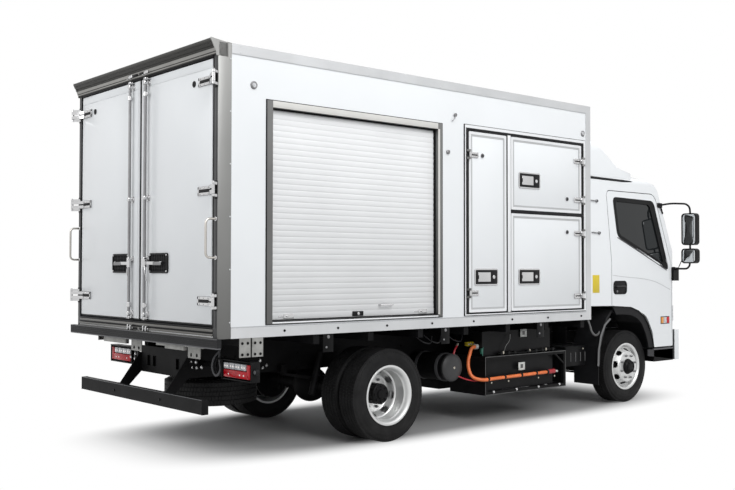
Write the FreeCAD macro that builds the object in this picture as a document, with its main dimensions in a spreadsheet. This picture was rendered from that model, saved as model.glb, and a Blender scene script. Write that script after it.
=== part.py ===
import FreeCAD, Part
import Sketcher
import math
import os

# Refrigerated truck: cab over the front axle, insulated body with rear doors, a roller shutter
# and three side lockers, twin rear wheels. Millimetres, +X forward, +Y left, +Z up,
# origin on the ground under the middle of the whole truck.

doc = FreeCAD.newDocument("refrigerated_truck")
Vec = FreeCAD.Vector

# Driving dimensions

SIZES = {
    # Body of the truck: places along X are measured from the rear face of the insulated body
    "rear_face": -3283.0,
    "body_length": 4565.0,
    "body_width": 2451.0,
    "body_bottom": 981.0,
    "body_top": 3221.0,
    "wall_thick": 70.0,
    "floor_thick": 94.0,
    "roof_thick": 80.0,
    "edge_thick": 4.0,
    "edge_height": 76.0,
    "post_depth": 123.0,
    "post_width": 59.5,
    "sill_height": 87.0,
    "header_height": 101.0,
    "header_reach": 62.0,
    "plate_width": 100.0,
    "plate_drop": 148.0,
    "plate_thick": 6.0,
    # Rear doors
    "rear_door_thick": 80.0,
    "door_gap": 8.0,
    "rear_axis_back": 52.0,
    "rear_axis_out": 24.5,
    "lock_rod_radius": 13.0,
    "lock_rod_place": 138.0,
    "lock_rod_off": 30.0,
    "rear_hinge_rise": 279.0,
    "rear_hinge_drop": 180.0,
    "grab_rise": 599.0,
    "grab_length": 310.0,
    "grab_reach": 96.0,
    # Shutter and side lockers on the right side
    "frame_proud": 9.0,
    "side_frame_width": 54.0,
    "opening_rise": 95.0,
    "shutter_start": 446.0,
    "shutter_to_locker": 294.0,
    "shutter_drop": 396.0,
    "shutter_recess": 50.0,
    "curtain_thick": 16.0,
    "locker_length": 1810.0,
    "locker_to_front": 95.0,
    "locker_drop": 373.0,
    "locker_stile": 48.0,
    "frame_threshold": 18.0,
    "tall_door_width": 520.0,
    "mullion_width": 46.0,
    "side_gap": 12.0,
    "side_door_thick": 60.0,
    "upper_door_height": 708.0,
    "transom_height": 20.0,
    "side_axis_out": 20.0,
    # Wheels
    "tyre_radius": 405.0,
    "tyre_width": 222.0,
    "bead_radius": 248.0,
    "rim_width": 188.0,
    "rim_lip": 17.0,
    "disc_offset": 125.0,
    "disc_thick": 12.0,
    "hub_radius": 84.0,
    "drum_radius": 165.0,
    "rear_axle_place": 1804.0,
    "front_axle_to_cab": 757.0,
    "front_track": 1724.0,
    "rear_track": 2070.0,
    "twin_spacing": 250.0,
    "king_pin_offset": 100.0,
    # Chassis
    "rail_start": 240.0,
    "rail_end_to_cab": 1580.0,
    "rail_width": 800.0,
    "rail_low": 600.0,
    "rail_high": 790.0,
    "rail_flange": 65.0,
    "rail_thick": 8.0,
    "bearer_height": 80.0,
    "guard_half": 1060.0,
    "guard_low": 400.0,
    "guard_high": 510.0,
    "guard_depth": 56.0,
    "buffer_drop": 64.0,
    "buffer_height": 66.0,
    "buffer_depth": 40.0,
    "buffer_reach": 64.5,
    "battery_to_axle": 1376.0,
    "battery_to_front": 135.0,
    "battery_out": 1000.0,
    "battery_in": 520.0,
    "battery_low": 272.0,
    "battery_high": 650.0,
    "battery_top": 890.0,
    "angle_width": 34.0,
    "tank_to_battery": 345.0,
    "tank_radius": 132.0,
    "tank_height": 560.0,
    "spare_place": 700.0,
    "spare_height": 445.0,
    # Cab
    "cab_gap": 235.0,
    "cab_length": 1760.0,
    "cab_width": 2060.0,
    "cab_wall": 55.0,
    "cab_skirt": 30.0,
    "cab_floor_top": 1145.0,
    "cab_floor_under": 1075.0,
    "cab_roof": 2600.0,
    "tilt_to_cab": 1660.0,
    "tilt_height": 840.0,
    "bumper_to_cab": 1865.0,
    "bumper_low": 435.0,
    "bumper_high": 785.0,
    "bumper_thick": 28.0,
}

sheet = doc.addObject("Spreadsheet::Sheet", "Sizes")
for row, (alias, value) in enumerate(SIZES.items(), 1):
    sheet.set(f"A{row}", alias)
    sheet.set(f"B{row}", str(value))
    sheet.setAlias(f"B{row}", alias)
doc.recompute()


class Size:
    """A length with both its value and the sheet formula that gives it."""

    def __init__(self, value, formula):
        self.value = float(value)
        self.formula = formula

    def __add__(self, other):
        return Size(self.value + amount(other), f"({self.formula} + {words(other)})")

    def __radd__(self, other):
        return Size(amount(other) + self.value, f"({words(other)} + {self.formula})")

    def __sub__(self, other):
        return Size(self.value - amount(other), f"({self.formula} - {words(other)})")

    def __rsub__(self, other):
        return Size(amount(other) - self.value, f"({words(other)} - {self.formula})")

    def __mul__(self, other):
        return Size(self.value * amount(other), f"({self.formula} * {words(other)})")

    def __rmul__(self, other):
        return Size(amount(other) * self.value, f"({words(other)} * {self.formula})")

    def __truediv__(self, other):
        return Size(self.value / amount(other), f"({self.formula} / {words(other)})")

    def __neg__(self):
        return Size(-self.value, f"(0 - {self.formula})")


def amount(size):
    """The plain number of a Size or number."""
    return size.value if isinstance(size, Size) else float(size)


def words(size):
    """The formula of a Size or number."""
    return size.formula if isinstance(size, Size) else repr(float(size))


class Cells:
    """Reads a driving dimension from the sheet by its alias."""

    def __getattr__(self, alias):
        return Size(getattr(sheet, alias), f"Sizes.{alias}")


s = Cells()

# Building blocks

counters = {}


def fresh(name):
    """A new internal name, so that each helper object has its own."""
    counters[name] = counters.get(name, 0) + 1
    return f"{name}_{counters[name]:03d}"


def bind(thing, path, size):
    thing.setExpression(path, words(size))


def place(thing, x, y, z):
    bind(thing, "Placement.Base.x", x)
    bind(thing, "Placement.Base.y", y)
    bind(thing, "Placement.Base.z", z)


def box(x0, x1, y0, y1, z0, z1):
    """A block between two corners."""
    block = doc.addObject("Part::Box", fresh("block"))
    bind(block, "Length", x1 - x0)
    bind(block, "Width", y1 - y0)
    bind(block, "Height", z1 - z0)
    place(block, x0, y0, z0)
    return block


TURNS = {
    "X": FreeCAD.Rotation(Vec(0, 1, 0), 90),
    "Y": FreeCAD.Rotation(Vec(1, 0, 0), -90),
    "Z": FreeCAD.Rotation(),
}


def rod(axis, radius, length, x, y, z):
    """A round bar that starts at x, y, z and runs along +axis."""
    bar = doc.addObject("Part::Cylinder", fresh("bar"))
    bar.Placement = FreeCAD.Placement(Vec(), TURNS[axis])
    bind(bar, "Radius", radius)
    bind(bar, "Height", length)
    place(bar, x, y, z)
    return bar


PLANES = {"XY": "XY_Plane", "XZ": "XZ_Plane", "YZ": "YZ_Plane"}


def sketch_on(body, plane, points, offset):
    """A closed outline of straight lines whose corners are bound to the sheet."""
    sketch = body.newObject("Sketcher::SketchObject", fresh("outline"))
    role = PLANES[plane]
    origin_plane = [f for f in body.Origin.OriginFeatures if f.Role == role][0]
    sketch.AttachmentSupport = [(origin_plane, "")]
    sketch.MapMode = "FlatFace"
    bind(sketch, "AttachmentOffset.Base.z", offset)
    corners = [Vec(amount(u), amount(v), 0) for u, v in points]
    count = len(corners)
    for i in range(count):
        sketch.addGeometry(Part.LineSegment(corners[i], corners[(i + 1) % count]), False)
    for i in range(count):
        sketch.addConstraint(Sketcher.Constraint("Coincident", i, 2, (i + 1) % count, 1))
    for i, (u, v) in enumerate(points):
        across = sketch.addConstraint(Sketcher.Constraint("DistanceX", -1, 1, i, 1, amount(u)))
        bind(sketch, f"Constraints[{across}]", u)
        up = sketch.addConstraint(Sketcher.Constraint("DistanceY", -1, 1, i, 1, amount(v)))
        bind(sketch, f"Constraints[{up}]", v)
    return sketch


def prism(plane, points, low, high):
    """A padded outline between low and high along the plane's missing axis."""
    body = doc.addObject("PartDesign::Body", fresh("prism"))
    start = -high if plane == "XZ" else low
    sketch = sketch_on(body, plane, points, start)
    pad = body.newObject("PartDesign::Pad", fresh("pad"))
    pad.Profile = sketch
    bind(pad, "Length", high - low)
    sketch.Visibility = False
    return body


def turned(points, x, y, z):
    """A ring about an axis along Y through x, y, z; points are radius and place along Y."""
    body = doc.addObject("PartDesign::Body", fresh("turned"))
    sketch = sketch_on(body, "XY", points, 0)
    ring = body.newObject("PartDesign::Revolution", fresh("ring"))
    ring.Profile = sketch
    ring.ReferenceAxis = (sketch, ["V_Axis"])
    ring.Angle = 360
    place(body, x, y, z)
    return body


def fuse(*pieces):
    joined = doc.addObject("Part::MultiFuse", fresh("joined"))
    joined.Shapes = list(pieces)
    joined.Refine = True
    return joined


def cut(base, *tools):
    tool = tools[0] if len(tools) == 1 else fuse(*tools)
    result = doc.addObject("Part::Cut", fresh("cut"))
    result.Base = base
    result.Tool = tool
    return result


def group(*pieces):
    """Solids of one node that don't touch each other."""
    several = doc.addObject("Part::Compound", fresh("group"))
    several.Links = list(pieces)
    return several


def mirrored(piece):
    """The same piece on the other side of the truck."""
    other = doc.addObject("Part::Mirroring", fresh("mirrored"))
    other.Source = piece
    other.Normal = Vec(0, 1, 0)
    other.Base = Vec(0, 0, 0)
    return other


def free(shape):
    """A piece whose curved shape is worked out from the sheet's values."""
    feature = doc.addObject("Part::Feature", fresh("shape"))
    feature.Shape = shape
    return feature


nodes = {}


def node(name, piece):
    """Names a finished sub-part; its label is its file's name."""
    piece.Label = name
    nodes[name] = piece
    return piece


# Shared places

rear = s.rear_face
front_of_body = rear + s.body_length
half = s.body_width / 2
skin = half - s.edge_thick
floor_top = s.body_bottom + s.floor_thick
roof_under = s.body_top - s.roof_thick
inside = skin - s.wall_thick
under_body = s.body_bottom - s.edge_thick
header_bottom = s.body_top - s.header_height
sill_top = under_body + s.sill_height
rail_out = s.rail_width / 2
rail_inner = rail_out - s.rail_thick
opening_low = s.body_bottom + s.opening_rise
locker_x1 = front_of_body - s.locker_to_front
locker_x0 = locker_x1 - s.locker_length
locker_high = s.body_top - s.locker_drop
shutter_x0 = rear + s.shutter_start
shutter_x1 = locker_x0 - s.shutter_to_locker
shutter_high = s.body_top - s.shutter_drop
rear_axle_x = rear + s.rear_axle_place
cab_back = front_of_body + s.cab_gap
front_axle_x = cab_back + s.front_axle_to_cab
rail_front = cab_back + s.rail_end_to_cab
pivot_x = cab_back + s.tilt_to_cab
bumper_x = cab_back + s.bumper_to_cab
battery_x1 = front_of_body - s.battery_to_front
battery_x0 = rear_axle_x + s.battery_to_axle
king_pin = s.front_track / 2 - s.king_pin_offset


# Insulated body: floor with its raised deck, roof and walls

DECK_RISE = 10.0
DECK_JOINT = 2.0


def make_body_shell():
    start = rear + s.post_depth
    end = front_of_body
    wall_low = floor_top - DECK_RISE
    slab_low = box(start, end, -skin, skin, s.body_bottom, wall_low)
    deck = box(start, end - s.wall_thick - DECK_JOINT, -inside + DECK_JOINT, inside - DECK_JOINT,
               s.body_bottom, floor_top)
    node("box_floor", fuse(slab_low, deck))
    node("box_roof", box(start, end, -skin, skin, roof_under, s.body_top - s.edge_thick))
    node("wall_left", box(start, end, inside, skin, wall_low, roof_under))
    node("wall_front", box(end - s.wall_thick, end, -inside, inside, wall_low, roof_under))
    panel = box(start, end, -skin, -inside, wall_low, roof_under)
    shutter_hole = box(shutter_x0, shutter_x1, -half, -inside + s.wall_thick, opening_low, shutter_high)
    locker_hole = box(locker_x0, locker_x1, -half, -inside + s.wall_thick, opening_low, locker_high)
    node("wall_right", cut(panel, shutter_hole, locker_hole))


# Edge profiles: rails along the bottom and top, front posts; mounting plates below the floor

PLATE_PLACES = (204.0, 320.0, 1010.0, 2360.0, 3700.0)
PLATE_HOLE = 9.0
PLATE_HOLES_X = (25.0, 75.0)
PLATE_HOLES_Z = (22.0, 108.0)


def make_edges():
    start = rear + s.post_depth
    low, high = under_body, s.body_top
    edge, thick = s.edge_height, s.edge_thick
    pieces = []
    for side in (1, -1):
        outer, inner = (skin, half) if side > 0 else (-half, -skin)
        lip = (skin - edge, skin) if side > 0 else (-skin, -skin + edge)
        pieces.append(box(start, front_of_body, outer, inner, low, s.body_bottom + edge))
        pieces.append(box(start, front_of_body, lip[0], lip[1], low, s.body_bottom))
        pieces.append(box(start, front_of_body, outer, inner, high - edge, high))
        pieces.append(box(start, front_of_body, lip[0], lip[1], high - thick, high))
        pieces.append(box(front_of_body - edge, front_of_body + thick, outer, inner, low, high))
        pieces.append(box(front_of_body, front_of_body + thick, lip[0], lip[1], low, high))
    top_front = box(front_of_body, front_of_body + thick, -half, half, high - edge, high)
    low_front = box(front_of_body, front_of_body + thick, -half, half, low, low + edge)
    node("edge_profiles", fuse(top_front, low_front, *pieces))


def make_side_plates():
    low = under_body - s.plate_drop
    plates = []
    for side in (1, -1):
        y0, y1 = (skin - s.plate_thick, skin) if side > 0 else (-skin, -skin + s.plate_thick)
        for along in PLATE_PLACES:
            x0 = rear + along
            plate = box(x0, x0 + s.plate_width, y0, y1, low, under_body)
            holes = [rod("Y", PLATE_HOLE, s.plate_thick * 3, x0 + dx, y0 - s.plate_thick, low + dz)
                     for dx in PLATE_HOLES_X for dz in PLATE_HOLES_Z]
            plates.append(cut(plate, *holes))
    node("side_plates", group(*plates))


# Rear frame: posts, sill, sloping header, fixed hinge lugs and grab handles

REAR_HINGE_HALF = 35.0
LUG_GAP = 0.4
LUG_HEIGHT = 20.0
LUG_ROOT = 62.0
BARREL = 12.0
GRAB_RADIUS = 9.0
GRAB_INSET = 22.0
HEADER_RISE = 19.0
HEADER_LIP = 25.0
HEADER_BACK = 12.0
KEEPER_HALF = 30.0
KEEPER_RISE = 22.0
KEEPER_HEIGHT = 40.0
BUFFER_STEP = 6.0


def hinge_heights():
    """Heights of the three hinges of a rear door."""
    low = s.body_bottom + s.rear_hinge_rise
    high = header_bottom - s.rear_hinge_drop
    return (low, (low + high) / 2, high)


def rear_lug(side, height):
    """A fixed hinge lug on the post, with its barrel about the door's axis."""
    axis_x = rear - s.rear_axis_back
    axis_y = half + s.rear_axis_out
    outline = [(rear, axis_y - LUG_ROOT), (axis_x + 2.0, axis_y - BARREL), (axis_x, axis_y),
               (axis_x + BARREL, axis_y), (rear, axis_y - s.rear_axis_out)]
    arm = prism("XY", outline, height, height + LUG_HEIGHT)
    barrel = rod("Z", BARREL, LUG_HEIGHT, axis_x, axis_y, height)
    lug = fuse(arm, barrel)
    return lug if side > 0 else mirrored(lug)


def grab_handle(side):
    """A grab handle that stands off the post."""
    y = side * (half - GRAB_INSET)
    x = rear - s.grab_reach + GRAB_RADIUS
    low = s.body_bottom + s.grab_rise
    bars = [rod("Z", GRAB_RADIUS, s.grab_length, x, y, low)]
    for height in (low + GRAB_RADIUS, low + s.grab_length - GRAB_RADIUS):
        bars.append(rod("X", GRAB_RADIUS, s.grab_reach, x - GRAB_RADIUS / 2, y, height))
    return bars


def make_rear_frame():
    pieces = []
    inner = half - s.post_width
    for side in (1, -1):
        y0, y1 = (inner, half) if side > 0 else (-half, -inner)
        pieces.append(box(rear, rear + s.post_depth, y0, y1, under_body, s.body_top))
        for height in hinge_heights():
            pieces.append(rear_lug(side, height + REAR_HINGE_HALF + LUG_GAP))
            pieces.append(rear_lug(side, height - REAR_HINGE_HALF - LUG_GAP - LUG_HEIGHT))
        pieces.extend(grab_handle(side))
        keeper_y = side * s.lock_rod_place
        pieces.append(box(rear - 10.0, rear, keeper_y - KEEPER_HALF, keeper_y + KEEPER_HALF,
                          under_body + KEEPER_RISE, under_body + KEEPER_RISE + KEEPER_HEIGHT))
    pieces.append(box(rear, rear + s.post_depth, -half, half, under_body, sill_top))
    reach = rear - s.header_reach
    header = [(rear, header_bottom), (rear + s.post_depth, header_bottom), (rear + s.post_depth, s.body_top),
              (reach, s.body_top + HEADER_RISE), (reach, s.body_top + HEADER_RISE - HEADER_LIP),
              (rear - HEADER_BACK, header_bottom)]
    pieces.append(prism("XZ", header, -half, half))
    node("rear_frame", fuse(*pieces))
    wide = half + s.buffer_reach
    low = s.body_bottom - s.buffer_drop
    strip = box(rear - s.buffer_depth, rear, -wide, wide, low, low + s.buffer_height)
    carrier = box(rear, rear + s.buffer_depth, -half, half, low + BUFFER_STEP, under_body)
    node("rear_buffer", fuse(strip, carrier))


# Rear doors with their hinge straps, lock rods and handle boxes; the left one mirrors the right one

STRAP_LENGTH = 208.0
STRAP_THICK = 8.0
ROD_INSET = 10.0
GUIDE_HALF = 34.0
GUIDE_HEIGHT = 50.0
GUIDE_REACH = 18.0
HANDLE_RISE = 571.0
HANDLE_HALF = 82.0
HANDLE_BOX = (182.0, 490.0)
HANDLE_THICK = 12.0
LEVER_TIP = 420.0
LEVER_FOOT = 24.0
LEVER_HALF = 16.0
LEVER_THICK = 6.0


def make_rear_doors():
    inner = half - s.post_width
    hinge_edge = inner - s.door_gap
    door_low = sill_top + s.door_gap
    door_high = header_bottom - s.door_gap
    pieces = [box(rear, rear + s.rear_door_thick, s.door_gap, hinge_edge, door_low, door_high)]
    axis_x = rear - s.rear_axis_back
    axis_y = half + s.rear_axis_out
    for height in hinge_heights():
        z0 = height - REAR_HINGE_HALF
        z1 = height + REAR_HINGE_HALF
        pieces.append(box(rear - STRAP_THICK, rear, hinge_edge - STRAP_LENGTH, hinge_edge, z0, z1))
        link = [(rear, hinge_edge - BARREL * 5), (rear, hinge_edge), (axis_x + BARREL, axis_y - 20.0),
                (axis_x + BARREL, axis_y), (axis_x - BARREL, axis_y), (axis_x - BARREL, axis_y - BARREL * 2)]
        pieces.append(prism("XY", link, z0, z1))
        pieces.append(rod("Z", BARREL, z1 - z0, axis_x, axis_y, z0))
    rod_x, rod_y = rear - s.lock_rod_off, s.lock_rod_place
    rod_low = door_low + ROD_INSET
    rod_high = door_high - ROD_INSET
    pieces.append(rod("Z", s.lock_rod_radius, rod_high - rod_low, rod_x, rod_y, rod_low))
    low, middle, high = hinge_heights()
    for height in (rod_low + 20.0, low + 300.0, middle - 30.0, rod_high - 70.0):
        pieces.append(box(rod_x - GUIDE_REACH, rear, rod_y - GUIDE_HALF, rod_y + GUIDE_HALF,
                          height, height + GUIDE_HEIGHT))
    handle_z = s.body_bottom + HANDLE_RISE
    pieces.append(box(rear - HANDLE_THICK, rear, HANDLE_BOX[0], HANDLE_BOX[1],
                      handle_z - HANDLE_HALF, handle_z + HANDLE_HALF))
    pieces.append(box(rod_x - LEVER_THICK, rod_x + LEVER_THICK, rod_y, LEVER_TIP,
                      handle_z - LEVER_HALF, handle_z + LEVER_HALF))
    pieces.append(box(rod_x - LEVER_THICK, rear, LEVER_TIP - LEVER_FOOT, LEVER_TIP,
                      handle_z - LEVER_HALF, handle_z + LEVER_HALF))
    left = fuse(*pieces)
    node("rear_door_left", left)
    node("rear_door_right", mirrored(left))


# Side frames and the roller shutter

SHUTTER_THRESHOLD = 21.0
SIDE_HINGE_HALF = 25.0
SIDE_BARREL = 10.0
SIDE_LUG_REACH = 34.0
SIDE_STRAP = 130.0
SIDE_STRAP_THICK = 6.0
SIDE_STRAP_WRAP = 20.0
LATCH_SIZE = (325.0, 158.0)
LATCH_THICK = 5.0
TALL_HINGES = (180.0, 219.0)
LOWER_HINGES = (127.0, 172.0)
UPPER_HINGES = (138.0, 167.0)

frame_y0 = -half - s.frame_proud + s.edge_thick
frame_y1 = -inside
door_x0 = locker_x0 + s.locker_stile
door_x1 = locker_x1 - s.locker_stile
door_low = opening_low + s.frame_threshold + s.door_gap
door_high = locker_high - s.locker_stile - s.door_gap
upper_low = door_high - s.upper_door_height
lower_high = upper_low - s.door_gap * 2 - s.transom_height
side_axis_y = -half - s.side_axis_out


def ring_frame(x0, x1, z0, z1, width, bottom):
    """A rectangular frame through the right wall."""
    return cut(box(x0, x1, frame_y0, frame_y1, z0, z1),
               box(x0 + width, x1 - width, frame_y0 - 1.0, frame_y1 + 1.0, z0 + bottom, z1 - width))


def side_hinges():
    """Axis along X, the way to the frame's stile, and hinge heights of the three side doors."""
    left_axis, right_axis = door_x0 + s.side_gap / 2, door_x1 - s.side_gap / 2
    return ((left_axis, -1, (door_low + TALL_HINGES[0], door_high - TALL_HINGES[1])),
            (right_axis, 1, (door_low + LOWER_HINGES[0], lower_high - LOWER_HINGES[1])),
            (right_axis, 1, (upper_low + UPPER_HINGES[0], door_high - UPPER_HINGES[1])))


def side_lug(axis_x, side, start):
    """A fixed hinge lug on the locker frame's stile."""
    x0, x1 = (axis_x - SIDE_LUG_REACH, axis_x) if side < 0 else (axis_x, axis_x + SIDE_LUG_REACH)
    arm = box(x0, x1, side_axis_y, frame_y0, start, start + LUG_HEIGHT)
    return fuse(arm, rod("Z", SIDE_BARREL, LUG_HEIGHT, axis_x, side_axis_y, start))


def make_side_frames():
    shutter = ring_frame(shutter_x0, shutter_x1, opening_low, shutter_high, s.side_frame_width, SHUTTER_THRESHOLD)
    ring = ring_frame(locker_x0, locker_x1, opening_low, locker_high, s.locker_stile, s.frame_threshold)
    mullion_x = door_x0 + s.tall_door_width + s.side_gap * 2
    mullion = box(mullion_x, mullion_x + s.mullion_width, frame_y0, frame_y1,
                  opening_low + s.frame_threshold, locker_high - s.locker_stile)
    transom = box(mullion_x + s.mullion_width, door_x1, frame_y0, frame_y1,
                  lower_high + s.door_gap, lower_high + s.door_gap + s.transom_height)
    lugs = []
    for axis_x, side, heights in side_hinges():
        for height in heights:
            for start in (height + SIDE_HINGE_HALF + LUG_GAP, height - SIDE_HINGE_HALF - LUG_GAP - LUG_HEIGHT):
                lugs.append(side_lug(axis_x, side, start))
    node("side_frames", group(shutter, fuse(ring, mullion, transom, *lugs)))
    recess = -half + s.shutter_recess
    node("shutter_curtain", box(shutter_x0 + s.side_frame_width, shutter_x1 - s.side_frame_width,
                                recess, recess + s.curtain_thick, opening_low + SHUTTER_THRESHOLD,
                                shutter_high - s.side_frame_width))


def side_door(x0, x1, z0, z1, hinge, latch_x, latch_z):
    """A side door with its strap hinges and paddle latch."""
    axis_x, side, heights = hinge
    pieces = [box(x0, x1, -half, -half + s.side_door_thick, z0, z1)]
    skin_y = -half - SIDE_STRAP_THICK
    for height in heights:
        low, high = height - SIDE_HINGE_HALF, height + SIDE_HINGE_HALF
        strap = (axis_x + SIDE_BARREL, axis_x + SIDE_STRAP) if side < 0 else \
            (axis_x - SIDE_STRAP, axis_x - SIDE_BARREL)
        wrap = (axis_x, axis_x + SIDE_STRAP_WRAP) if side < 0 else (axis_x - SIDE_STRAP_WRAP, axis_x)
        pieces.append(box(strap[0], strap[1], skin_y, -half, low, high))
        pieces.append(box(wrap[0], wrap[1], side_axis_y - 4.0, skin_y + 1.0, low, high))
        pieces.append(rod("Z", SIDE_BARREL, high - low, axis_x, side_axis_y, low))
    pieces.append(box(latch_x, latch_x + LATCH_SIZE[0], -half - LATCH_THICK, -half,
                      latch_z, latch_z + LATCH_SIZE[1]))
    return fuse(*pieces)


def make_side_doors():
    tall, lower, upper = side_hinges()
    x0 = door_x0 + s.side_gap
    x1 = x0 + s.tall_door_width
    x2 = x1 + s.side_gap * 2 + s.mullion_width
    x3 = door_x1 - s.side_gap
    node("side_door_tall", side_door(x0, x1, door_low, door_high, tall, x0 + 70.0, door_low + 250.0))
    node("side_door_lower", side_door(x2, x3, door_low, lower_high, lower, x2 + 102.0, door_low + 250.0))
    node("side_door_upper", side_door(x2, x3, upper_low, door_high, upper, x2 + 108.0, upper_low + 216.0))


# Wheels

def tyre(x, y, z):
    wide = s.tyre_width / 2
    bead = s.rim_width / 2 - 6.0
    outline = [(s.bead_radius, -bead), (s.bead_radius + 82.0, -wide), (s.tyre_radius - 16.0, -wide + 12.0),
               (s.tyre_radius, -wide + 34.0), (s.tyre_radius, wide - 34.0), (s.tyre_radius - 16.0, wide - 12.0),
               (s.bead_radius + 82.0, wide), (s.bead_radius, bead)]
    return turned(outline, x, y, z)


HAND_HOLES = 8
HUB_BACK = 20.0


def rim(x, y, z, out):
    """A pressed steel rim; out is the side to which its disc is dished."""
    edge = s.rim_width / 2
    barrel = [(s.bead_radius - 9.0, -edge - 10.0), (s.bead_radius + s.rim_lip, -edge - 10.0),
              (s.bead_radius + s.rim_lip, -edge), (s.bead_radius, -edge), (s.bead_radius, edge),
              (s.bead_radius + s.rim_lip, edge), (s.bead_radius + s.rim_lip, edge + 10.0),
              (s.bead_radius - 9.0, edge + 10.0)]
    deep = s.disc_offset
    wall = s.disc_thick
    disc = [(s.hub_radius - 4.0, out * deep), (150.0, out * deep), (205.0, out * (deep - 45.0)),
            (s.bead_radius - 4.0, out * (deep - 100.0)), (s.bead_radius - 4.0, out * (deep - 100.0 - wall)),
            (200.0, out * (deep - 45.0 - wall)), (146.0, out * (deep - wall)),
            (s.hub_radius - 4.0, out * (deep - wall))]
    holes = []
    for i in range(HAND_HOLES):
        turn = 2 * math.pi * i / HAND_HOLES
        holes.append(rod("Y", 22.0, s.rim_width, x + 200.0 * math.cos(turn), y + (0 if out > 0 else -s.rim_width),
                         z + 200.0 * math.sin(turn)))
    return fuse(turned(barrel, x, y, z), cut(turned(disc, x, y, z), *holes))


def make_wheels():
    z = s.tyre_radius
    front_y = s.front_track / 2
    node("front_tyre_left", tyre(front_axle_x, front_y, z))
    node("front_tyre_right", mirrored(nodes["front_tyre_left"]))
    hub = rod("Y", s.hub_radius, s.disc_offset + 50.0, front_axle_x, front_y - HUB_BACK, z)
    drum = rod("Y", s.drum_radius, 90.0, front_axle_x, front_y - HUB_BACK, z)
    node("front_rim_left", fuse(rim(front_axle_x, front_y, z, 1), hub, drum))
    node("front_rim_right", mirrored(nodes["front_rim_left"]))
    outer_y = s.rear_track / 2
    inner_y = outer_y - s.twin_spacing
    x = rear_axle_x
    node("rear_tyres_left", group(tyre(x, outer_y, z), tyre(x, inner_y, z)))
    node("rear_tyres_right", mirrored(nodes["rear_tyres_left"]))
    meet = outer_y - s.twin_spacing / 2
    hub = rod("Y", s.hub_radius, 220.0, x, meet - 115.0, z)
    drum = rod("Y", s.drum_radius, 150.0, x, meet - 165.0, z)
    node("rear_rims_left", fuse(rim(x, outer_y, z, -1), rim(x, inner_y, z, 1), hub, drum))
    node("rear_rims_right", mirrored(nodes["rear_rims_left"]))


# Steering: beam, knuckles and tie rod

EYE = 44.0
EYE_REACH = 114.0
EYE_HALF = 45.0
EAR = 36.0
EAR_CLEAR = 24.0
EAR_INNER = 48.0
EAR_OUTER = 76.0
EAR_END = 62.0
PIN = 20.0
PIN_BORE = 20.8
BEAM_HALF = 32.0
BEAM_LOW = 300.0
BEAM_HEIGHT = 80.0
ARM = 150.0
SPINDLE = 60.0
STUD = 9.0
ROD_EYE = 22.0
ROD_DROP = 102.0


def make_steering():
    z = s.tyre_radius
    x = front_axle_x
    root = EYE + EAR_CLEAR
    beam = box(x - BEAM_HALF, x + BEAM_HALF, -king_pin + root, king_pin - root, BEAM_LOW, BEAM_LOW + BEAM_HEIGHT)
    block = box(x - BEAM_HALF, x + BEAM_HALF, king_pin - EYE_REACH, king_pin, z - EYE_HALF, z + EYE_HALF)
    drop = box(x - BEAM_HALF, x + BEAM_HALF, king_pin - EYE_REACH, king_pin - root, BEAM_LOW, z + EYE_HALF)
    boss = fuse(rod("Z", EYE, EYE_HALF * 2, x, king_pin, z - EYE_HALF), block, drop)
    boss = cut(boss, rod("Z", PIN_BORE, 300.0, x, king_pin, z - 150.0))
    node("front_axle_beam", fuse(beam, boss, mirrored(boss)))
    wide = 40.0
    ears = []
    for low in (z + EAR_INNER, z - EAR_OUTER):
        high = low + EAR_OUTER - EAR_INNER
        ears.append(box(x - wide, x + wide, king_pin, king_pin + EAR_END, low, high))
        ears.append(rod("Z", EAR, high - low, x, king_pin, low))
    web = box(x - wide, x + wide, king_pin + EYE + 6.0, king_pin + EAR_END, z - EAR_OUTER, z + EAR_OUTER)
    pin = rod("Z", PIN, EAR_OUTER * 2, x, king_pin, z - EAR_OUTER)
    hub_face = s.front_track / 2 - HUB_BACK
    spindle = rod("Y", SPINDLE, hub_face - LUG_GAP - king_pin - EYE - 6.0, x, king_pin + EYE + 6.0, z)
    arm = box(x - ARM - ROD_EYE, x, king_pin - 12.0, king_pin + 12.0, z - EAR_OUTER, z - EAR_OUTER + 20.0)
    stud = rod("Z", STUD, 20.0, x - ARM, king_pin, z - 88.6)
    node("knuckle_left", fuse(*ears, web, pin, spindle, arm, stud))
    node("knuckle_right", mirrored(nodes["knuckle_left"]))
    bar = rod("Y", ROD_EYE / 2, king_pin * 2, x - ARM, -king_pin, z - ROD_DROP)
    eyes = [rod("Z", ROD_EYE, 26.0, x - ARM, side * king_pin, z - ROD_DROP - 13.0) for side in (1, -1)]
    node("tie_rod", fuse(bar, *eyes))


# Chassis: ladder frame, axles' springs, motor, tank, batteries, spare wheel, guards

def leaf_pack(x, y, low, span, rise):
    """A leaf spring: flat stack in the middle, arms that rise to the shackles."""
    outline = [(x - span, low + rise), (x - span * 0.45, low + rise * 0.28), (x - 90.0, low), (x + 90.0, low),
               (x + span * 0.45, low + rise * 0.28), (x + span, low + rise), (x + span, low + rise + 18.0),
               (x + span * 0.45, low + rise * 0.28 + 34.0), (x + 90.0, low + 62.0), (x - 90.0, low + 62.0),
               (x - span * 0.45, low + rise * 0.28 + 34.0), (x - span, low + rise + 18.0)]
    return prism("XZ", outline, y - 35.0, y + 35.0)


SPRING_Y = 430.0
SPRING_HALF = 34.0
REAR_SPAN = 640.0
FRONT_SPAN = 600.0
CROSS_WIDE = 70.0
CROSS_INSET = 30.0
PLATE_TOP = 40.0
SLOTS = (-270.0, 130.0, 230.0)
HANGER_HALF = 30.0
ARCH_LENGTH = 80.0
ARCH_HEIGHT = 76.0
ARCH_LAP = 16.0
TILT_PLATE = 14.0
TILT_BORE = 12.8
ARM_LOW = 520.0
ARM_HEIGHT = 120.0


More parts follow.
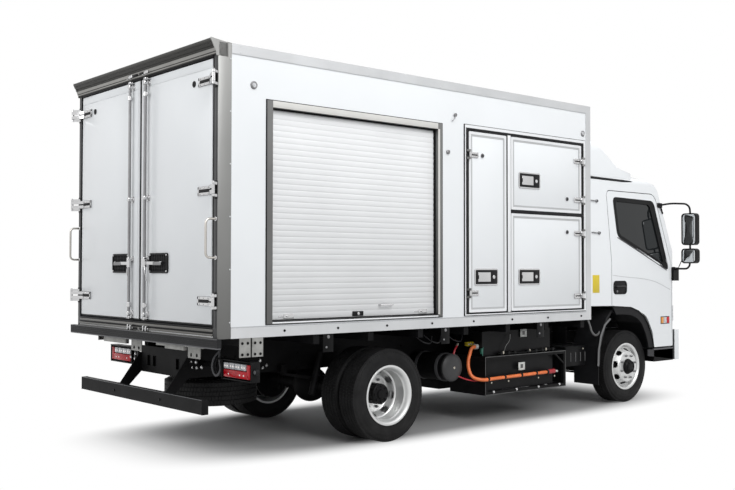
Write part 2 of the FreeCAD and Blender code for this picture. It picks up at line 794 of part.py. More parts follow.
def make_rails():
    x0, x1 = rear + s.rail_start, rail_front
    low, high, thick = s.rail_low, s.rail_high, s.rail_thick
    web = box(x0, x1, rail_inner, rail_out, low, high)
    top = box(x0, x1, rail_out - s.rail_flange, rail_out, high - thick, high)
    foot = box(x0, x1, rail_out - s.rail_flange, rail_out, low, low + thick)
    left = fuse(web, top, foot)
    node("frame_rails", group(left, mirrored(left)))


def make_crossmembers():
    low, high = s.rail_low + CROSS_INSET, s.rail_high - CROSS_INSET
    starts = (rear + s.rail_start + 10.0, rear_axle_x - REAR_SPAN - 20.0, rear_axle_x + REAR_SPAN + 20.0,
              battery_x0 - CROSS_WIDE + 10.0, battery_x1 - CROSS_WIDE + 10.0, front_axle_x - FRONT_SPAN,
              rail_front - CROSS_WIDE - 20.0)
    pieces = [box(x, x + CROSS_WIDE, -rail_inner, rail_inner, low, high) for x in starts]
    x0 = rear + s.rail_start
    plate = box(x0 - 10.0, x0, -rail_out, rail_out, s.rail_low, s.rail_high + PLATE_TOP)
    slots = [box(x0 - 15.0, x0 + 5.0, y, y + 60.0, s.rail_low + 60.0, s.rail_high - PLATE_TOP) for y in SLOTS]
    pieces.append(cut(plate, *slots))
    arch_x = cab_back + 60.0
    arch_top = s.cab_floor_under + ARCH_LAP
    arch = [box(arch_x, arch_x + ARCH_LENGTH, -rail_out, rail_out, arch_top - ARCH_HEIGHT, arch_top)]
    for y in (-rail_out, rail_out - CROSS_WIDE):
        arch.append(box(arch_x, arch_x + ARCH_LENGTH, y, y + CROSS_WIDE, s.rail_high, arch_top))
    pieces.append(fuse(*arch))
    motor_x = battery_x0 + MOTOR_BACK + 200.0
    pieces.append(box(motor_x, motor_x + 60.0, -rail_inner, rail_inner, s.rail_low + MOTOR_TOP, high + 10.0))
    node("frame_crossmembers", group(*pieces))


def make_brackets():
    pieces = []
    for x, drop in ((rear_axle_x - REAR_SPAN, 30.0), (rear_axle_x + REAR_SPAN, 30.0),
                    (front_axle_x - FRONT_SPAN, 58.0), (front_axle_x + FRONT_SPAN, 58.0)):
        pieces.append(box(x - HANGER_HALF, x + HANGER_HALF, rail_out, SPRING_Y + SPRING_HALF,
                          s.rail_low - drop + 18.0, s.rail_low + 60.0))
    plate = [(rail_front - 190.0, s.rail_high), (rail_front - 30.0, s.rail_low + PLATE_TOP),
             (pivot_x + 12.0, s.tilt_height - 22.0), (pivot_x + 22.0, s.tilt_height + 10.0),
             (pivot_x + 10.0, s.tilt_height + 26.0), (pivot_x - 24.0, s.tilt_height + 28.0)]
    pieces.append(cut(prism("XZ", plate, rail_out, rail_out + TILT_PLATE),
                      rod("Y", TILT_BORE, 60.0, pivot_x, rail_out - 10.0, s.tilt_height)))
    arm_end = bumper_x - s.bumper_thick - 80.0
    pieces.append(box(rail_front, arm_end, rail_out - 90.0, rail_out - 20.0, ARM_LOW, ARM_LOW + ARM_HEIGHT))
    left = group(*pieces)
    node("frame_brackets", group(left, mirrored(left)))


def make_springs():
    low_rear = s.tyre_radius + 62.0
    low_front = BEAM_LOW + BEAM_HEIGHT
    springs = []
    for y in (SPRING_Y, -SPRING_Y):
        springs.append(leaf_pack(rear_axle_x, y, low_rear, REAR_SPAN, s.rail_low - CROSS_INSET - low_rear))
        springs.append(leaf_pack(front_axle_x, y, low_front, FRONT_SPAN, s.rail_low - 58.0 - low_front))
    node("leaf_springs", group(*springs))


MOTOR_BACK = 130.0
MOTOR_LENGTH = 620.0
MOTOR_HALF = 230.0
MOTOR_TOP = 100.0
NOSE_LENGTH = 300.0
DRUM_BACK = 165.0


def make_rear_axle():
    z = s.tyre_radius
    x = rear_axle_x
    end = s.rear_track / 2 - s.twin_spacing / 2 - DRUM_BACK - LUG_GAP
    tube = rod("Y", 62.0, end * 2, x, -end, z)
    bowl = doc.addObject("Part::Sphere", fresh("bowl"))
    bowl.Radius = 168.0
    place(bowl, x, 0, z)
    nose = rod("X", 80.0, NOSE_LENGTH, x, 0, z)
    motor_x = battery_x0 + MOTOR_BACK
    shaft = rod("X", 38.0, motor_x - x - NOSE_LENGTH, x + NOSE_LENGTH, 0, z)
    node("rear_axle", fuse(tube, bowl, nose))
    node("propeller_shaft", shaft)
    node("drive_motor", box(motor_x, motor_x + MOTOR_LENGTH, -MOTOR_HALF, MOTOR_HALF, z - 150.0,
                            s.rail_low + MOTOR_TOP))


def make_batteries():
    x0, x1 = battery_x0, battery_x1
    out, inn = s.battery_out, s.battery_in
    low, high, a = s.battery_low, s.battery_high, s.angle_width
    bars = []
    for y in (inn, out - a):
        for z in (low, high - a):
            bars.append(box(x0, x1, y, y + a, z, z + a))
        for x in (x0, x1 - a):
            bars.append(box(x, x + a, y, y + a, low, high))
    for x in (x0, x1 - a):
        for z in (low, high - a):
            bars.append(box(x, x + a, inn, out, z, z + a))
        bars.append(box(x, x + a, rail_out, inn + a, high - a, high))
    for x in (x0 + 260.0, x1 - 330.0):
        bars.append(box(x, x + a, inn, out, low, low + a))
    bars.append(box(x0, x0 + 4.0, inn, out, low, high))
    frame = fuse(*bars)
    node("battery_frames", group(frame, mirrored(frame)))
    lower = box(x0 + a + 40.0, x1 - a - 120.0, inn + a + 10.0, out - a - 20.0, low + a, high - a)
    upper = box(x0 + 20.0, x1 - 190.0, inn + 40.0, out - 60.0, high, s.battery_top)
    node("battery_packs", group(lower, upper, mirrored(lower), mirrored(upper)))


def make_tank():
    tank_out = s.battery_out - 110.0
    node("air_tank", rod("Y", s.tank_radius, tank_out - rail_out, battery_x0 - s.tank_to_battery, -tank_out,
                         s.tank_height))


def make_spare():
    x, z = rear + s.spare_place, s.spare_height
    ring = tyre(x, 0, z)
    ring.Placement = FreeCAD.Placement(Vec(), FreeCAD.Rotation(Vec(1, 0, 0), 90))
    place(ring, x, 0, z)
    node("spare_tyre", ring)
    plate = rod("Z", s.bead_radius, 40.0, x, 0, z + 30.0)
    post = rod("Z", 45.0, s.rail_low + CROSS_INSET - z - 60.0, x, 0, z + 60.0)
    beam = box(x - 30.0, x + 30.0, -rail_inner, rail_inner, s.rail_low + CROSS_INSET, s.rail_low + 80.0)
    node("spare_carrier", fuse(plate, post, beam))


LAMP_BACK = 330.0
LAMP_LENGTH = 400.0
LAMP_INSET = 35.5
LAMP_SIZE = (70.0, 130.0)
LAMP_LOW = 640.0


def make_lamps():
    x = rear + LAMP_BACK
    out = half - LAMP_INSET
    lamp = box(x, x + LAMP_SIZE[0], out - LAMP_LENGTH, out, LAMP_LOW, LAMP_LOW + LAMP_SIZE[1])
    hanger = box(x + 20.0, x + 50.0, out - 370.0, out - 320.0, LAMP_LOW + LAMP_SIZE[1], under_body - s.bearer_height)
    pair = fuse(lamp, hanger)
    node("tail_lamps", group(pair, mirrored(pair)))


def make_guard():
    x = rear - s.guard_depth / 2
    bar = box(x, x + s.guard_depth, -s.guard_half, s.guard_half, s.guard_low, s.guard_high)
    x0 = rear + s.rail_start
    arm = [(x + s.guard_depth, s.guard_low), (x + s.guard_depth, s.guard_high), (x0 - 20.0, s.rail_high - 20.0),
           (x0 + 90.0, s.rail_high - 20.0), (x0 + 90.0, s.rail_low), (x0 - 10.0, s.rail_low)]
    arms = [prism("XZ", arm, rail_out, rail_out + 10.0), prism("XZ", arm, -rail_out - 10.0, -rail_out)]
    ties = [box(x + s.guard_depth, x + s.guard_depth + 8.0, y0, y0 + 90.0, s.guard_low, s.guard_high)
            for y0 in (rail_out - 40.0, -rail_out - 50.0)]
    node("underrun_guard", fuse(bar, *arms, *ties))


BEARERS = 8
BEARER_WIDE = 60.0
FIRST_BEARER = 340.0
LAST_BEARER = 145.0


def make_bearers():
    low = under_body - s.bearer_height
    start, end = rear + s.rail_start + 20.0, front_of_body - 40.0
    rail = box(start, end, rail_out - s.rail_flange, rail_out, s.rail_high, low)
    node("subframe_rails", group(rail, mirrored(rail)))
    first, last = rear + FIRST_BEARER, front_of_body - LAST_BEARER
    pieces = []
    for i in range(BEARERS):
        x0 = first + (last - first) * (i / (BEARERS - 1))
        pieces.append(box(x0, x0 + BEARER_WIDE, -skin + 20.0, skin - 20.0, low, under_body))
    node("floor_bearers", group(*pieces))


# High-voltage cable along the right battery frame

def cable(points, radius):
    """A tube on straight runs joined by tangent arcs."""
    places = [Vec(*p) for p in points]
    edges = []
    start = places[0]
    for i in range(1, len(places) - 1):
        back, here, ahead = places[i - 1], places[i], places[i + 1]
        one, two = here - back, ahead - here
        turn = one.getAngle(two)
        shorter = min(one.Length, two.Length)
        reach = 0.45 * shorter
        bend = reach / math.tan(turn / 2)
        one.normalize()
        two.normalize()
        enter, leave = here - one * reach, here + two * reach
        inward = two - one
        inward.normalize()
        middle = here + inward * (bend / math.cos(turn / 2) - bend)
        edges.append(Part.LineSegment(start, enter).toShape())
        edges.append(Part.Arc(enter, middle, leave).toShape())
        start = leave
    edges.append(Part.LineSegment(start, places[-1]).toShape())
    path = Part.Wire(edges)
    first = places[1] - places[0]
    ring = Part.Wire([Part.Circle(places[0], first, radius).toShape()])
    tube = path.makePipeShell([ring], True, False)
    return tube


CABLE_RADIUS = 17.0


def make_cable():
    x = amount(battery_x0)
    y = -amount(s.battery_out)
    top = amount(s.battery_high)
    route = [(x + 20.0, y + 125.0, top + 90.0), (x - 62.0, y + 125.0, top + 90.0), (x - 134.0, y + 112.0, top - 70.0),
             (x - 134.0, y + 60.0, top - 195.0), (x - 62.0, y - 19.5, top - 222.0), (x + 120.0, y - 19.5, top - 216.0),
             (x + 520.0, y - 19.5, top - 212.0), (x + 930.0, y - 19.5, top - 206.0)]
    tube = cable(route, CABLE_RADIUS)
    node("high_voltage_cable", free(tube))


# Round-cornered outlines for the cab

def rounded(points, radii):
    """A closed wire of lines with arcs at the corners that have a radius."""
    count = len(points)
    starts, ends, arcs = [], [], []
    for i in range(count):
        here = points[i]
        r = radii[i]
        if r <= 0:
            starts.append(here)
            ends.append(here)
            arcs.append(None)
            continue
        one = points[i - 1] - here
        two = points[(i + 1) % count] - here
        half_turn = one.getAngle(two) / 2
        reach = min(r / math.tan(half_turn), 0.49 * one.Length, 0.49 * two.Length)
        bend = reach * math.tan(half_turn)
        one.normalize()
        two.normalize()
        inward = one + two
        inward.normalize()
        enter, leave = here + one * reach, here + two * reach
        middle = here + inward * (bend / math.sin(half_turn) - bend)
        starts.append(enter)
        ends.append(leave)
        arcs.append((enter, middle, leave))
    edges = []
    for i in range(count):
        if arcs[i]:
            edges.append(Part.Arc(*arcs[i]).toShape())
        one, two = ends[i], starts[(i + 1) % count]
        if (two - one).Length > 1e-6:
            edges.append(Part.LineSegment(one, two).toShape())
    return Part.Wire(edges)


def slab(plane, points, low, high):
    """A block with a rounded outline; each point is two places and a corner radius."""
    if plane == "XZ":
        corners = [Vec(u, low, v) for u, v, r in points]
        travel = Vec(0, high - low, 0)
    elif plane == "YZ":
        corners = [Vec(low, u, v) for u, v, r in points]
        travel = Vec(high - low, 0, 0)
    else:
        corners = [Vec(u, v, low) for u, v, r in points]
        travel = Vec(0, 0, high - low)
    return Part.Face(rounded(corners, [r for u, v, r in points])).extrude(travel)


# Outlines of the cab; places are from its back and below its roof, heights from the ground

CAB_ARCH = ((430.0, 1098.0, 0.0), (790.0, 1078.0, 260.0), (1080.0, 970.0, 200.0), (1204.0, 770.0, 150.0))
CAB_BACK_EDGE = 1105.0
CAB_SILL = 600.0
CAB_SILL_START = 1232.0
SKIRT_END = 1650.0
FRONT_SILL = 808.0
CAB_LOWEST = 400.0
NOSE = ((8.0, 1380.0, 300.0), (70.0, 1540.0, 60.0))
PILLAR = (350.0, 115.0, 160.0)
BROW = 760.0
SHOULDER = 1120.0
FLARE = 41.0
LEAN = 85.0
CORNER = ((75.0, 0.0, 110.0), (50.0, 230.0, 300.0))
REACH = 1200.0


def cab_solid(inset):
    """The cab's outer form, or the same form with every face moved inwards."""
    t = inset
    x = amount(cab_back)
    back, front, roof = x + t, x + amount(s.cab_length) - t, amount(s.cab_roof) - t
    side = [(back, CAB_BACK_EDGE + t, 40.0)]
    side += [(x + u, v + t, r) for u, v, r in CAB_ARCH]
    side += [(x + CAB_SILL_START + t, CAB_SILL + t, 0.0), (front, CAB_SILL + t, 30.0)]
    side += [(front - u, v, r) for u, v, r in NOSE]
    side += [(front - PILLAR[0], roof + t - PILLAR[1], PILLAR[2]), (front - BROW, roof, 260.0), (back, roof, 60.0)]
    wide = amount(s.cab_width) / 2 - t
    right = [(wide + FLARE, CAB_LOWEST, 0.0), (wide + FLARE, SHOULDER, 0.0), (wide - LEAN, roof - 60.0, 90.0),
             (wide - 240.0, roof + 5.0, 300.0)]
    face = right + [(-u, v, r) for u, v, r in reversed(right)]
    lead = [(front - u, wide - v, r) for u, v, r in CORNER]
    plan = [(back - 30.0, -wide, 0.0)] + [(u, -v, r) for u, v, r in lead] + [(front + 4.0, 0.0, 1500.0)]
    plan += [(u, v, r) for u, v, r in reversed(lead)] + [(back - 30.0, wide, 0.0)]
    body = slab("XZ", side, -wide - REACH, wide + REACH)
    body = body.common(slab("YZ", face, back - 10.0, front + 10.0))
    return body.common(slab("XY", plan, CAB_LOWEST, roof + 200.0))


DOOR_BACK = 415.0
DOOR_FRONT = 1594.0
DOOR_TOP = 216.0
DOOR_KNEE = (1355.0, 1065.0)
DOOR_BOTTOM = 752.0
WINDOW = ((566.0, 719.0, 70.0), (1515.0, 1090.0, 30.0), (1312.0, 306.0, 60.0), (535.0, 293.0, 50.0))
HINGE_BACK = 30.0
HINGE_INSET = 12.0
HINGE_BORE = 6.0
HINGE_FREE = 0.4
HINGE_PIN = 120.0


def door_outline(grow):
    """The cab door seen from the side, grown by the gap around it."""
    x = amount(cab_back)
    g = grow
    roof = amount(s.cab_roof)
    top = roof - DOOR_TOP
    return [(x + DOOR_BACK - g, DOOR_BOTTOM, 0.0), (x + DOOR_FRONT + g, DOOR_BOTTOM, 0.0),
            (x + DOOR_FRONT + g, roof - DOOR_KNEE[1], 60.0), (x + DOOR_KNEE[0] + g, top + g, 120.0),
            (x + DOOR_BACK - g, top + g, 60.0)]


def window_outline():
    """The side window's opening."""
    x = amount(cab_back)
    roof = amount(s.cab_roof)
    return [(x + u, roof - v, r) for u, v, r in WINDOW]


CAB_GAP = 8.0
GLASS_INSET = 10.0
GLASS_THICK = 6.0
SCREEN_SIDE = (150.0, 230.0)
SCREEN_LOW = 1575.0
SCREEN_TOP = 200.0
DOOR_DEPTH = 260.0
DOOR_SILL = 20.0
TILT_LUG = 26.0
TILT_PIN = 12.0


def floor_block(x0, x1, low, high):
    """A wide block across the cab between two heights."""
    outline = [(x0, low, 0.0), (x1, low, 0.0), (x1, high, 0.0), (x0, high, 0.0)]
    wide = amount(s.cab_width) / 2 + 400.0
    return slab("XZ", outline, -wide, wide)


def floor_edge(side, gap):
    """The floor beside a door, which stays with the cab."""
    x = amount(cab_back)
    reach = amount(s.cab_width) / 2 - amount(s.cab_wall) - DOOR_SILL + gap
    high = amount(s.cab_floor_top) + gap
    low_y = min(0.0, side * reach)
    return Part.makeBox(amount(s.cab_length) + 400.0, reach, high - CAB_LOWEST, Vec(x - 200.0, low_y, CAB_LOWEST))


def make_cab():
    x = amount(cab_back)
    ahead = x + amount(s.cab_length) + 400.0
    half_width = amount(s.cab_width) / 2
    roof = amount(s.cab_roof)
    floor_top_z, floor_low_z = amount(s.cab_floor_top), amount(s.cab_floor_under)
    outer = cab_solid(0.0)
    room = cab_solid(amount(s.cab_wall))
    above = floor_block(x - 400.0, ahead, floor_top_z, roof + 400.0)
    room = room.fuse(room.translated(Vec(0, 0, -60.0))).common(above)
    skirt = cab_solid(amount(s.cab_skirt))
    under = skirt.fuse(skirt.translated(Vec(0, 0, -200.0)))
    below = floor_block(x + 500.0, ahead, CAB_LOWEST, floor_low_z)
    shell = outer.cut(room).cut(under.common(below))
    shell = shell.cut(floor_block(x + SKIRT_END, ahead, CAB_LOWEST, FRONT_SILL))
    low_y, high_y = half_width - SCREEN_SIDE[0], half_width - SCREEN_SIDE[1]
    screen = slab("YZ", [(-low_y, SCREEN_LOW, 60.0), (low_y, SCREEN_LOW, 60.0), (high_y, roof - SCREEN_TOP, 90.0),
                         (-high_y, roof - SCREEN_TOP, 90.0)], x + 1100.0, ahead)
    glass_skin = cab_solid(GLASS_INSET).cut(cab_solid(GLASS_INSET + GLASS_THICK))
    shell = shell.cut(screen)
    node("windscreen", free(glass_skin.common(screen)))
    for side, name in ((1, "left"), (-1, "right")):
        y0, y1 = sorted((side * (half_width - DOOR_DEPTH), side * (half_width + 170.0)))
        outline = slab("XZ", door_outline(0.0), y0, y1).cut(floor_edge(side, CAB_GAP))
        hole = slab("XZ", door_outline(CAB_GAP), y0, y1).cut(floor_edge(side, 0.0))
        window = slab("XZ", window_outline(), y0, y1)
        axis = Vec(x + DOOR_FRONT - HINGE_BACK, side * (half_width - HINGE_INSET), DOOR_BOTTOM)
        bore = Part.makeCylinder(HINGE_BORE, 230.0, axis, Vec(0, 0, 1))
        door = shell.common(outline)
        node(f"cab_door_{name}", free(largest(door.cut(window).cut(bore))))
        node(f"door_glass_{name}", free(largest(glass_skin.common(window))))
        foot = axis - Vec(0, 0, CAB_GAP + 4.0)
        pin = Part.makeCylinder(HINGE_BORE - HINGE_FREE, HINGE_PIN, foot, Vec(0, 0, 1))
        shell = shell.cut(hole).fuse(pin)
    lug_y = amount(rail_out) + TILT_PLATE
    px, pz = amount(pivot_x), amount(s.tilt_height)
    for side in (1, -1):
        y0, y1 = sorted((side * (lug_y + 5.0), side * (lug_y + 5.0 + TILT_PLATE)))
        plate = slab("XZ", [(px - TILT_LUG, pz - TILT_LUG, 20.0), (px + TILT_LUG, pz - TILT_LUG, 20.0),
                            (px + TILT_LUG, floor_low_z + 4.0, 0.0), (px - 90.0, floor_low_z + 4.0, 0.0)], y0, y1)
        pin_y = min(side * (lug_y - TILT_PLATE), side * (lug_y + 5.0))
        pin = Part.makeCylinder(TILT_PIN, TILT_PLATE + 5.0, Vec(px, pin_y, pz), Vec(0, 1, 0))
        shell = shell.fuse([plate, pin])
    node("cab_shell", free(largest(shell)))


def largest(shape):
    """The main solid of a shape, without slivers."""
    return max(shape.Solids, key=lambda solid: solid.Volume)


# Inside of the cab; heights are above its floor, those of the seats' backs and heads below its roof

DASH = ((1290.0, 145.0, 40.0), (1620.0, 35.0, 0.0), (1650.0, 360.0, 20.0), (1500.0, 400.0, 60.0),
        (1310.0, 345.0, 60.0))
CONSOLE = (300.0, 260.0, 155.0)
CONSOLE_START = 1310.0
WHEEL_CENTRE = (1160.0, 480.0, 545.0)
WHEEL_LEAN = -28.0
WHEEL_RADIUS = 205.0
SEAT_BASE = ((200.0, 155.0, 40.0), (720.0, 185.0, 60.0), (700.0, 295.0, 50.0), (230.0, 275.0, 30.0))
SEAT_BACK_FOOT = ((240.0, 245.0, 20.0), (340.0, 255.0, 20.0))
SEAT_BACK_TOP = ((240.0, 590.0, 40.0), (130.0, 590.0, 40.0))
SEAT_HEAD = ((125.0, 600.0, 10.0), (240.0, 600.0, 10.0), (210.0, 420.0, 30.0), (120.0, 420.0, 30.0))
SEAT_HEAD_HALF = 130.0
SEAT_STAND = (420.0, 1.6, 175.0)
SEAT_STAND_START = 250.0
SEATS = ((480.0, 250.0), (-400.0, 380.0))


def across(outline, y0, y1):
    """A block across the cab from an outline whose places are from the cab's back."""
    x = amount(cab_back)
    return slab("XZ", [(x + u, v, r) for u, v, r in outline], y0, y1)


def above(level, outline):
    """An outline whose heights are counted up from a level."""
    return [(u, level + v, r) for u, v, r in outline]


def below(level, outline):
    """An outline whose heights are counted down from a level."""
    return [(u, level - v, r) for u, v, r in outline]


def make_cab_inside():
    x = amount(cab_back)
    floor, roof = amount(s.cab_floor_top), amount(s.cab_roof)
    dash_half = amount(s.cab_width) / 2 - SCREEN_SIDE[0]
    dash = across(above(floor, DASH), -dash_half, dash_half).common(cab_solid(amount(s.cab_wall)))
    console = Part.makeBox(*CONSOLE, Vec(x + CONSOLE_START, -CONSOLE[1] / 2, floor))
    ring = Part.makeTorus(WHEEL_RADIUS, 14.0)
    hub = Part.makeCylinder(58.0, 40.0, Vec(0, 0, -20.0))
    spokes = [Part.makeBox(190.0, 44.0, 16.0, Vec(0, -22.0, -8.0)) for _ in range(3)]
    for i, spoke in enumerate(spokes):
        spoke.rotate(Vec(), Vec(0, 0, 1), 90.0 + 120.0 * i)
    column = Part.makeCylinder(34.0, 330.0, Vec(0, 0, -350.0))
    wheel = ring.fuse([hub, column] + spokes)
    lean = FreeCAD.Rotation(Vec(0, 1, 0), WHEEL_LEAN)
    wheel.Placement = FreeCAD.Placement(Vec(x + WHEEL_CENTRE[0], WHEEL_CENTRE[1], floor + WHEEL_CENTRE[2]), lean)
    node("dashboard", free(dash.fuse([console, wheel])))
    seats = []
    for y, wide in SEATS:
        base = across(above(floor, SEAT_BASE), y - wide, y + wide)
        outline = above(floor, SEAT_BACK_FOOT) + below(roof, SEAT_BACK_TOP)
        back = across(outline, y - wide, y + wide)
        head = across(below(roof, SEAT_HEAD), y - SEAT_HEAD_HALF, y + SEAT_HEAD_HALF)
        deep = wide * SEAT_STAND[1]
        stand = Part.makeBox(SEAT_STAND[0], deep, SEAT_STAND[2], Vec(x + SEAT_STAND_START, y - deep / 2, floor))
        seats.append(base.fuse([back, head, stand]))
    node("seats", free(Part.makeCompound(seats)))


DEFLECTOR_END = 1090.0
DEFLECTOR_START = 50.0
DEFLECTOR_INSET = 100.0
DEFLECTOR_SKIN = 14.0
DEFLECTOR_DROP = 85.0
DEFLECTOR_RISE = 475.0
DEFLECTOR_SLOPE = ((1080.0, -20.0, 0.0), (680.0, 62.0, 60.0), (428.0, 252.0, 300.0), (227.0, 382.0, 300.0))
SEAM = 0.3


def deflector_form(t):
    """The roof deflector's outer form, or the same form moved inwards."""
    x = amount(cab_back)
    roof = amount(s.cab_roof)
    start, end = x + DEFLECTOR_START, x + DEFLECTOR_END
    side = [(start, roof - DEFLECTOR_DROP, 0.0), (end - 2 * t, roof - DEFLECTOR_DROP, 0.0)]
    side += [(x + u - t, roof + v - t, r) for u, v, r in DEFLECTOR_SLOPE] + [(start, roof + DEFLECTOR_RISE - t, 0.0)]
    wide = amount(s.cab_width) / 2 - DEFLECTOR_INSET - t
    right = [(wide, roof - 100.0, 0.0), (wide - 40.0, roof + 300.0, 200.0), (wide - 260.0, roof + 510.0 - t, 300.0)]
    face = right + [(-u, v, r) for u, v, r in reversed(right)]
    lead = [(end - 90.0 - t, wide, 160.0), (end - 20.0 - t, wide - 260.0, 260.0)]
    plan = [(start, -wide, 0.0)] + [(u, -v, r) for u, v, r in lead] + [(end - t, 0.0, 900.0)]
    plan += [(u, v, r) for u, v, r in reversed(lead)] + [(start, wide, 0.0)]
    body = slab("XZ", side, -wide - 70.0, wide + 70.0).common(slab("YZ", face, start - 50.0, end + 40.0))
    return body.common(slab("XY", plan, roof - 120.0, roof + 600.0))


def make_deflector():
    inner = deflector_form(DEFLECTOR_SKIN)
    inner = inner.fuse(inner.translated(Vec(-40.0, 0, -40.0)))
    shape = deflector_form(0.0).cut(inner).cut(cab_solid(-SEAM))
    node("roof_deflector", free(largest(shape)))


BUMPER_START = 1658.0
BUMPER_BEAM = (500.0, 160.0, 50.0)
BUMPER_PADS = (-345.0, 345.0)


def bumper_plan(t):
    """The bumper's outline from above, moved inwards."""
    front = amount(bumper_x) - t
    wide = amount(s.cab_width) / 2 - t
    start = amount(cab_back) + BUMPER_START - (50.0 if t else 0.0)
    lead = [(front - u, wide - v, r) for u, v, r in CORNER]
    plan = [(start, -wide, 0.0)] + [(u, -v, r) for u, v, r in lead] + [(front, 0.0, 1500.0)]
    return plan + [(u, v, r) for u, v, r in reversed(lead)] + [(start, wide, 0.0)]


def make_bumper():
    low, high, thick = amount(s.bumper_low), amount(s.bumper_high), amount(s.bumper_thick)
    wide = amount(s.cab_width) / 2
    skirt = slab("XY", bumper_plan(0.0), low, high).cut(slab("XY", bumper_plan(thick), low - 10.0, high + 10.0))
    beam_low, beam_height, beam_deep = BUMPER_BEAM
    inner_x = amount(bumper_x) - thick - 60.0
    room = slab("XY", bumper_plan(thick - 1.0), low, high)
    bars = [Part.makeBox(beam_deep, wide * 2 - 560.0, beam_height, Vec(inner_x - 20.0, 280.0 - wide, beam_low))]
    bars += [Part.makeBox(80.0, 120.0, 120.0, Vec(inner_x, y - 60.0, beam_low + 20.0)) for y in BUMPER_PADS]
    node("front_bumper", free(largest(skirt.fuse([bar.common(room) for bar in bars]))))


LINER = ((1214.0, 592.0, 0.0), (1160.0, 770.0, 80.0), (1066.0, 905.0, 100.0), (890.0, 1024.0, 160.0),
         (460.0, 1062.0, 80.0), (350.0, 960.0, 80.0), (230.0, 660.0, 60.0), (210.0, 450.0, 0.0),
         (235.0, 450.0, 0.0), (255.0, 655.0, 60.0), (372.0, 942.0, 80.0), (470.0, 1036.0, 60.0),
         (880.0, 998.0, 150.0), (1046.0, 886.0, 90.0), (1136.0, 760.0, 70.0), (1188.0, 592.0, 0.0))
LINER_INSET = (390.0, 36.0)
FLAP = (8.0, 330.0, 230.0)
STEP = (394.0, 240.0, 146.0)
STEP_INSET = 245.0


def make_front_guards():
    x = amount(cab_back)
    wide = amount(s.cab_width) / 2
    frame_y = amount(rail_out)
    liner_y = wide - LINER_INSET[0]
    band = across(LINER, liner_y, wide - LINER_INSET[1])
    flap = Part.makeBox(*FLAP, Vec(x + 212.0, liner_y + 20.0, 236.0))
    stay = Part.makeBox(40.0, liner_y - frame_y, 40.0, Vec(x + 209.0, frame_y, 640.0))
    guard = free(band.fuse([flap, stay]))
    node("front_mudguards", group(guard, mirrored(guard)))
    step_y = wide - STEP_INSET
    tread = Part.makeBox(*STEP, Vec(x + 1232.0, step_y, 432.0))
    arm = Part.makeBox(60.0, step_y - frame_y, 60.0, Vec(x + 1400.0, frame_y, 530.0))
    post = Part.makeBox(60.0, 20.0, 110.0, Vec(x + 1400.0, frame_y, 530.0))
    step = free(tread.fuse([arm, post]))
    node("corner_steps", group(step, mirrored(step)))


LAMP_ZONE = ((390.0, 880.0, 30.0), (-70.0, 900.0, 0.0), (-50.0, 1080.0, 0.0), (330.0, 1060.0, 30.0))


def make_headlamps():
    x = amount(cab_back)
    wide = amount(s.cab_width) / 2
    outline = [(wide - u, v, r) for u, v, r in LAMP_ZONE]
    zone = slab("YZ", outline, x + 1610.0, x + 1900.0)
    lamp = free(largest(zone.common(cab_solid(-6.0)).cut(cab_solid(-SEAM))))
    node("headlamps", group(lamp, mirrored(lamp)))


MIRROR_REACH = 215.0
MIRROR_HALF = 95.0
MIRROR_TUBE = 11.0
# Heights of the mirror's parts, all below the cab's roof
MIRROR_ARM = 1088.0
MIRROR_ARM_TOP = 960.0
MIRROR_HEAD = (810.0, 435.0, 1630.0, 1700.0)
MIRROR_SMALL = (1025.0, 850.0, 1625.0, 1705.0)
MIRROR_STEM = (860.0, 60.0)
MIRROR_FOOT = (110.0, 80.0, 150.0)
MIRROR_FOOT_DROP = 1230.0
MIRROR_FOOT_START = 1600.0


def mirror_case(y, low, high, x0, x1):
    """A mirror's case with round corners."""
    outline = [(y - MIRROR_HALF, low, 40.0), (y + MIRROR_HALF, low, 40.0), (y + MIRROR_HALF, high, 40.0),
               (y - MIRROR_HALF, high, 40.0)]
    return slab("YZ", outline, x0, x1)


def make_mirrors():
    x = amount(cab_back)
    wide = amount(s.cab_width) / 2
    roof = amount(s.cab_roof)
    arm_y = wide + MIRROR_REACH
    upper = cable([(x + 1450.0, wide - 75.0, roof - 338.0), (x + 1530.0, wide + 40.0, roof - 315.0),
                   (x + 1645.0, arm_y, roof - 325.0), (x + 1655.0, arm_y + 6.0, roof - 470.0)], MIRROR_TUBE)
    arm_z = roof - MIRROR_ARM
    lower = cable([(x + 1655.0, wide - 14.0, arm_z), (x + 1650.0, wide + 70.0, arm_z),
                   (x + 1650.0, arm_y - 6.0, arm_z), (x + 1652.0, arm_y, roof - MIRROR_ARM_TOP)], MIRROR_TUBE)
    cases = []
    for low, high, x0, x1 in (MIRROR_HEAD, MIRROR_SMALL):
        cases.append(mirror_case(arm_y, roof - low, roof - high, x + x0, x + x1))
    head, small = cases
    stem = Part.makeCylinder(MIRROR_TUBE, MIRROR_STEM[1], Vec(x + 1655.0, arm_y, roof - MIRROR_STEM[0]))
    foot = Part.makeBox(*MIRROR_FOOT, Vec(x + MIRROR_FOOT_START, wide - 50.0, roof - MIRROR_FOOT_DROP))
    one = free(largest(upper.fuse([lower, head, small, stem, foot]).cut(cab_solid(-SEAM))))
    node("mirrors", group(one, mirrored(one)))


make_body_shell()
make_edges()
make_side_plates()
make_rear_frame()
make_rear_doors()
make_side_frames()
make_side_doors()
make_wheels()
make_steering()
make_rails()
make_crossmembers()
make_brackets()
make_springs()
make_rear_axle()
make_batteries()
make_tank()
make_spare()
make_lamps()
make_guard()
make_bearers()
make_cable()
make_cab()
make_cab_inside()
make_deflector()
make_bumper()
make_front_guards()
make_headlamps()
make_mirrors()

doc.recompute()

# Checks and export

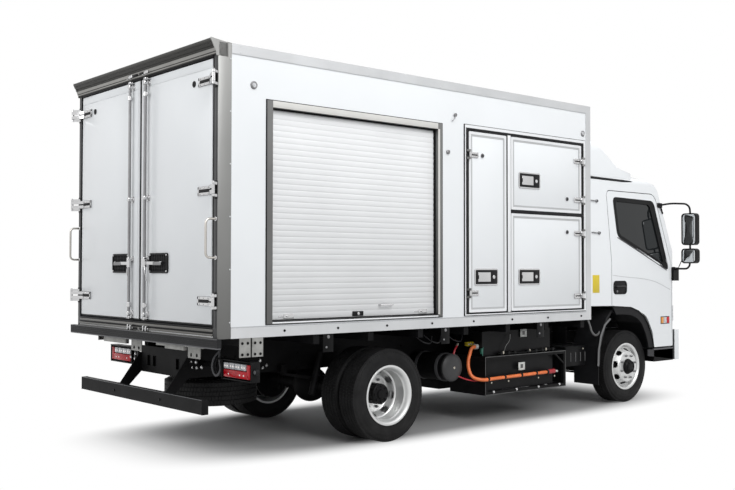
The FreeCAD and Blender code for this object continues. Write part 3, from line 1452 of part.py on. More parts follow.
for thing in doc.Objects:
    faults = [word for word in thing.State if word in ("Invalid", "Error")]
    if faults:
        raise RuntimeError(f"{thing.Name} {thing.Label} is {faults}")
faulty = []
for name, piece in nodes.items():
    shape = piece.Shape
    if shape.isNull() or not shape.isValid() or not shape.Solids:
        faulty.append(name)
if faulty:
    raise RuntimeError(f"no valid solid: {faulty}")

os.makedirs("parts", exist_ok=True)
for name, piece in nodes.items():
    piece.Shape.exportStep(os.path.join("parts", f"{name}.step"))
    print(name, len(piece.Shape.Solids), "solids", round(piece.Shape.Volume / 1e6, 2), "litres")
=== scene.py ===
"""Looks of a refrigerated truck: finishes, fine fittings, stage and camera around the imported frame."""

import logging
import math
from dataclasses import dataclass
from enum import Enum
from typing import Any, Iterable, Mapping, Sequence

import bmesh
import bpy
from mathutils import Matrix, Vector
from mathutils.geometry import tessellate_polygon


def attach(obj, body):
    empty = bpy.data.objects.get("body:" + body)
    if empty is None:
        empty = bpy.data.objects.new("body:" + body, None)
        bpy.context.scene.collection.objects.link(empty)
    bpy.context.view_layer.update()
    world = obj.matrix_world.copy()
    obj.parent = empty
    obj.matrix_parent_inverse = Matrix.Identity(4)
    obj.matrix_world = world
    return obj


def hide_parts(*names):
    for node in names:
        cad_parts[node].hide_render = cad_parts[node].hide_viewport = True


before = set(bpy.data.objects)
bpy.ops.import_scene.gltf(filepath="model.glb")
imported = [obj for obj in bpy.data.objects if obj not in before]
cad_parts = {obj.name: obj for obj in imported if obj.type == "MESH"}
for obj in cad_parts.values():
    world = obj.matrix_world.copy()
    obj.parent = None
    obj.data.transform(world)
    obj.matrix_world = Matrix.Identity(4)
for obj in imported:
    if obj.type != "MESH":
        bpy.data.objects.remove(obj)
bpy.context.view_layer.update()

LOG = logging.getLogger("truck")

Point = Sequence[float]
Flat = tuple[float, float]
Outline = Sequence[Flat]
Tree = bpy.types.NodeTree
Node = bpy.types.Node
Socket = bpy.types.NodeSocket
Place = tuple[Point, Point]

REAR = -3.283
HALF = 1.2255
BODY_LENGTH = 4.565
FRONT = REAR + BODY_LENGTH
CAB = FRONT + 0.235
SIDES = ((1.0, "left"), (-1.0, "right"))
REAR_AXLE, FRONT_AXLE, AXLE_Z = -1.479, 2.274, 0.405
TRACK_FRONT, TRACK_INNER, TRACK_OUTER = 0.862, 0.785, 1.035
REAR_HINGES = (1.260, 2.100, 2.940)
REAR_HINGE_X, REAR_HINGE_Y = REAR - 0.052, HALF + 0.0245
ROD_Y = 0.138
OPENINGS_LOW, OPENINGS_HIGH = 1.094, 2.800
SHUTTER_START, SHUTTER_END = 0.500, 2.312
SHUTTER_LOW, SHUTTER_HIGH = 1.097, 2.771
CORE = 0.0005
TOUCH = 0.001
RIGHT_WAY = (0.0, -1.0, 0.0)


def set_inputs(tree: Tree, node: Node, inputs: Mapping[Any, Any]) -> None:
    """Gives a node's inputs their links or constants.

    Args:
        tree: The node tree.
        node: The node.
        inputs: Linked socket or constant of each input.
    """
    for key, value in inputs.items():
        if isinstance(value, Socket):
            tree.links.new(value, node.inputs[key])
        else:
            node.inputs[key].default_value = value


def add_node(tree: Tree, kind: str, inputs: Mapping[Any, Any] | None = None, **options: Any) -> Node:
    """Adds a node to a tree.

    Args:
        tree: The tree that takes the node.
        kind: Type of the node.
        inputs: Linked socket or constant of each input.
        options: Other properties of the node.

    Returns:
        The node.
    """
    made = tree.nodes.new(kind)
    for name, value in options.items():
        setattr(made, name, value)
    set_inputs(tree, made, inputs or {})
    return made


class Grain(Enum):
    """Way in which a surface's fine structure runs."""

    EVEN = (1.0, 1.0, 1.0)
    ALONG_X = (0.02, 1.0, 1.0)
    ALONG_Y = (1.0, 0.02, 1.0)
    ALONG_Z = (1.0, 1.0, 0.02)


@dataclass(frozen=True)
class Finish:
    """One surface finish, turned into a node material on first use."""

    name: str
    colour: tuple[float, float, float]
    roughness: float
    metallic: float = 0.0
    grain: Grain = Grain.EVEN
    fineness: float = 60.0
    bump: float = 0.04
    shade: float = 0.05
    patch: float = 3.0
    coat: float = 0.0
    soft_edge: float = 0.0
    dust: float = 0.0
    opacity: float = 1.0
    specular: float = 0.5
    # Share of painted shade that darkens the colour towards the bottom, from 3.2 m down to 0.95 m.
    painted_shade_low: float = 0.0

    def material(self) -> bpy.types.Material:
        """Returns this finish's material.

        Returns:
            The node material, made once and kept under the finish's name.
        """
        title = f"{self.name}_finish"
        known = bpy.data.materials.get(title)
        if known:
            return known
        made = bpy.data.materials.new(title)
        made.use_nodes = True
        tree = made.node_tree
        place = add_node(tree, "ShaderNodeTexCoord").outputs["Object"]
        fine = self._noise(tree, place, self.fineness, self.grain, 4.0)
        broad = self._noise(tree, place, self.patch, Grain.EVEN, 3.0)
        ramp = add_node(tree, "ShaderNodeValToRGB", {"Fac": broad})
        for stop, position, factor in zip(ramp.color_ramp.elements, (0.35, 0.65), (-self.shade, self.shade)):
            stop.position = position
            stop.color = [min(1.0, part * (1.0 + factor)) for part in self.colour] + [1.0]
        colour = ramp.outputs["Color"]
        if self.dust > 0.0:
            colour = self._by_height(tree, place, colour, (0.9, 0.0), self.dust, (0.16, 0.145, 0.125, 1.0), broad)
        # Painted shade: a near-black tint blended in towards the bottom.
        if self.painted_shade_low > 0.0:
            colour = self._by_height(tree, place, colour, (3.2, 0.95), self.painted_shade_low, (0.02, 0.02, 0.018, 1.0))
        spread = add_node(tree, "ShaderNodeMapRange", {"To Min": max(0.02, self.roughness * 0.8), "Value": fine,
                                                       "To Max": min(1.0, self.roughness * 1.25)})
        relief = add_node(tree, "ShaderNodeBump", {"Strength": self.bump, "Distance": 0.002, "Height": fine})
        if self.soft_edge > 0.0:
            rounding = add_node(tree, "ShaderNodeBevel", {"Radius": self.soft_edge}, samples=4)
            set_inputs(tree, relief, {"Normal": rounding.outputs["Normal"]})
        set_inputs(tree, tree.nodes["Principled BSDF"], {
            "Base Color": colour, "Roughness": spread.outputs["Result"], "Normal": relief.outputs["Normal"],
            "Metallic": self.metallic, "Coat Weight": self.coat, "Coat Roughness": 0.08,
            "Specular IOR Level": self.specular, "Alpha": self.opacity})
        return made

    @staticmethod
    def _noise(tree: Tree, place: Socket, scale: float, grain: Grain, detail: float) -> Socket:
        """Adds a noise on the piece's own coordinates.

        Args:
            tree: The material's nodes.
            place: The coordinates.
            scale: Grains per metre.
            grain: Way in which it is stretched.
            detail: Levels of finer noise.

        Returns:
            The noise's socket.
        """
        mapping = add_node(tree, "ShaderNodeMapping", {"Scale": grain.value, "Vector": place})
        return add_node(tree, "ShaderNodeTexNoise", {"Scale": scale, "Detail": detail,
                                                     "Vector": mapping.outputs["Vector"]}).outputs["Fac"]

    @staticmethod
    def _by_height(tree: Tree, place: Socket, colour: Socket, span: Flat, share: float, tint: Point,
                   noise: Socket | None = None) -> Socket:
        """Blends a tint in from a height downwards, for dust and for painted shade near the ground.

        Args:
            tree: The material's nodes.
            place: The coordinates.
            colour: The colour before.
            span: Height where the tint starts and where it is full.
            share: Share of the full tint.
            tint: The tint's colour.
            noise: Noise that breaks the tint up, where it isn't even.

        Returns:
            The tinted colour's socket.
        """
        split = add_node(tree, "ShaderNodeSeparateXYZ", {"Vector": place})
        factor = add_node(tree, "ShaderNodeMapRange", {"From Min": span[0], "From Max": span[1], "To Max": share,
                                                       "Value": split.outputs["Z"]}).outputs["Result"]
        if noise is not None:
            factor = add_node(tree, "ShaderNodeMath", {0: factor, 1: noise}, operation="MULTIPLY").outputs["Value"]
        mix = add_node(tree, "ShaderNodeMix", {"Factor": factor, "A": colour, "B": tint}, data_type="RGBA")
        return mix.outputs["Result"]


# Both whites carry a slight blue that is painted, the cool tint of shade; the panel white also takes painted shade
# towards the bottom.
WHITE_PANEL = Finish("white_panel", (0.875, 0.895, 0.908), 0.32, fineness=90.0, bump=0.05, shade=0.015, patch=1.2,
                     coat=0.3, soft_edge=0.002, painted_shade_low=0.11)
WHITE_CAB = Finish("white_cab", (0.875, 0.895, 0.908), 0.22, fineness=160.0, bump=0.03, shade=0.012, patch=1.0,
                   coat=0.6, soft_edge=0.003)
STAINLESS = Finish("stainless", (0.42, 0.41, 0.39), 0.34, metallic=1.0, grain=Grain.ALONG_Z, fineness=500.0,
                   bump=0.03, shade=0.10, patch=1.4, soft_edge=0.002)
STAINLESS_CROSS = Finish("stainless_cross", (0.15, 0.147, 0.140), 0.38, metallic=1.0, grain=Grain.ALONG_Y,
                         fineness=500.0, bump=0.03, shade=0.12, patch=1.6, soft_edge=0.0015)
CHROME = Finish("bright_steel", (0.57, 0.57, 0.575), 0.17, metallic=1.0, fineness=260.0, bump=0.02, shade=0.06,
                soft_edge=0.001)
ALUMINIUM = Finish("aluminium_profile", (0.60, 0.61, 0.62), 0.38, metallic=0.75, grain=Grain.ALONG_X,
                   fineness=380.0, bump=0.03, shade=0.05, soft_edge=0.0015)
# The uprights and the slats get darker towards the bottom: painted shade.
ALUMINIUM_UP = Finish("aluminium_upright", (0.36, 0.36, 0.35), 0.42, metallic=0.40, grain=Grain.ALONG_Z,
                      fineness=380.0, bump=0.03, shade=0.10, patch=0.9, soft_edge=0.0015, painted_shade_low=0.62)
SLAT = Finish("slat_lacquer", (0.93, 0.935, 0.94), 0.34, grain=Grain.ALONG_X, fineness=300.0, painted_shade_low=0.34,
              bump=0.02, shade=0.03, patch=1.5)
SEAL = Finish("door_seal", (0.014, 0.014, 0.015), 0.6, fineness=300.0, bump=0.12, shade=0.2, specular=0.15)
RUBBER = Finish("buffer_rubber", (0.017, 0.017, 0.018), 0.55, fineness=220.0, bump=0.2, shade=0.25, dust=0.05,
                specular=0.15)
TYRE = Finish("tyre_rubber", (0.012, 0.012, 0.0125), 0.6, fineness=190.0, bump=0.25, shade=0.22, patch=9.0,
              dust=0.05, specular=0.12)
WHEEL = Finish("wheel_silver", (0.66, 0.665, 0.66), 0.34, metallic=0.60, fineness=160.0, bump=0.004, shade=0.05,
               soft_edge=0.002)
BLACK_STEEL = Finish("chassis_black", (0.006, 0.006, 0.0065), 0.5, fineness=140.0, bump=0.12, shade=0.35,
                     patch=5.0, soft_edge=0.002, dust=0.03, specular=0.08)
BLACK_PAINT = Finish("black_paint", (0.007, 0.007, 0.0075), 0.35, fineness=140.0, bump=0.06, shade=0.25,
                     patch=4.0, soft_edge=0.002, specular=0.10)
CAST = Finish("cast_black", (0.008, 0.008, 0.0085), 0.6, fineness=110.0, bump=0.4, shade=0.35, patch=7.0,
              soft_edge=0.002, dust=0.04, specular=0.08)
PLASTIC = Finish("moulded_black", (0.011, 0.011, 0.012), 0.5, fineness=420.0, bump=0.15, shade=0.12,
                 soft_edge=0.0015, specular=0.14)
GREY_PLASTIC = Finish("moulded_grey", (0.10, 0.10, 0.105), 0.55, fineness=420.0, bump=0.15, shade=0.1,
                      soft_edge=0.002)
FABRIC = Finish("seat_cloth", (0.035, 0.036, 0.04), 0.9, fineness=700.0, bump=0.5, shade=0.25, patch=30.0)
ORANGE = Finish("orange_sheath", (0.86, 0.20, 0.055), 0.42, fineness=300.0, bump=0.06, shade=0.12, patch=14.0)
RED_PIPE = Finish("red_pipe", (0.42, 0.02, 0.03), 0.4, fineness=300.0, bump=0.05, shade=0.12)
GREEN_WIRE = Finish("green_wire", (0.008, 0.11, 0.075), 0.4, fineness=300.0, bump=0.05, shade=0.15)
YELLOW = Finish("yellow_marker", (0.72, 0.55, 0.03), 0.4, fineness=500.0, bump=0.12, shade=0.06)
LABEL = Finish("blank_label", (0.62, 0.63, 0.60), 0.45, fineness=60.0, bump=0.02, shade=0.12, patch=40.0)
GLASS = Finish("cab_glass", (0.012, 0.014, 0.015), 0.03, fineness=20.0, bump=0.002, shade=0.03, opacity=0.97,
               specular=0.3)
MIRROR = Finish("mirror_glass", (0.60, 0.62, 0.63), 0.03, metallic=1.0, fineness=20.0, bump=0.002, shade=0.02)
LAMP_RED = Finish("lamp_red", (0.58, 0.002, 0.012), 0.25, fineness=120.0, bump=0.15, shade=0.2, patch=25.0,
                  coat=0.15, specular=0.25)
LAMP_CLEAR = Finish("lamp_clear", (0.62, 0.63, 0.65), 0.1, fineness=120.0, bump=0.3, shade=0.25, patch=40.0,
                    coat=0.8)
LAMP_AMBER = Finish("lamp_amber", (0.80, 0.30, 0.03), 0.12, fineness=120.0, bump=0.3, shade=0.2, patch=25.0,
                    coat=0.8)
COPPER = Finish("connector_metal", (0.45, 0.42, 0.36), 0.35, metallic=1.0, fineness=300.0, bump=0.05, shade=0.1)
EDGE_STRIP = Finish("edge_strip", (0.84, 0.85, 0.86), 0.3, fineness=90.0, bump=0.03, shade=0.01, coat=0.3,
                    soft_edge=0.002)
DULL_ROD = Finish("dull_steel", (0.22, 0.22, 0.225), 0.42, metallic=0.9, fineness=260.0, bump=0.05, shade=0.12,
                  soft_edge=0.001)
GRAB = Finish("grab_rail_steel", (0.46, 0.44, 0.41), 0.3, metallic=1.0, fineness=220.0, bump=0.03, shade=0.08,
              soft_edge=0.001)
# Painted shade: a mid-grey band drawn for the shade along creases, grooves and panel joints.
CREASE_SHADE = Finish("panel_shadow", (0.52, 0.53, 0.54), 0.5, fineness=200.0, bump=0.02, shade=0.04, specular=0.2)
HEAD_LIGHT = Finish("head_light", (0.66, 0.65, 0.62), 0.42, fineness=300.0, bump=0.02, shade=0.03, specular=0.3)
HEADER_DARK = Finish("header_dark", (0.028, 0.027, 0.024), 0.42, metallic=0.5, grain=Grain.ALONG_Y, fineness=420.0,
                     bump=0.03, shade=0.15, patch=2.0, soft_edge=0.0015)
HEADER_BAND = Finish("header_band", (0.32, 0.315, 0.30), 0.40, metallic=0.7, grain=Grain.ALONG_Y, fineness=420.0,
                     bump=0.03, shade=0.22, patch=1.1, soft_edge=0.0015)
GASKET = Finish("post_gasket", (0.085, 0.085, 0.086), 0.5, grain=Grain.ALONG_Z, fineness=260.0, bump=0.06,
                shade=0.15, specular=0.2)
EDGE_SHADE = Finish("edge_shade", (0.50, 0.505, 0.51), 0.42, fineness=200.0, bump=0.02, shade=0.03, specular=0.3)
SATIN = Finish("satin_strip", (0.14, 0.14, 0.142), 0.45, fineness=300.0, bump=0.05, shade=0.12, soft_edge=0.001)
# The side frames get darker towards the bottom: painted shade.
FRAME_STEEL = Finish("frame_steel", (0.24, 0.24, 0.237), 0.36, metallic=0.85, grain=Grain.ALONG_Z, fineness=380.0,
                     bump=0.03, shade=0.16, patch=0.9, soft_edge=0.0015, painted_shade_low=0.55)
GALVANISED = Finish("galvanised", (0.30, 0.30, 0.29), 0.48, metallic=0.8, fineness=60.0, bump=0.06, shade=0.14,
                    patch=12.0, soft_edge=0.0015)
# A thin light grey metal; on the battery frames' edges its strips are painted highlights.
GREY_METAL_AND_HIGHLIGHT = Finish("worn_edge", (0.10, 0.10, 0.10), 0.45, metallic=0.6, fineness=200.0, bump=0.08, shade=0.3,
                   patch=8.0)
TANK = Finish("tank_enamel", (0.045, 0.045, 0.046), 0.45, fineness=120.0, bump=0.06, shade=0.15, specular=0.3)
HOSE = Finish("grey_hose", (0.13, 0.13, 0.13), 0.5, fineness=300.0, bump=0.1, shade=0.15)
LAMP_SPARK = Finish("lamp_reflector", (0.80, 0.74, 0.72), 0.12, metallic=0.9, fineness=120.0, bump=0.2, shade=0.1,
                    patch=40.0, coat=0.6)
WORN_STEP = Finish("step_face", (0.035, 0.035, 0.037), 0.5, fineness=200.0, bump=0.1, shade=0.2, specular=0.2)


def circle(radius: float, height: float, sides: int) -> list[Point]:
    """Returns the points of a circle round Z at a height."""
    angles = [2 * math.pi * i / sides for i in range(sides)]
    return [(radius * math.cos(a), radius * math.sin(a), height) for a in angles]


def turned(points: Iterable[Point], matrix: Matrix) -> list[Vector]:
    """Returns the points moved by a matrix."""
    return [matrix @ Vector(point) for point in points]


def facing(axis: Point) -> Matrix:
    """Returns the turn that takes +Z to a direction."""
    return Vector((0.0, 0.0, 1.0)).rotation_difference(Vector(axis)).to_matrix().to_4x4()


def lifted(axis: str, u: float, v: float, w: float) -> Vector:
    """Returns the point at (u, v) in the plane across an axis and at w along it."""
    return Vector({"X": (w, u, v), "Y": (u, w, v), "Z": (u, v, w)}[axis])


def arc(centre: Flat, radius: float, start: float, end: float, steps: int) -> list[Flat]:
    """Points of an arc in a plane.

    Args:
        centre: The arc's centre.
        radius: Its radius.
        start: First angle in degrees.
        end: Last angle in degrees.
        steps: Number of straight steps.

    Returns:
        The points from start to end.
    """
    angles = [math.radians(start + (end - start) * i / steps) for i in range(steps + 1)]
    return [(centre[0] + radius * math.cos(a), centre[1] + radius * math.sin(a)) for a in angles]


def rounded_rectangle(low: Flat, high: Flat, radius: float, steps: int = 4) -> list[Flat]:
    """Outline of a rectangle with round corners, counter-clockwise.

    Args:
        low: Lowest corner.
        high: Highest corner.
        radius: Corner radius.
        steps: Steps of each corner.

    Returns:
        The outline's points.
    """
    (x0, y0), (x1, y1) = low, high
    r = min(radius, (x1 - x0) / 2 - 1e-5, (y1 - y0) / 2 - 1e-5)
    corners = ((x1 - r, y0 + r), (x1 - r, y1 - r), (x0 + r, y1 - r), (x0 + r, y0 + r))
    return [p for i, corner in enumerate(corners) for p in arc(corner, r, 90 * i - 90, 90 * i, steps)]


def bend(before: Vector, here: Vector, after: Vector, radius: float, steps: int) -> list[Vector]:
    """Points of a rounded corner.

    Args:
        before: Corner before it.
        here: The corner.
        after: Corner after it.
        radius: How far the rounding reaches along each side.
        steps: Steps of the rounding.

    Returns:
        The points.
    """
    one, two = before - here, after - here
    reach = min(radius, one.length * 0.45, two.length * 0.45)
    enter, leave = here + one.normalized() * reach, here + two.normalized() * reach
    shares = [i / steps for i in range(steps + 1)]
    return [enter * (1 - t) ** 2 + here * 2 * t * (1 - t) + leave * t ** 2 for t in shares]


def bent(points: Sequence[Point], radius: float) -> list[Vector]:
    """Returns a path whose inner corners are rounded by a radius.

    Args:
        points: Corners of the path.
        radius: Radius of the corners.

    Returns:
        The rounded path.
    """
    corners = [Vector(p) for p in points]
    path = [corners[0]]
    for before, here, after in zip(corners, corners[1:], corners[2:]):
        path += bend(before, here, after, radius, 6)
    return path + [corners[-1]]


def round_loop(points: Outline, radius: float) -> list[Flat]:
    """Returns a closed outline with rounded corners.

    Args:
        points: Corners of the outline.
        radius: Radius of the corners.

    Returns:
        The rounded outline.
    """
    corners = [Vector(p) for p in points]
    made = []
    for i, here in enumerate(corners):
        made += bend(corners[i - 1], here, corners[(i + 1) % len(corners)], radius, 5)
    return [(p.x, p.y) for p in made]


def quad_inset(points: Outline, distance: float) -> list[Flat]:
    """Moves the edges of a counter-clockwise outline inwards.

    Args:
        points: Corners of the outline.
        distance: How far each edge moves.

    Returns:
        The new corners.
    """
    lines = []
    for i in range(len(points)):
        a, b = Vector(points[i]), Vector(points[(i + 1) % len(points)])
        along = (b - a).normalized()
        lines.append((a + Vector((-along.y, along.x)) * distance, along))
    corners = []
    for i in range(len(points)):
        (p, d), (q, e) = lines[i - 1], lines[i]
        t = ((q.x - p.x) * e.y - (q.y - p.y) * e.x) / (d.x * e.y - d.y * e.x)
        corners.append((p.x + d.x * t, p.y + d.y * t))
    return corners


def evened(path: Outline, count: int) -> list[Flat]:
    """Spreads points evenly along an open path.

    Args:
        path: Corners of the path.
        count: Number of points wanted.

    Returns:
        The evenly spread points.
    """
    line = [Vector(p) for p in path]
    lengths = [0.0]
    for a, b in zip(line, line[1:]):
        lengths.append(lengths[-1] + (b - a).length)
    made = []
    for i in range(count):
        want = lengths[-1] * i / (count - 1)
        k = max(j for j in range(len(line) - 1) if lengths[j] <= want + 1e-9)
        share = (want - lengths[k]) / max(1e-9, lengths[k + 1] - lengths[k])
        point = line[k].lerp(line[k + 1], min(1.0, share))
        made.append((point.x, point.y))
    return made


class Piece:
    """Gathers closed forms and makes one object of them, which rides on a body."""

    def __init__(self, name: str, *finishes: Finish) -> None:
        """Starts an empty piece.

        Args:
            name: The object's name.
            finishes: Its finishes; forms name one by its place in this list.
        """
        self.name = name
        self.finishes = finishes
        self.points: list[Vector] = []
        self.faces: list[tuple[int, ...]] = []
        self.slots: list[int] = []

    def add(self, points: Iterable[Point], faces: Iterable[Sequence[int]], finish: int = 0) -> None:
        """Adds points and the faces between them.

        Args:
            points: Points of the form.
            faces: Indices of each face's points.
            finish: Place of its finish.
        """
        start = len(self.points)
        self.points.extend(Vector(p) for p in points)
        for face in faces:
            self.faces.append(tuple(i + start for i in face))
            self.slots.append(finish)

    def _from_bmesh(self, mesh: bmesh.types.BMesh, finish: int) -> None:
        """Takes over a bmesh's points and faces, then frees it.

        Args:
            mesh: The bmesh.
            finish: Place of its finish.
        """
        mesh.verts.index_update()
        self.add([v.co.copy() for v in mesh.verts], [[v.index for v in f.verts] for f in mesh.faces], finish)
        mesh.free()

    def block(self, low: Point, high: Point, finish: int = 0, bevel: float = 0.0) -> None:
        """Adds a box with softened edges.

        Args:
            low: One corner.
            high: The opposite corner.
            finish: Place of its finish.
            bevel: Width of the softened edge.
        """
        a, b = Vector(low), Vector(high)
        a, b = Vector(map(min, a, b)), Vector(map(max, a, b))
        mesh = bmesh.new()
        bmesh.ops.create_cube(mesh, size=1.0, matrix=Matrix.Translation((a + b) / 2) @ Matrix.Diagonal((*(b - a), 1.0)))
        if bevel > 0.0:
            width = min(bevel, min(b - a) * 0.45)
            bmesh.ops.bevel(mesh, geom=mesh.edges[:], offset=width, segments=2, profile=0.5, affect="EDGES")
        self._from_bmesh(mesh, finish)

    def blocks(self, rows: Iterable[Sequence[float]], x: float = 0.0, side: float = 1.0) -> None:
        """Adds boxes given as rows.

        Args:
            rows: Two places along X, two across, two heights, finish and softened edge of each box.
            x: Place from which the rows count along X.
            side: One for the left, minus one for the right.
        """
        for x0, x1, y0, y1, z0, z1, finish, bevel in rows:
            self.block((x + x0, side * y0, z0), (x + x1, side * y1, z1), finish, bevel)

    def rings(self, rings: Sequence[Sequence[Point]], finish: int = 0, looped: bool = False) -> None:
        """Adds a skin through rings of equal point count, closed at its ends.

        Args:
            rings: The rings, each a closed loop.
            finish: Place of its finish.
            looped: True when the last ring joins the first.
        """
        count = len(rings[0])
        faces = []
        for i in range(len(rings) if looped else len(rings) - 1):
            here, there = i * count, (i + 1) % len(rings) * count
            for j in range(count):
                k = (j + 1) % count
                faces.append((here + j, here + k, there + k, there + j))
        if not looped:
            faces.append(tuple(reversed(range(count))))
            faces.append(tuple(range((len(rings) - 1) * count, len(rings) * count)))
        self.add([p for ring in rings for p in ring], faces, finish)

    def lathe(self, profile: Outline, centre: Point, axis: Point, sides: int = 48, finish: int = 0) -> None:
        """Adds a turned form.

        Args:
            profile: Closed outline of radius and place along the axis.
            centre: Origin of the axis.
            axis: Direction of the axis.
            sides: Steps round the axis.
            finish: Place of its finish.
        """
        place = Matrix.Translation(Vector(centre)) @ facing(axis)
        angles = [2 * math.pi * i / sides for i in range(sides)]
        self.rings([turned([(r * math.cos(a), r * math.sin(a), h) for r, h in profile], place) for a in angles],
                   finish, looped=True)

    def rod(self, start: Point, end: Point, radius: float, sides: int = 20, finish: int = 0,
            chamfer: float = 0.0) -> None:
        """Adds a round bar between two points.

        Args:
            start: Centre of the first end.
            end: Centre of the last end.
            radius: Its radius.
            sides: Steps round the bar.
            finish: Place of its finish.
            chamfer: Width of the softened rims.
        """
        a, b = Vector(start), Vector(end)
        length = (b - a).length
        place = Matrix.Translation(a) @ facing(b - a)
        cut = min(chamfer, length * 0.4, radius * 0.6)
        levels = [(radius, 0.0), (radius, length)]
        if cut > 0:
            levels = [(radius - cut, 0.0), (radius, cut), (radius, length - cut), (radius - cut, length)]
        self.rings([turned(circle(r, h, sides), place) for r, h in levels], finish)

    def rods(self, rows: Iterable[Sequence[float]], x: float = 0.0, side: float = 1.0) -> None:
        """Adds round bars given as rows.

        Args:
            rows: Place along X, across and height of both ends, then radius, steps, finish and softened rim.
            x: Place from which the rows count along X.
            side: One for the left, minus one for the right.
        """
        for x0, y0, z0, x1, y1, z1, radius, sides, finish, chamfer in rows:
            self.rod((x + x0, side * y0, z0), (x + x1, side * y1, z1), radius, sides, finish, chamfer)

    def tube(self, path: Sequence[Point], radius: float, sides: int = 12, finish: int = 0) -> None:
        """Adds a tube along a path.

        Args:
            path: Centre line.
            radius: Tube radius.
            sides: Steps round the tube.
            finish: Place of its finish.
        """
        line = [Vector(p) for p in path]
        ends = zip([line[0]] + line[:-1], line[1:] + [line[-1]])
        headings = [(ahead - behind).normalized() for behind, ahead in ends]
        side = headings[0].orthogonal().normalized()
        angles = [2 * math.pi * i / sides for i in range(sides)]
        rings = []
        for centre, heading in zip(line, headings):
            side = (side - heading * side.dot(heading)).normalized()
            other = heading.cross(side)
            rings.append([centre + side * radius * math.cos(t) + other * radius * math.sin(t) for t in angles])
        self.rings(rings, finish)

    def pipe(self, points: Sequence[Point], bending: float, radius: float, sides: int, finish: int = 0,
             x: float = 0.0, side: float = 1.0) -> None:
        """Adds a tube with rounded corners.

        Args:
            points: Corners of its centre line.
            bending: Reach of each bend.
            radius: Tube radius.
            sides: Steps round the tube.
            finish: Place of its finish.
            x: Place from which the corners count along X.
            side: One for the left, minus one for the right.
        """
        self.tube(bent([(x + u, side * v, w) for u, v, w in points], bending), radius, sides, finish)

    def prism(self, outline: Outline, axis: str, low: float, high: float, finish: int = 0) -> None:
        """Adds an outline pushed along an axis.

        Args:
            outline: Points in the plane across the axis, in X, Y, Z order.
            axis: Letter of the axis.
            low: Start along it.
            high: End along it.
            finish: Place of its finish.
        """
        mesh = bmesh.new()
        first = [mesh.verts.new(lifted(axis, u, v, low)) for u, v in outline]
        last = [mesh.verts.new(lifted(axis, u, v, high)) for u, v in outline]
        mesh.faces.new(first)
        mesh.faces.new(last[::-1])
        for i in range(len(outline)):
            k = (i + 1) % len(outline)
            mesh.faces.new((first[i], last[i], last[k], first[k]))
        bmesh.ops.recalc_face_normals(mesh, faces=mesh.faces[:])
        self._from_bmesh(mesh, finish)

    def frame(self, axis: str, low: Flat, high: Flat, inset: Sequence[float], near: float, far: float,
              radius: float, inner_radius: float, finish: int = 0) -> None:
        """Adds a flat frame with a rectangular opening.

        Args:
            axis: Letter of the axis through the opening.
            low: Outer lowest corner in the frame's plane.
            high: Outer highest corner.
            inset: Width of its bars: one, one for each direction, or one for each side from the lowest on.
            near: Start along the axis.
            far: End along the axis.
            radius: Outer corner radius.
            inner_radius: Opening's corner radius.
            finish: Place of its finish.
        """
        u0, v0, u1, v1 = (tuple(inset) * 4)[:4]
        outer = rounded_rectangle(low, high, radius)
        inner = rounded_rectangle((low[0] + u0, low[1] + v0), (high[0] - u1, high[1] - v1), inner_radius)
        levels = ((outer, near), (outer, far), (inner, far), (inner, near))
        self.rings([[lifted(axis, u, v, w) for u, v in outline] for outline, w in levels], finish, looped=True)

    def mesh(self) -> bpy.types.Mesh:
        """Returns the gathered forms as a mesh without finishes.

        Returns:
            The mesh.
        """
        made = bpy.data.meshes.new(self.name)
        made.from_pydata([tuple(p) for p in self.points], [], self.faces)
        return made

    def object(self, body: str, angle: float = 35.0) -> bpy.types.Object:
        """Makes the object and lets it ride on its body.

        Args:
            body: Name of the body.
            angle: Edges sharper than this, in degrees, stay sharp.

        Returns:
            The finished object.
        """
        mesh = self.mesh()
        for finish in self.finishes:
            mesh.materials.append(finish.material())
        mesh.polygons.foreach_set("material_index", self.slots)
        work = bmesh.new()
        work.from_mesh(mesh)
        bmesh.ops.recalc_face_normals(work, faces=work.faces[:])
        work.to_mesh(mesh)
        work.free()
        return place_mesh(self.name, mesh, body, angle)


def place_mesh(name: str, mesh: bpy.types.Mesh, body: str, angle: float) -> bpy.types.Object:
    """Turns a mesh into a smooth-shaded object that rides on a body.

    Args:
        name: The object's name.
        mesh: Its finished mesh.
        body: Name of the body.
        angle: Edges sharper than this, in degrees, stay sharp.

    Returns:
        The object.
    """
    mesh.polygons.foreach_set("use_smooth", [True] * len(mesh.polygons))
    mesh.set_sharp_from_angle(angle=math.radians(angle))
    made = bpy.data.objects.new(name, mesh)
    bpy.context.scene.collection.objects.link(made)
    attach(made, body)
    LOG.info("made %s with %d faces", name, len(mesh.polygons))
    return made


def smooth_copy(node: str, finish: Finish, body: str) -> None:
    """Stands a merged, smooth-shaded copy in for a curved node.

    Args:
        node: Name of the node.
        finish: Its finish.
        body: Name of the body.
    """
    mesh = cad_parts[node].data.copy()
    work = bmesh.new()
    work.from_mesh(mesh)
    bmesh.ops.remove_doubles(work, verts=work.verts[:], dist=1e-5)
    bmesh.ops.dissolve_degenerate(work, dist=1e-6, edges=work.edges[:])
    work.to_mesh(mesh)
    work.free()
    if mesh.has_custom_normals:
        mesh.attributes.remove(mesh.attributes["custom_normal"])
    mesh.materials.clear()
    mesh.materials.append(finish.material())
    made = place_mesh(f"{node}_skin", mesh, body, 30.0)
    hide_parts(node)


def dress(finish: Finish, *nodes: str) -> None:
    """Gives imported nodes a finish.

    Args:
        finish: The finish.
        nodes: Names of the nodes.
    """
    for name in nodes:
        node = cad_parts[name]
        if not node.material_slots:
            node.data.materials.append(None)
        for slot in node.material_slots:
            slot.material = finish.material()


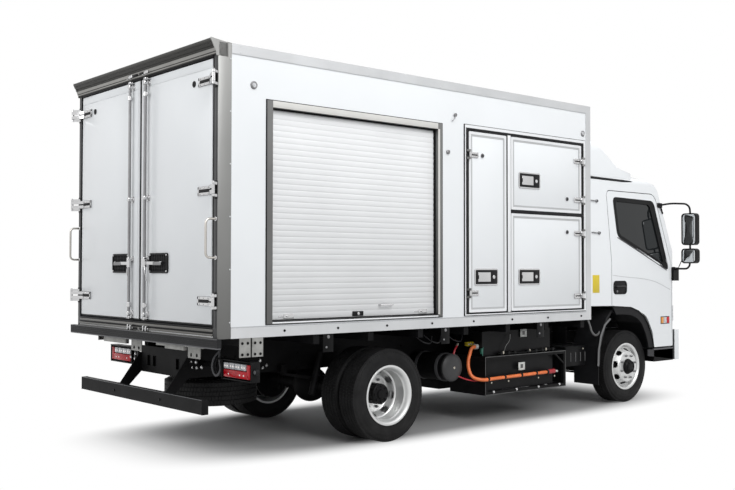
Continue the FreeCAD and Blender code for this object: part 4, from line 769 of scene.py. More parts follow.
class Repeat:
    """Repeats a small form on many points through a geometry node tree."""

    def __init__(self, name: str) -> None:
        """Builds the tree with its named inputs.

        Args:
            name: Name of the tree.
        """
        tree = bpy.data.node_groups.new(name, "GeometryNodeTree")
        for title, way, kind in (("Geometry", "INPUT", "Geometry"), ("Form", "INPUT", "Object"),
                                 ("Size", "INPUT", "Float"), ("Finish", "INPUT", "Material"),
                                 ("Geometry", "OUTPUT", "Geometry")):
            tree.interface.new_socket(name=title, in_out=way, socket_type=f"NodeSocket{kind}")
        entry = add_node(tree, "NodeGroupInput").outputs
        form = add_node(tree, "GeometryNodeObjectInfo", {"Object": entry["Form"]}, transform_space="ORIGINAL")
        heading, across = [add_node(tree, "GeometryNodeInputNamedAttribute", {"Name": title},
                                    data_type="FLOAT_VECTOR").outputs["Attribute"] for title in ("heading", "across")]
        align = add_node(tree, "FunctionNodeAlignRotationToVector", {"Vector": heading}, axis="Z")
        turn = add_node(tree, "FunctionNodeAlignRotationToVector", {
            "Rotation": align.outputs["Rotation"], "Vector": across}, axis="X", pivot_axis="Z")
        spread = add_node(tree, "GeometryNodeInstanceOnPoints", {
            "Points": entry["Geometry"], "Instance": form.outputs["Geometry"], "Rotation": turn.outputs["Rotation"],
            "Scale": entry["Size"]})
        real = add_node(tree, "GeometryNodeRealizeInstances", {"Geometry": spread.outputs["Instances"]})
        paint = add_node(tree, "GeometryNodeSetMaterial", {"Geometry": real.outputs["Geometry"],
                                                           "Material": entry["Finish"]})
        add_node(tree, "NodeGroupOutput", {"Geometry": paint.outputs["Geometry"]})
        self.tree = tree

    def spread(self, name: str, form: bpy.types.Mesh, places: Sequence[Place], finish: Finish, body: str, slot: str,
               size: float = 1.0, angle: float = 35.0, across: Point = (1.0, 0.0, 0.0)) -> bpy.types.Object:
        """Makes one piece of many copies of a form.

        Args:
            name: Name of the piece.
            form: Mesh of one copy, standing on its origin along +Z.
            places: Point and heading of each copy.
            finish: Finish of the copies.
            body: Name of the body.
            slot: Material slot of the record; it is not used.
            size: Scale of each copy.
            angle: Edges sharper than this, in degrees, stay sharp.
            across: Direction to which the X axis of each copy is turned.

        Returns:
            The finished piece.
        """
        points = bpy.data.meshes.new(f"{name}_points")
        points.from_pydata([tuple(p) for p, _ in places], [], [])
        rows = {"heading": [part for _, h in places for part in h], "across": list(across) * len(places)}
        for title, values in rows.items():
            points.attributes.new(title, "FLOAT_VECTOR", "POINT").data.foreach_set("vector", values)
        carrier = bpy.data.objects.new(f"{name}_carrier", points)
        sample = bpy.data.objects.new(f"{name}_form", form)
        for thing in (carrier, sample):
            bpy.context.scene.collection.objects.link(thing)
        modifier = carrier.modifiers.new("repeat", "NODES")
        modifier.node_group = self.tree
        inputs = {s.name: s.identifier for s in self.tree.interface.items_tree if s.in_out == "INPUT"}
        for title, value in (("Form", sample), ("Size", size), ("Finish", finish.material())):
            modifier[inputs[title]] = value
        bpy.context.view_layer.update()
        mesh = bpy.data.meshes.new_from_object(carrier.evaluated_get(bpy.context.evaluated_depsgraph_get()))
        mesh.name = name
        for thing in (carrier, sample):
            bpy.data.objects.remove(thing)
        for extra in rows:
            if extra in mesh.attributes:
                mesh.attributes.remove(mesh.attributes[extra])
        return place_mesh(name, mesh, body, angle)


class Head(Enum):
    """Kinds of small fastener."""

    HEX = "hexagon head on a washer"
    DOME = "domed rivet"
    NUT = "nut on a stud"


def fastener(kind: Head) -> bpy.types.Mesh:
    """Mesh of a fastener of 1 m across, which the repeat scales down.

    Args:
        kind: Kind of fastener.

    Returns:
        The mesh, standing on its origin.
    """
    made = Piece(f"fastener_{kind.name.lower()}")
    if kind is Head.HEX:
        made.rods(((0, 0, -0.02, 0, 0, 0.1, 0.62, 16, 0, 0.0), (0, 0, 0.1, 0, 0, 0.45, 0.5, 6, 0, 0.05)))
    elif kind is Head.NUT:
        made.rods(((0, 0, -0.02, 0, 0, 0.62, 0.5, 6, 0, 0.06), (0, 0, 0.6, 0, 0, 1.0, 0.26, 10, 0, 0.05)))
    else:
        made.rings([circle(r, h, 10) for r, h in ((0.5, -0.02), (0.5, 0.03), (0.42, 0.16), (0.25, 0.25))])
    return made.mesh()


def row(start: Point, end: Point, pitch: float, heading: Point) -> list[Place]:
    """Places in a straight row at about one pitch.

    Args:
        start: First place.
        end: Last place.
        pitch: Wanted distance between places.
        heading: Direction in which each copy stands.

    Returns:
        Point and heading of each place.
    """
    a, b = Vector(start), Vector(end)
    count = max(1, round((b - a).length / pitch))
    return [(a.lerp(b, i / count), Vector(heading)) for i in range(count + 1)]


def ring(centre: Point, axis: Point, radius: float, count: int, heading: Point | None = None,
         first: float = 0.0) -> list[Place]:
    """Places round an axis.

    Args:
        centre: Centre of the ring.
        axis: Its axis.
        radius: Its radius.
        count: Number of places.
        heading: Direction of each copy; away from the centre when left out.
        first: Angle of the first place in degrees.

    Returns:
        Point and heading of each place.
    """
    place = Matrix.Translation(Vector(centre)) @ facing(axis)
    places = []
    for i in range(count):
        a = math.radians(first) + 2 * math.pi * i / count
        point = place @ Vector((radius * math.cos(a), radius * math.sin(a), 0.0))
        out = (point - Vector(centre)).normalized()
        places.append((point, Vector(heading) if heading is not None else out))
    return places


def pierced(piece: Piece, outer: Outline, holes: Sequence[Outline], low: float, high: float, place: Matrix) -> None:
    """Adds a flat plate with holes.

    Args:
        piece: The piece that takes the plate.
        outer: Outline of the plate.
        holes: Outlines of its holes.
        low: Height of one face.
        high: Height of the other face.
        place: Matrix from the plate's own space.
    """
    loops = [[Vector((u, v, 0.0)) for u, v in loop] for loop in (outer, *holes)]
    flat = [p for loop in loops for p in loop]
    triangles = tessellate_polygon(loops)
    count = len(flat)
    faces = [tuple(t) for t in triangles] + [tuple(i + count for i in reversed(t)) for t in triangles]
    start = 0
    for loop in loops:
        for i in range(len(loop)):
            a, b = start + i, start + (i + 1) % len(loop)
            faces.append((a, b, b + count, a + count))
        start += len(loop)
    piece.add(turned([(p.x, p.y, h) for h in (low, high) for p in flat], place), faces)


@dataclass(frozen=True)
class RearDoors:
    """The two rear doors: panels, seals, lock rods, handles and hinges."""

    low: float = 1.072
    high: float = 3.112
    free: float = 0.008
    hinge: float = 1.158
    thick: float = 0.08
    rod_off: float = 0.030
    handle_z: float = 1.552
    handle_half: float = 0.082
    handle_from: float = 0.182
    handle_to: float = 0.490
    strap: float = 0.208

    def build(self) -> None:
        """Builds both doors."""
        for side, name in SIDES:
            body = f"{name}_rear_door"
            self._panel(side, name, body)
            self._seals(side, name, body)
            self._hardware(side, name, body)
            self._handle(side, name, body)

    def _panel(self, side: float, name: str, body: str) -> None:
        """Builds the white leaf with its edge strips.

        Args:
            side: One for the left, minus one for the right.
            name: The side's name.
            body: Name of the body that it moves with.
        """
        leaf = Piece(f"rear_leaf_{name}", WHITE_PANEL, EDGE_STRIP)
        y0, y1 = self.free + 0.008, self.hinge - 0.010
        z0, z1 = self.low + 0.012, self.high - 0.012
        leaf.blocks(((0.003, self.thick - 0.004, y0, y1, z0, z1, 0, 0.004),
                     (0.0, 0.02, y0 + 0.002, y0 + 0.026, z0 + 0.002, z1 - 0.002, 1, 0.002),
                     (0.0, 0.02, y0 + 0.03, y1 - 0.004, z1 - 0.07, z1 - 0.004, 0, 0.002),
                     (0.0, 0.02, y0 + 0.03, y1 - 0.004, z0 + 0.004, z1 - 0.074, 0, 0.002),
                     (self.thick - 0.006, self.thick, y0 + 0.05, y1 - 0.05, z0 + 0.05, z1 - 0.05, 0, 0.002)),
                    REAR, side)
        made = leaf.object(body)
        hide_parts(f"rear_door_{name}")

    def _seals(self, side: float, name: str, body: str) -> None:
        """Builds the rubber seals round the leaf.

        Args:
            side: One for the left, minus one for the right.
            name: The side's name.
            body: Name of the body that it moves with.
        """
        seal = Piece(f"rear_seal_{name}", SEAL)
        a, b = sorted((side * self.free, side * self.hinge))
        for near, far in ((0.006, 0.018), (0.030, 0.042), (0.054, 0.066)):
            seal.frame("X", (a, self.low), (b, self.high), (0.014, 0.018), REAR + near, REAR + far, 0.004, 0.004)
        seal.object(body)
        seen = Piece(f"view_plug_{name}", SEAL, BLACK_PAINT)
        seen.lathe([(CORE, -0.001), (0.024, -0.001), (0.026, 0.003), (0.018, 0.005), (0.016, 0.002), (CORE, 0.002)],
                   (REAR, side * 0.88, 2.94), (-1, 0, 0), 24)
        seen.object(body)

    def _hardware(self, side: float, name: str, body: str) -> None:
        """Builds the lock rod, its guides, cams and the hinges.

        Args:
            side: One for the left, minus one for the right.
            name: The side's name.
            body: Name of the body that it moves with.
        """
        steel = Piece(f"rear_fittings_{name}", CHROME, SEAL, DULL_ROD)
        x, y = REAR - self.rod_off, side * ROD_Y
        low, high = self.low + 0.01, self.high - 0.01
        steel.rod((x, y, low), (x, y, high), 0.012, 20, 2, 0.002)
        for z in (low + 0.02, REAR_HINGES[0] + 0.30, REAR_HINGES[1] - 0.03, high - 0.07):
            steel.block((REAR, y - 0.034, z), (REAR - 0.005, y + 0.034, z + 0.05), 0, 0.002)
            steel.block((REAR - 0.004, y - 0.017, z + 0.008), (x - 0.016, y + 0.017, z + 0.042), 0, 0.006)
            for away in (y - 0.026, y + 0.026):
                steel.rods(((-0.005, away, z + 0.025, -0.010, away, z + 0.025, 0.006, 10, 0, 0.002),), REAR)
        for z in (low + 0.10, high - 0.16):
            steel.rod((x, y, z), (x, y, z + 0.04), 0.018, 20, 0, 0.003)
            steel.block((x - 0.004, y, z + 0.008), (x + 0.010, y + side * 0.036, z + 0.032), 0, 0.003)
        for z, way in ((low, 1), (high, -1)):
            steel.block((x - 0.010, y - 0.020, z), (x + 0.014, y + 0.020, z + way * 0.022), 0, 0.004)
            for y0, y1 in ((y - 0.030, y - 0.012), (y + 0.012, y + 0.030)):
                steel.block((x + 0.004, y0, z + way * 0.004), (REAR - 0.002, y1, z + way * 0.018), 0, 0.003)
        for z in REAR_HINGES:
            self._hinge(steel, side, z)
        steel.object(body)

    def _hinge(self, steel: Piece, side: float, z: float) -> None:
        """Adds one strap hinge with its rubber pads and bolts.

        Args:
            steel: The piece that takes the fittings.
            side: One for the left, minus one for the right.
            z: Height of the hinge.
        """
        y1, y0 = self.hinge, self.hinge - self.strap
        steel.blocks(((0.0, -0.004, y0, y1, z - 0.035, z + 0.035, 1, 0.001),
                      (-0.004, -0.008, y0, y1, z - 0.034, z - 0.012, 0, 0.002),
                      (-0.004, -0.008, y0, y1, z + 0.012, z + 0.034, 0, 0.002),
                      (-0.003, -0.006, y0 + 0.010, y1, z - 0.010, z + 0.010, 1, 0.001),
                      (-0.004, -0.008, y0, y0 + 0.016, z - 0.034, z + 0.034, 0, 0.002)), REAR, side)
        x, y = REAR_HINGE_X, REAR_HINGE_Y
        outline = [(REAR, side * (y1 - 0.060)), (REAR, side * y1), (x + 0.012, side * (y - 0.020)),
                   (x + 0.012, side * y), (x - 0.011, side * y), (x - 0.011, side * (y - 0.024))]
        steel.prism(outline, "Z", z - 0.034, z - 0.006)
        steel.prism(outline, "Z", z + 0.006, z + 0.034)
        steel.rod((x, side * y, z - 0.035), (x, side * y, z + 0.035), 0.012, 24, 0, 0.002)
        for v in (y0 + 0.03, y0 + 0.09, y0 + 0.15):
            for w in (z - 0.023, z + 0.023):
                steel.rods(((-0.008, v, w, -0.012, v, w, 0.0065, 8, 0, 0.0015),), REAR, side)

    def _handle(self, side: float, name: str, body: str) -> None:
        """Builds the recessed handle box with its lever.

        Args:
            side: One for the left, minus one for the right.
            name: The side's name.
            body: Name of the body that it moves with.
        """
        pan = Piece(f"handle_pan_{name}", PLASTIC, CHROME)
        lo, hi = sorted((side * self.handle_from, side * self.handle_to))
        z = self.handle_z
        z0, z1 = z - self.handle_half, z + self.handle_half
        pan.frame("X", (lo, z0), (hi, z1), (0.014,), REAR, REAR - 0.012, 0.022, 0.012)
        pan.block((REAR, lo + 0.01, z0 + 0.01), (REAR - 0.003, hi - 0.01, z1 - 0.01), 0, 0.001)
        for i in range(9):
            y = lo + 0.035 + i * (hi - lo - 0.07) / 8
            pan.block((REAR - 0.002, y - 0.004, z0 + 0.016), (REAR - 0.008, y + 0.004, z1 - 0.016), 0, 0.002)
        for i in range(4):
            w = z0 + 0.04 + i * 0.028
            pan.block((REAR - 0.002, lo + 0.016, w - 0.003), (REAR - 0.006, hi - 0.016, w + 0.003), 0, 0.001)
        pan.object(body)
        lever = Piece(f"handle_lever_{name}", CHROME, DULL_ROD)
        x = REAR - self.rod_off
        lever.blocks(((-0.005, 0.005, 0.13, 0.30, z - 0.014, z + 0.014, 0, 0.004),
                      (-0.008, 0.006, 0.29, 0.420, z - 0.018, z + 0.012, 1, 0.006)), x, side)
        lever.rods(((0.0, ROD_Y, z - 0.034, 0.0, ROD_Y, z + 0.034, 0.020, 20, 0, 0.004),), x, side)
        lever.block((x - 0.004, side * 0.395, z - 0.015), (REAR - 0.006, side * 0.418, z + 0.015), 0, 0.004)
        lever.pipe([(-0.004, 0.155, z - 0.03), (-0.010, 0.160, z - 0.075), (0.004, 0.165, z - 0.115)], 0.02, 0.0045, 8,
                   x=x, side=side)
        lever.rods(((0.004, 0.165, z - 0.112, 0.002, 0.165, z - 0.150, 0.006, 10, 0, 0.002),), x, side)
        for dy, dz in ((0.016, 0.066), (0.292, 0.066), (0.016, -0.066), (0.292, -0.066)):
            y = self.handle_from + dy
            lever.rods(((-0.012, y, z + dz, -0.015, y, z + dz, 0.008, 12, 0, 0.002),), REAR, side)
        lever.object(body)


@dataclass(frozen=True)
class RearFrame:
    """Rear frame: posts, stepped sill, ridged header, hinge lugs, keepers and grab handles."""

    low: float = 0.977
    top: float = 3.221
    header: float = 3.120
    post: float = 0.0595
    depth: float = 0.123
    reach: float = 0.062
    sill_top: float = 1.064

    def build(self) -> None:
        """Builds the frame."""
        posts = Piece("rear_posts", ALUMINIUM_UP, SEAL, GASKET)
        inner, low, top, head = HALF - self.post, self.low, self.top, self.header
        for side, _ in SIDES:
            posts.blocks(((0.004, self.depth, HALF, HALF - 0.045, low, top - 0.002, 0, 0.004),
                          (0.0, 0.03, HALF - 0.007, inner, low, head, 2, 0.002),
                          (-0.001, 0.02, HALF - 0.010, HALF - 0.016, self.sill_top, head, 1, 0.001),
                          (0.010, self.depth - 0.01, HALF - 0.036, inner + 0.001, low, top - 0.06, 0, 0.002),
                          (-0.001, 0.05, inner + 0.010, inner, self.sill_top, head, 1, 0.001)), REAR, side)
        made = posts.object("chassis")
        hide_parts("rear_frame")
        self._header()
        self._sill()
        self._fittings()

    def _header(self) -> None:
        """Builds the sloping header with its long ridges and end plates."""
        shell = Piece("rear_header", HEADER_DARK, SEAL, ALUMINIUM_UP, HEADER_BAND)
        xr, top, head = REAR - self.reach, self.top, self.header
        lip = [(0.012, 0.019), (0.003, 0.016), (0.0, 0.008), (0.0, -0.004), (0.010, -0.014), (0.022, -0.034),
               (0.030, -0.038), (0.034, -0.056), (0.044, -0.072), (0.048, -0.092)]
        outline = [(REAR + self.depth, head), (REAR + self.depth, top), (REAR + 0.02, top + 0.008)]
        outline += [(xr + u, top + w) for u, w in lip] + [(REAR - 0.012, head)]
        shell.prism(outline, "Y", -HALF + 0.004, HALF - 0.004)
        for drop, out in ((0.020, 0.010), (0.050, 0.027), (0.082, 0.042)):
            shell.rod((xr + out, -HALF + 0.004, top - drop), (xr + out, HALF - 0.004, top - drop), 0.004, 8)
        band = [(0.032, -0.056), (0.0425, -0.073), (0.0465, -0.094), (0.055, -0.094), (0.055, -0.056)]
        shell.prism([(xr + u, top + w) for u, w in band], "Y", -HALF + 0.006, HALF - 0.006, 3)
        shell.block((REAR - 0.006, -HALF + 0.06, head - 0.012), (REAR + 0.03, HALF - 0.06, head + 0.006), 1, 0.002)
        plate = [(REAR + 0.09, head - 0.01), (REAR + 0.09, top), (xr - 0.001, top + 0.019), (xr - 0.001, top + 0.004),
                 (xr + 0.018, top - 0.03), (xr + 0.045, top - 0.085), (REAR - 0.013, head - 0.01)]
        for side, _ in SIDES:
            shell.prism(plate, "Y", side * (HALF - 0.006), side * HALF, 2)
        shell.object("chassis")

    def _sill(self) -> None:
        """Builds the stepped sill."""
        sill = Piece("rear_sill", STAINLESS_CROSS, SEAL, ALUMINIUM)
        steps = ((1.050, 1.065, 0.000, 1), (1.030, 1.050, 0.006, 0), (1.016, 1.030, 0.000, 1),
                 (0.998, 1.016, 0.010, 0), (0.990, 0.998, 0.004, 2), (0.977, 0.990, 0.010, 0))
        half = HALF - self.post + 0.004
        sill.blocks([(-out, self.depth, -half, half, z0, z1, finish, 0.0025) for z0, z1, out, finish in steps]
                    + [(0.004, self.depth - 0.002, -HALF + 0.05, HALF - 0.05, 0.979, 1.060, 0, 0.0)], REAR)
        sill.object("chassis")

    def _fittings(self) -> None:
        """Builds the keepers, hinge lugs and grab handles."""
        steel = Piece("rear_frame_fittings", CHROME, BLACK_PAINT, GRAB)
        x, y = REAR_HINGE_X, REAR_HINGE_Y
        grab_x, grab_y, grab_low, grab_high = 0.087, HALF - 0.022, 1.589, 1.881
        for side, _ in SIDES:
            rod = side * ROD_Y
            for z, flip, x0 in ((1.003, 1.0, REAR - 0.010), (3.146, -1.0, REAR - 0.028)):
                steel.block((x0 + 0.012, rod - 0.034, z - 0.012), (x0 - 0.004, rod + 0.034, z + 0.012), 0, 0.003)
                for v in (rod - 0.024, rod + 0.024):
                    steel.block((x0, v - 0.007, z - 0.016), (x0 - 0.022, v + 0.007, z + 0.026 * flip + 0.004), 0, 0.004)
                steel.blocks(((0.01, -0.002, 0.02, 0.10, z - 0.010, z + 0.010, 1, 0.003),), x0, side)
            outline = [(REAR, side * (y - 0.062)), (x + 0.002, side * (y - 0.012)), (x, side * y),
                       (x + 0.012, side * y), (REAR, side * (y - 0.0245))]
            for height in REAR_HINGES:
                for z in (height + 0.0354, height - 0.0554):
                    steel.prism(outline, "Z", z, z + 0.020)
                    steel.rod((x, side * y, z), (x, side * y, z + 0.020), 0.012, 24, 0, 0.002)
                steel.rod((x, side * y, height + 0.0555), (x, side * y, height + 0.062), 0.008, 12, 0, 0.002)
                steel.blocks(((-0.003, 0.001, HALF - 0.04, HALF - 0.004, height - 0.07, height + 0.07, 1, 0.002),),
                             REAR, side)
            steel.pipe([(0.004, grab_y, grab_low), (-grab_x, grab_y, grab_low), (-grab_x, grab_y, grab_high),
                        (0.004, grab_y, grab_high)], 0.04, 0.009, 14, 2, REAR, side)
            for z in (grab_low, grab_high):
                steel.rods(((0.002, grab_y, z, -0.005, grab_y, z, 0.017, 16, 0, 0.002),), REAR, side)
        steel.object("chassis")


@dataclass(frozen=True)
class SideDoor:
    """One side door: leaf, seal, hinges and paddle latch; places along X are from the body's rear."""

    name: str
    x0: float
    x1: float
    z0: float
    z1: float
    axis: float
    way: float
    hinges: tuple[float, float]
    latch: Flat
    y: float = -HALF
    edge: float = 0.026

    def build(self) -> None:
        """Builds the door."""
        name, x0, x1, z0, z1, y, e = self.name, REAR + self.x0, REAR + self.x1, self.z0, self.z1, self.y, self.edge
        body = f"{name}_side_door"
        leaf = Piece(f"side_leaf_{name}", WHITE_PANEL, EDGE_STRIP)
        leaf.block((x0 + e - 0.002, y + 0.003, z0 + e - 0.002), (x1 - e + 0.002, y + 0.058, z1 - e + 0.002), 0, 0.003)
        leaf.frame("Y", (x0, z0), (x1, z1), (e,), y, y + 0.03, 0.010, 0.004, 1)
        leaf.block((x0 + 0.006, y + 0.028, z0 + 0.006), (x1 - 0.006, y + 0.060, z1 - 0.006), 0, 0.003)
        made = leaf.object(body)
        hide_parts(f"side_door_{name}")
        # The grey band round each door's opening is painted shade along the door's edge.
        seal = Piece(f"side_seal_{name}", SEAL, EDGE_SHADE)
        seal.frame("Y", (x0 + e, z0 + e), (x1 - e, z1 - e), (0.019,), y + 0.0018, y + 0.008, 0.010, 0.006, 1)
        seal.object(body)
        steel = Piece(f"side_fittings_{name}", CHROME, PLASTIC, SEAL)
        self._hinges(steel)
        self._latch(steel)
        steel.object(body)

    def _hinges(self, steel: Piece) -> None:
        """Adds the hinges.

        Args:
            steel: The piece that takes the fittings.
        """
        x, w, y = REAR + self.axis, self.way, self.y
        pin = y - 0.020
        for z in self.hinges:
            near, far = -w * 0.010, -w * 0.130
            steel.blocks(((near, far, y, y - 0.006, z - 0.025, z + 0.025, 0, 0.002),
                          (0.0, -w * 0.020, pin - 0.004, y - 0.005, z - 0.024, z + 0.024, 0, 0.003)), x)
            steel.rod((x, pin, z - 0.025), (x, pin, z + 0.025), 0.010, 20, 0, 0.002)
            steel.block((x + near - w * 0.02, y - 0.0055, z - 0.006), (x + far + w * 0.015, y - 0.0075, z + 0.006),
                        2, 0.001)
            for along in (0.045, 0.08, 0.115):
                for v in (z - 0.016, z + 0.016):
                    steel.rods(((-w * along, y - 0.006, v, -w * along, y - 0.009, v, 0.005, 8, 0, 0.001),), x)

    def _latch(self, steel: Piece) -> None:
        """Adds the paddle latch.

        Args:
            steel: The piece that takes the fittings.
        """
        x, y, z = REAR + self.latch[0], self.y, self.latch[1]
        steel.frame("Y", (x, z), (x + 0.325, z + 0.158), (0.012,), y, y - 0.005, 0.020, 0.012, 0)
        steel.blocks(((0.01, 0.315, y + 0.001, y - 0.002, z + 0.01, z + 0.148, 1, 0.001),
                      (0.05, 0.22, y - 0.001, y - 0.005, z + 0.035, z + 0.123, 0, 0.004),
                      (0.035, 0.06, y - 0.001, y - 0.005, z + 0.06, z + 0.098, 1, 0.002),
                      (0.235, 0.30, y - 0.001, y - 0.004, z + 0.02, z + 0.138, 1, 0.003)), x)
        steel.rods(((0.268, y - 0.001, z + 0.079, 0.268, y - 0.005, z + 0.079, 0.018, 16, 0, 0.002),), x)


@dataclass(frozen=True)
class SideDoors:
    """The three side doors and the rubber lines round their openings."""

    doors: tuple[SideDoor, ...] = (
        SideDoor("tall", 2.720, 3.240, 1.102, 2.792, 2.714, -1.0, (1.282, 2.573), (2.790, 1.352)),
        SideDoor("lower", 3.310, 4.410, 1.102, 2.048, 4.416, 1.0, (1.229, 1.876), (3.412, 1.352)),
        SideDoor("upper", 3.310, 4.410, 2.084, 2.792, 4.416, 1.0, (2.222, 2.625), (3.418, 2.300)))

    def build(self) -> None:
        """Builds the doors, then the lines round the openings."""
        for door in self.doors:
            door.build()
        self._reveals()

    @staticmethod
    def _reveals() -> None:
        """Builds the rubber lines between the side frames and what closes them, and the black lining of the shutter's
        reveal, which is painted shade.
        """
        dark = Piece("side_reveals", SEAL, BLACK_PAINT, EDGE_STRIP, HEAD_LIGHT)
        low, high, start, end = OPENINGS_LOW, OPENINGS_HIGH, SHUTTER_START, SHUTTER_END
        covers = ((2.674, 2.709, low, high, 0), (4.421, 4.444, low, high, 0), (2.674, 4.444, 2.799, 2.820, 0),
                  (3.297, 4.423, 2.054, 2.078, 0), (3.2535, 3.2965, low, high, 2), (2.674, 4.444, 1.087, 1.095, 0),
                  (start, end, 2.772, 2.824, 3), (2.313, 2.336, 1.098, 2.772, 3), (start, end, 1.078, 1.090, 2),
                  (start, end, 1.090, 1.0965, 0))
        dark.blocks([(x0, x1, -HALF - 0.0062, -HALF, z0, z1, finish, TOUCH) for x0, x1, z0, z1, finish in covers],
                    REAR)
        y0 = -HALF + 0.012
        for x0, x1, z0, z1 in ((2.708, 3.252, low, high), (3.298, 4.422, low, 2.056), (3.298, 4.422, 2.076, high)):
            dark.frame("Y", (REAR + x0 - TOUCH, z0 - TOUCH), (REAR + x1 + TOUCH, z1 + TOUCH), (0.0135, 0.0095), y0,
                       y0 + 0.03, 0.002, 0.008)
        # The shutter's reveal is lined in black paint: painted shade in the gap between frame and curtain.
        dark.frame("Y", (REAR + start - TOUCH, SHUTTER_LOW - TOUCH), (REAR + end + TOUCH, SHUTTER_HIGH + TOUCH),
                   (0.011, 0.004, 0.011, 0.013), -HALF + 0.030, -HALF + 0.049, 0.001, 0.002, 1)
        dark.object("chassis")


@dataclass(frozen=True)
class Shutter:
    """The roller shutter's slats, bottom bar, handle and latches."""

    x0: float = REAR + SHUTTER_START
    x1: float = REAR + SHUTTER_END
    z0: float = SHUTTER_LOW
    z1: float = SHUTTER_HIGH
    y: float = -HALF + 0.050
    pitch: float = 0.0465

    def build(self, repeat: Repeat) -> None:
        """Builds the curtain.

        Args:
            repeat: Geometry node repeat for the slats.
        """
        slat = Piece("slat")
        x0, x1, z0, z1, y, h = self.x0, self.x1, self.z0, self.z1, self.y, self.pitch
        half = (x1 - x0 - 0.012) / 2
        section = [(0.000, 0.0), (0.0010, -0.0005), (0.0030, 0.006), (0.004, 0.014), (0.004, 0.032), (0.0030, 0.040),
                   (0.0012, 0.0455), (0.000, 0.0455), (0.000, h - 0.0003), (-0.008, h - 0.0003), (-0.008, 0.0)]
        slat.rings([[(end, -v, u) for u, v in section] for end in (-half, half)])
        centre, start = (x0 + x1) / 2, z0 + 0.060
        count = int((z1 - start) / h)
        places = [((centre, y + 0.001, start + (i + 1) * h), RIGHT_WAY) for i in range(count)]
        made = repeat.spread("shutter_slats", slat.mesh(), places, SLAT, "chassis", "curtain_aluminium", 1.0, 20.0)
        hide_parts("shutter_curtain")
        bar = Piece("shutter_bottom_bar", SLAT, SEAL, CHROME, PLASTIC)
        for edge, y0, y1, low, high, finish, bevel in (
                (0.004, 0.012, -0.006, z0 + 0.008, z0 + 0.060, 0, 0.003),
                (0.004, 0.010, -0.003, z0, z0 + 0.010, 1, 0.003),
                (0.004, 0.012, 0.001, start + count * h, z1, 0, 0.001),
                (0.002, 0.016, 0.009, z0 + 0.004, z1, 3, 0.0)):
            bar.block((x0 + edge, y + y0, low), (x1 - edge, y + y1, high), finish, bevel)
        for x in (x0 + 0.14, x1 - 0.20):
            bar.block((x, y - 0.006, z0 + 0.016), (x + 0.10, y - 0.012, z0 + 0.050), 2, 0.003)
            bar.rod((x + 0.03, y - 0.012, z0 + 0.033), (x + 0.03, y - 0.026, z0 + 0.033), 0.008, 12, 2, 0.002)
            bar.block((x - 0.05, y - 0.006, z0 + 0.028), (x, y - 0.010, z0 + 0.038), 2, 0.002)
        bar.block((centre - 0.06, y - 0.006, z0 + 0.014), (centre + 0.06, y - 0.014, z0 + 0.054), 3, 0.004)
        bar.rod((centre, y - 0.014, z0 + 0.034), (centre, y - 0.022, z0 + 0.034), 0.013, 16, 2, 0.002)
        bar.pipe([(0.24, y - 0.004, z0 + 0.10), (0.24, y - 0.036, z0 + 0.10), (0.38, y - 0.036, z0 + 0.10),
                  (0.38, y - 0.004, z0 + 0.10)], 0.02, 0.006, 10, 2, centre)
        bar.object("chassis")


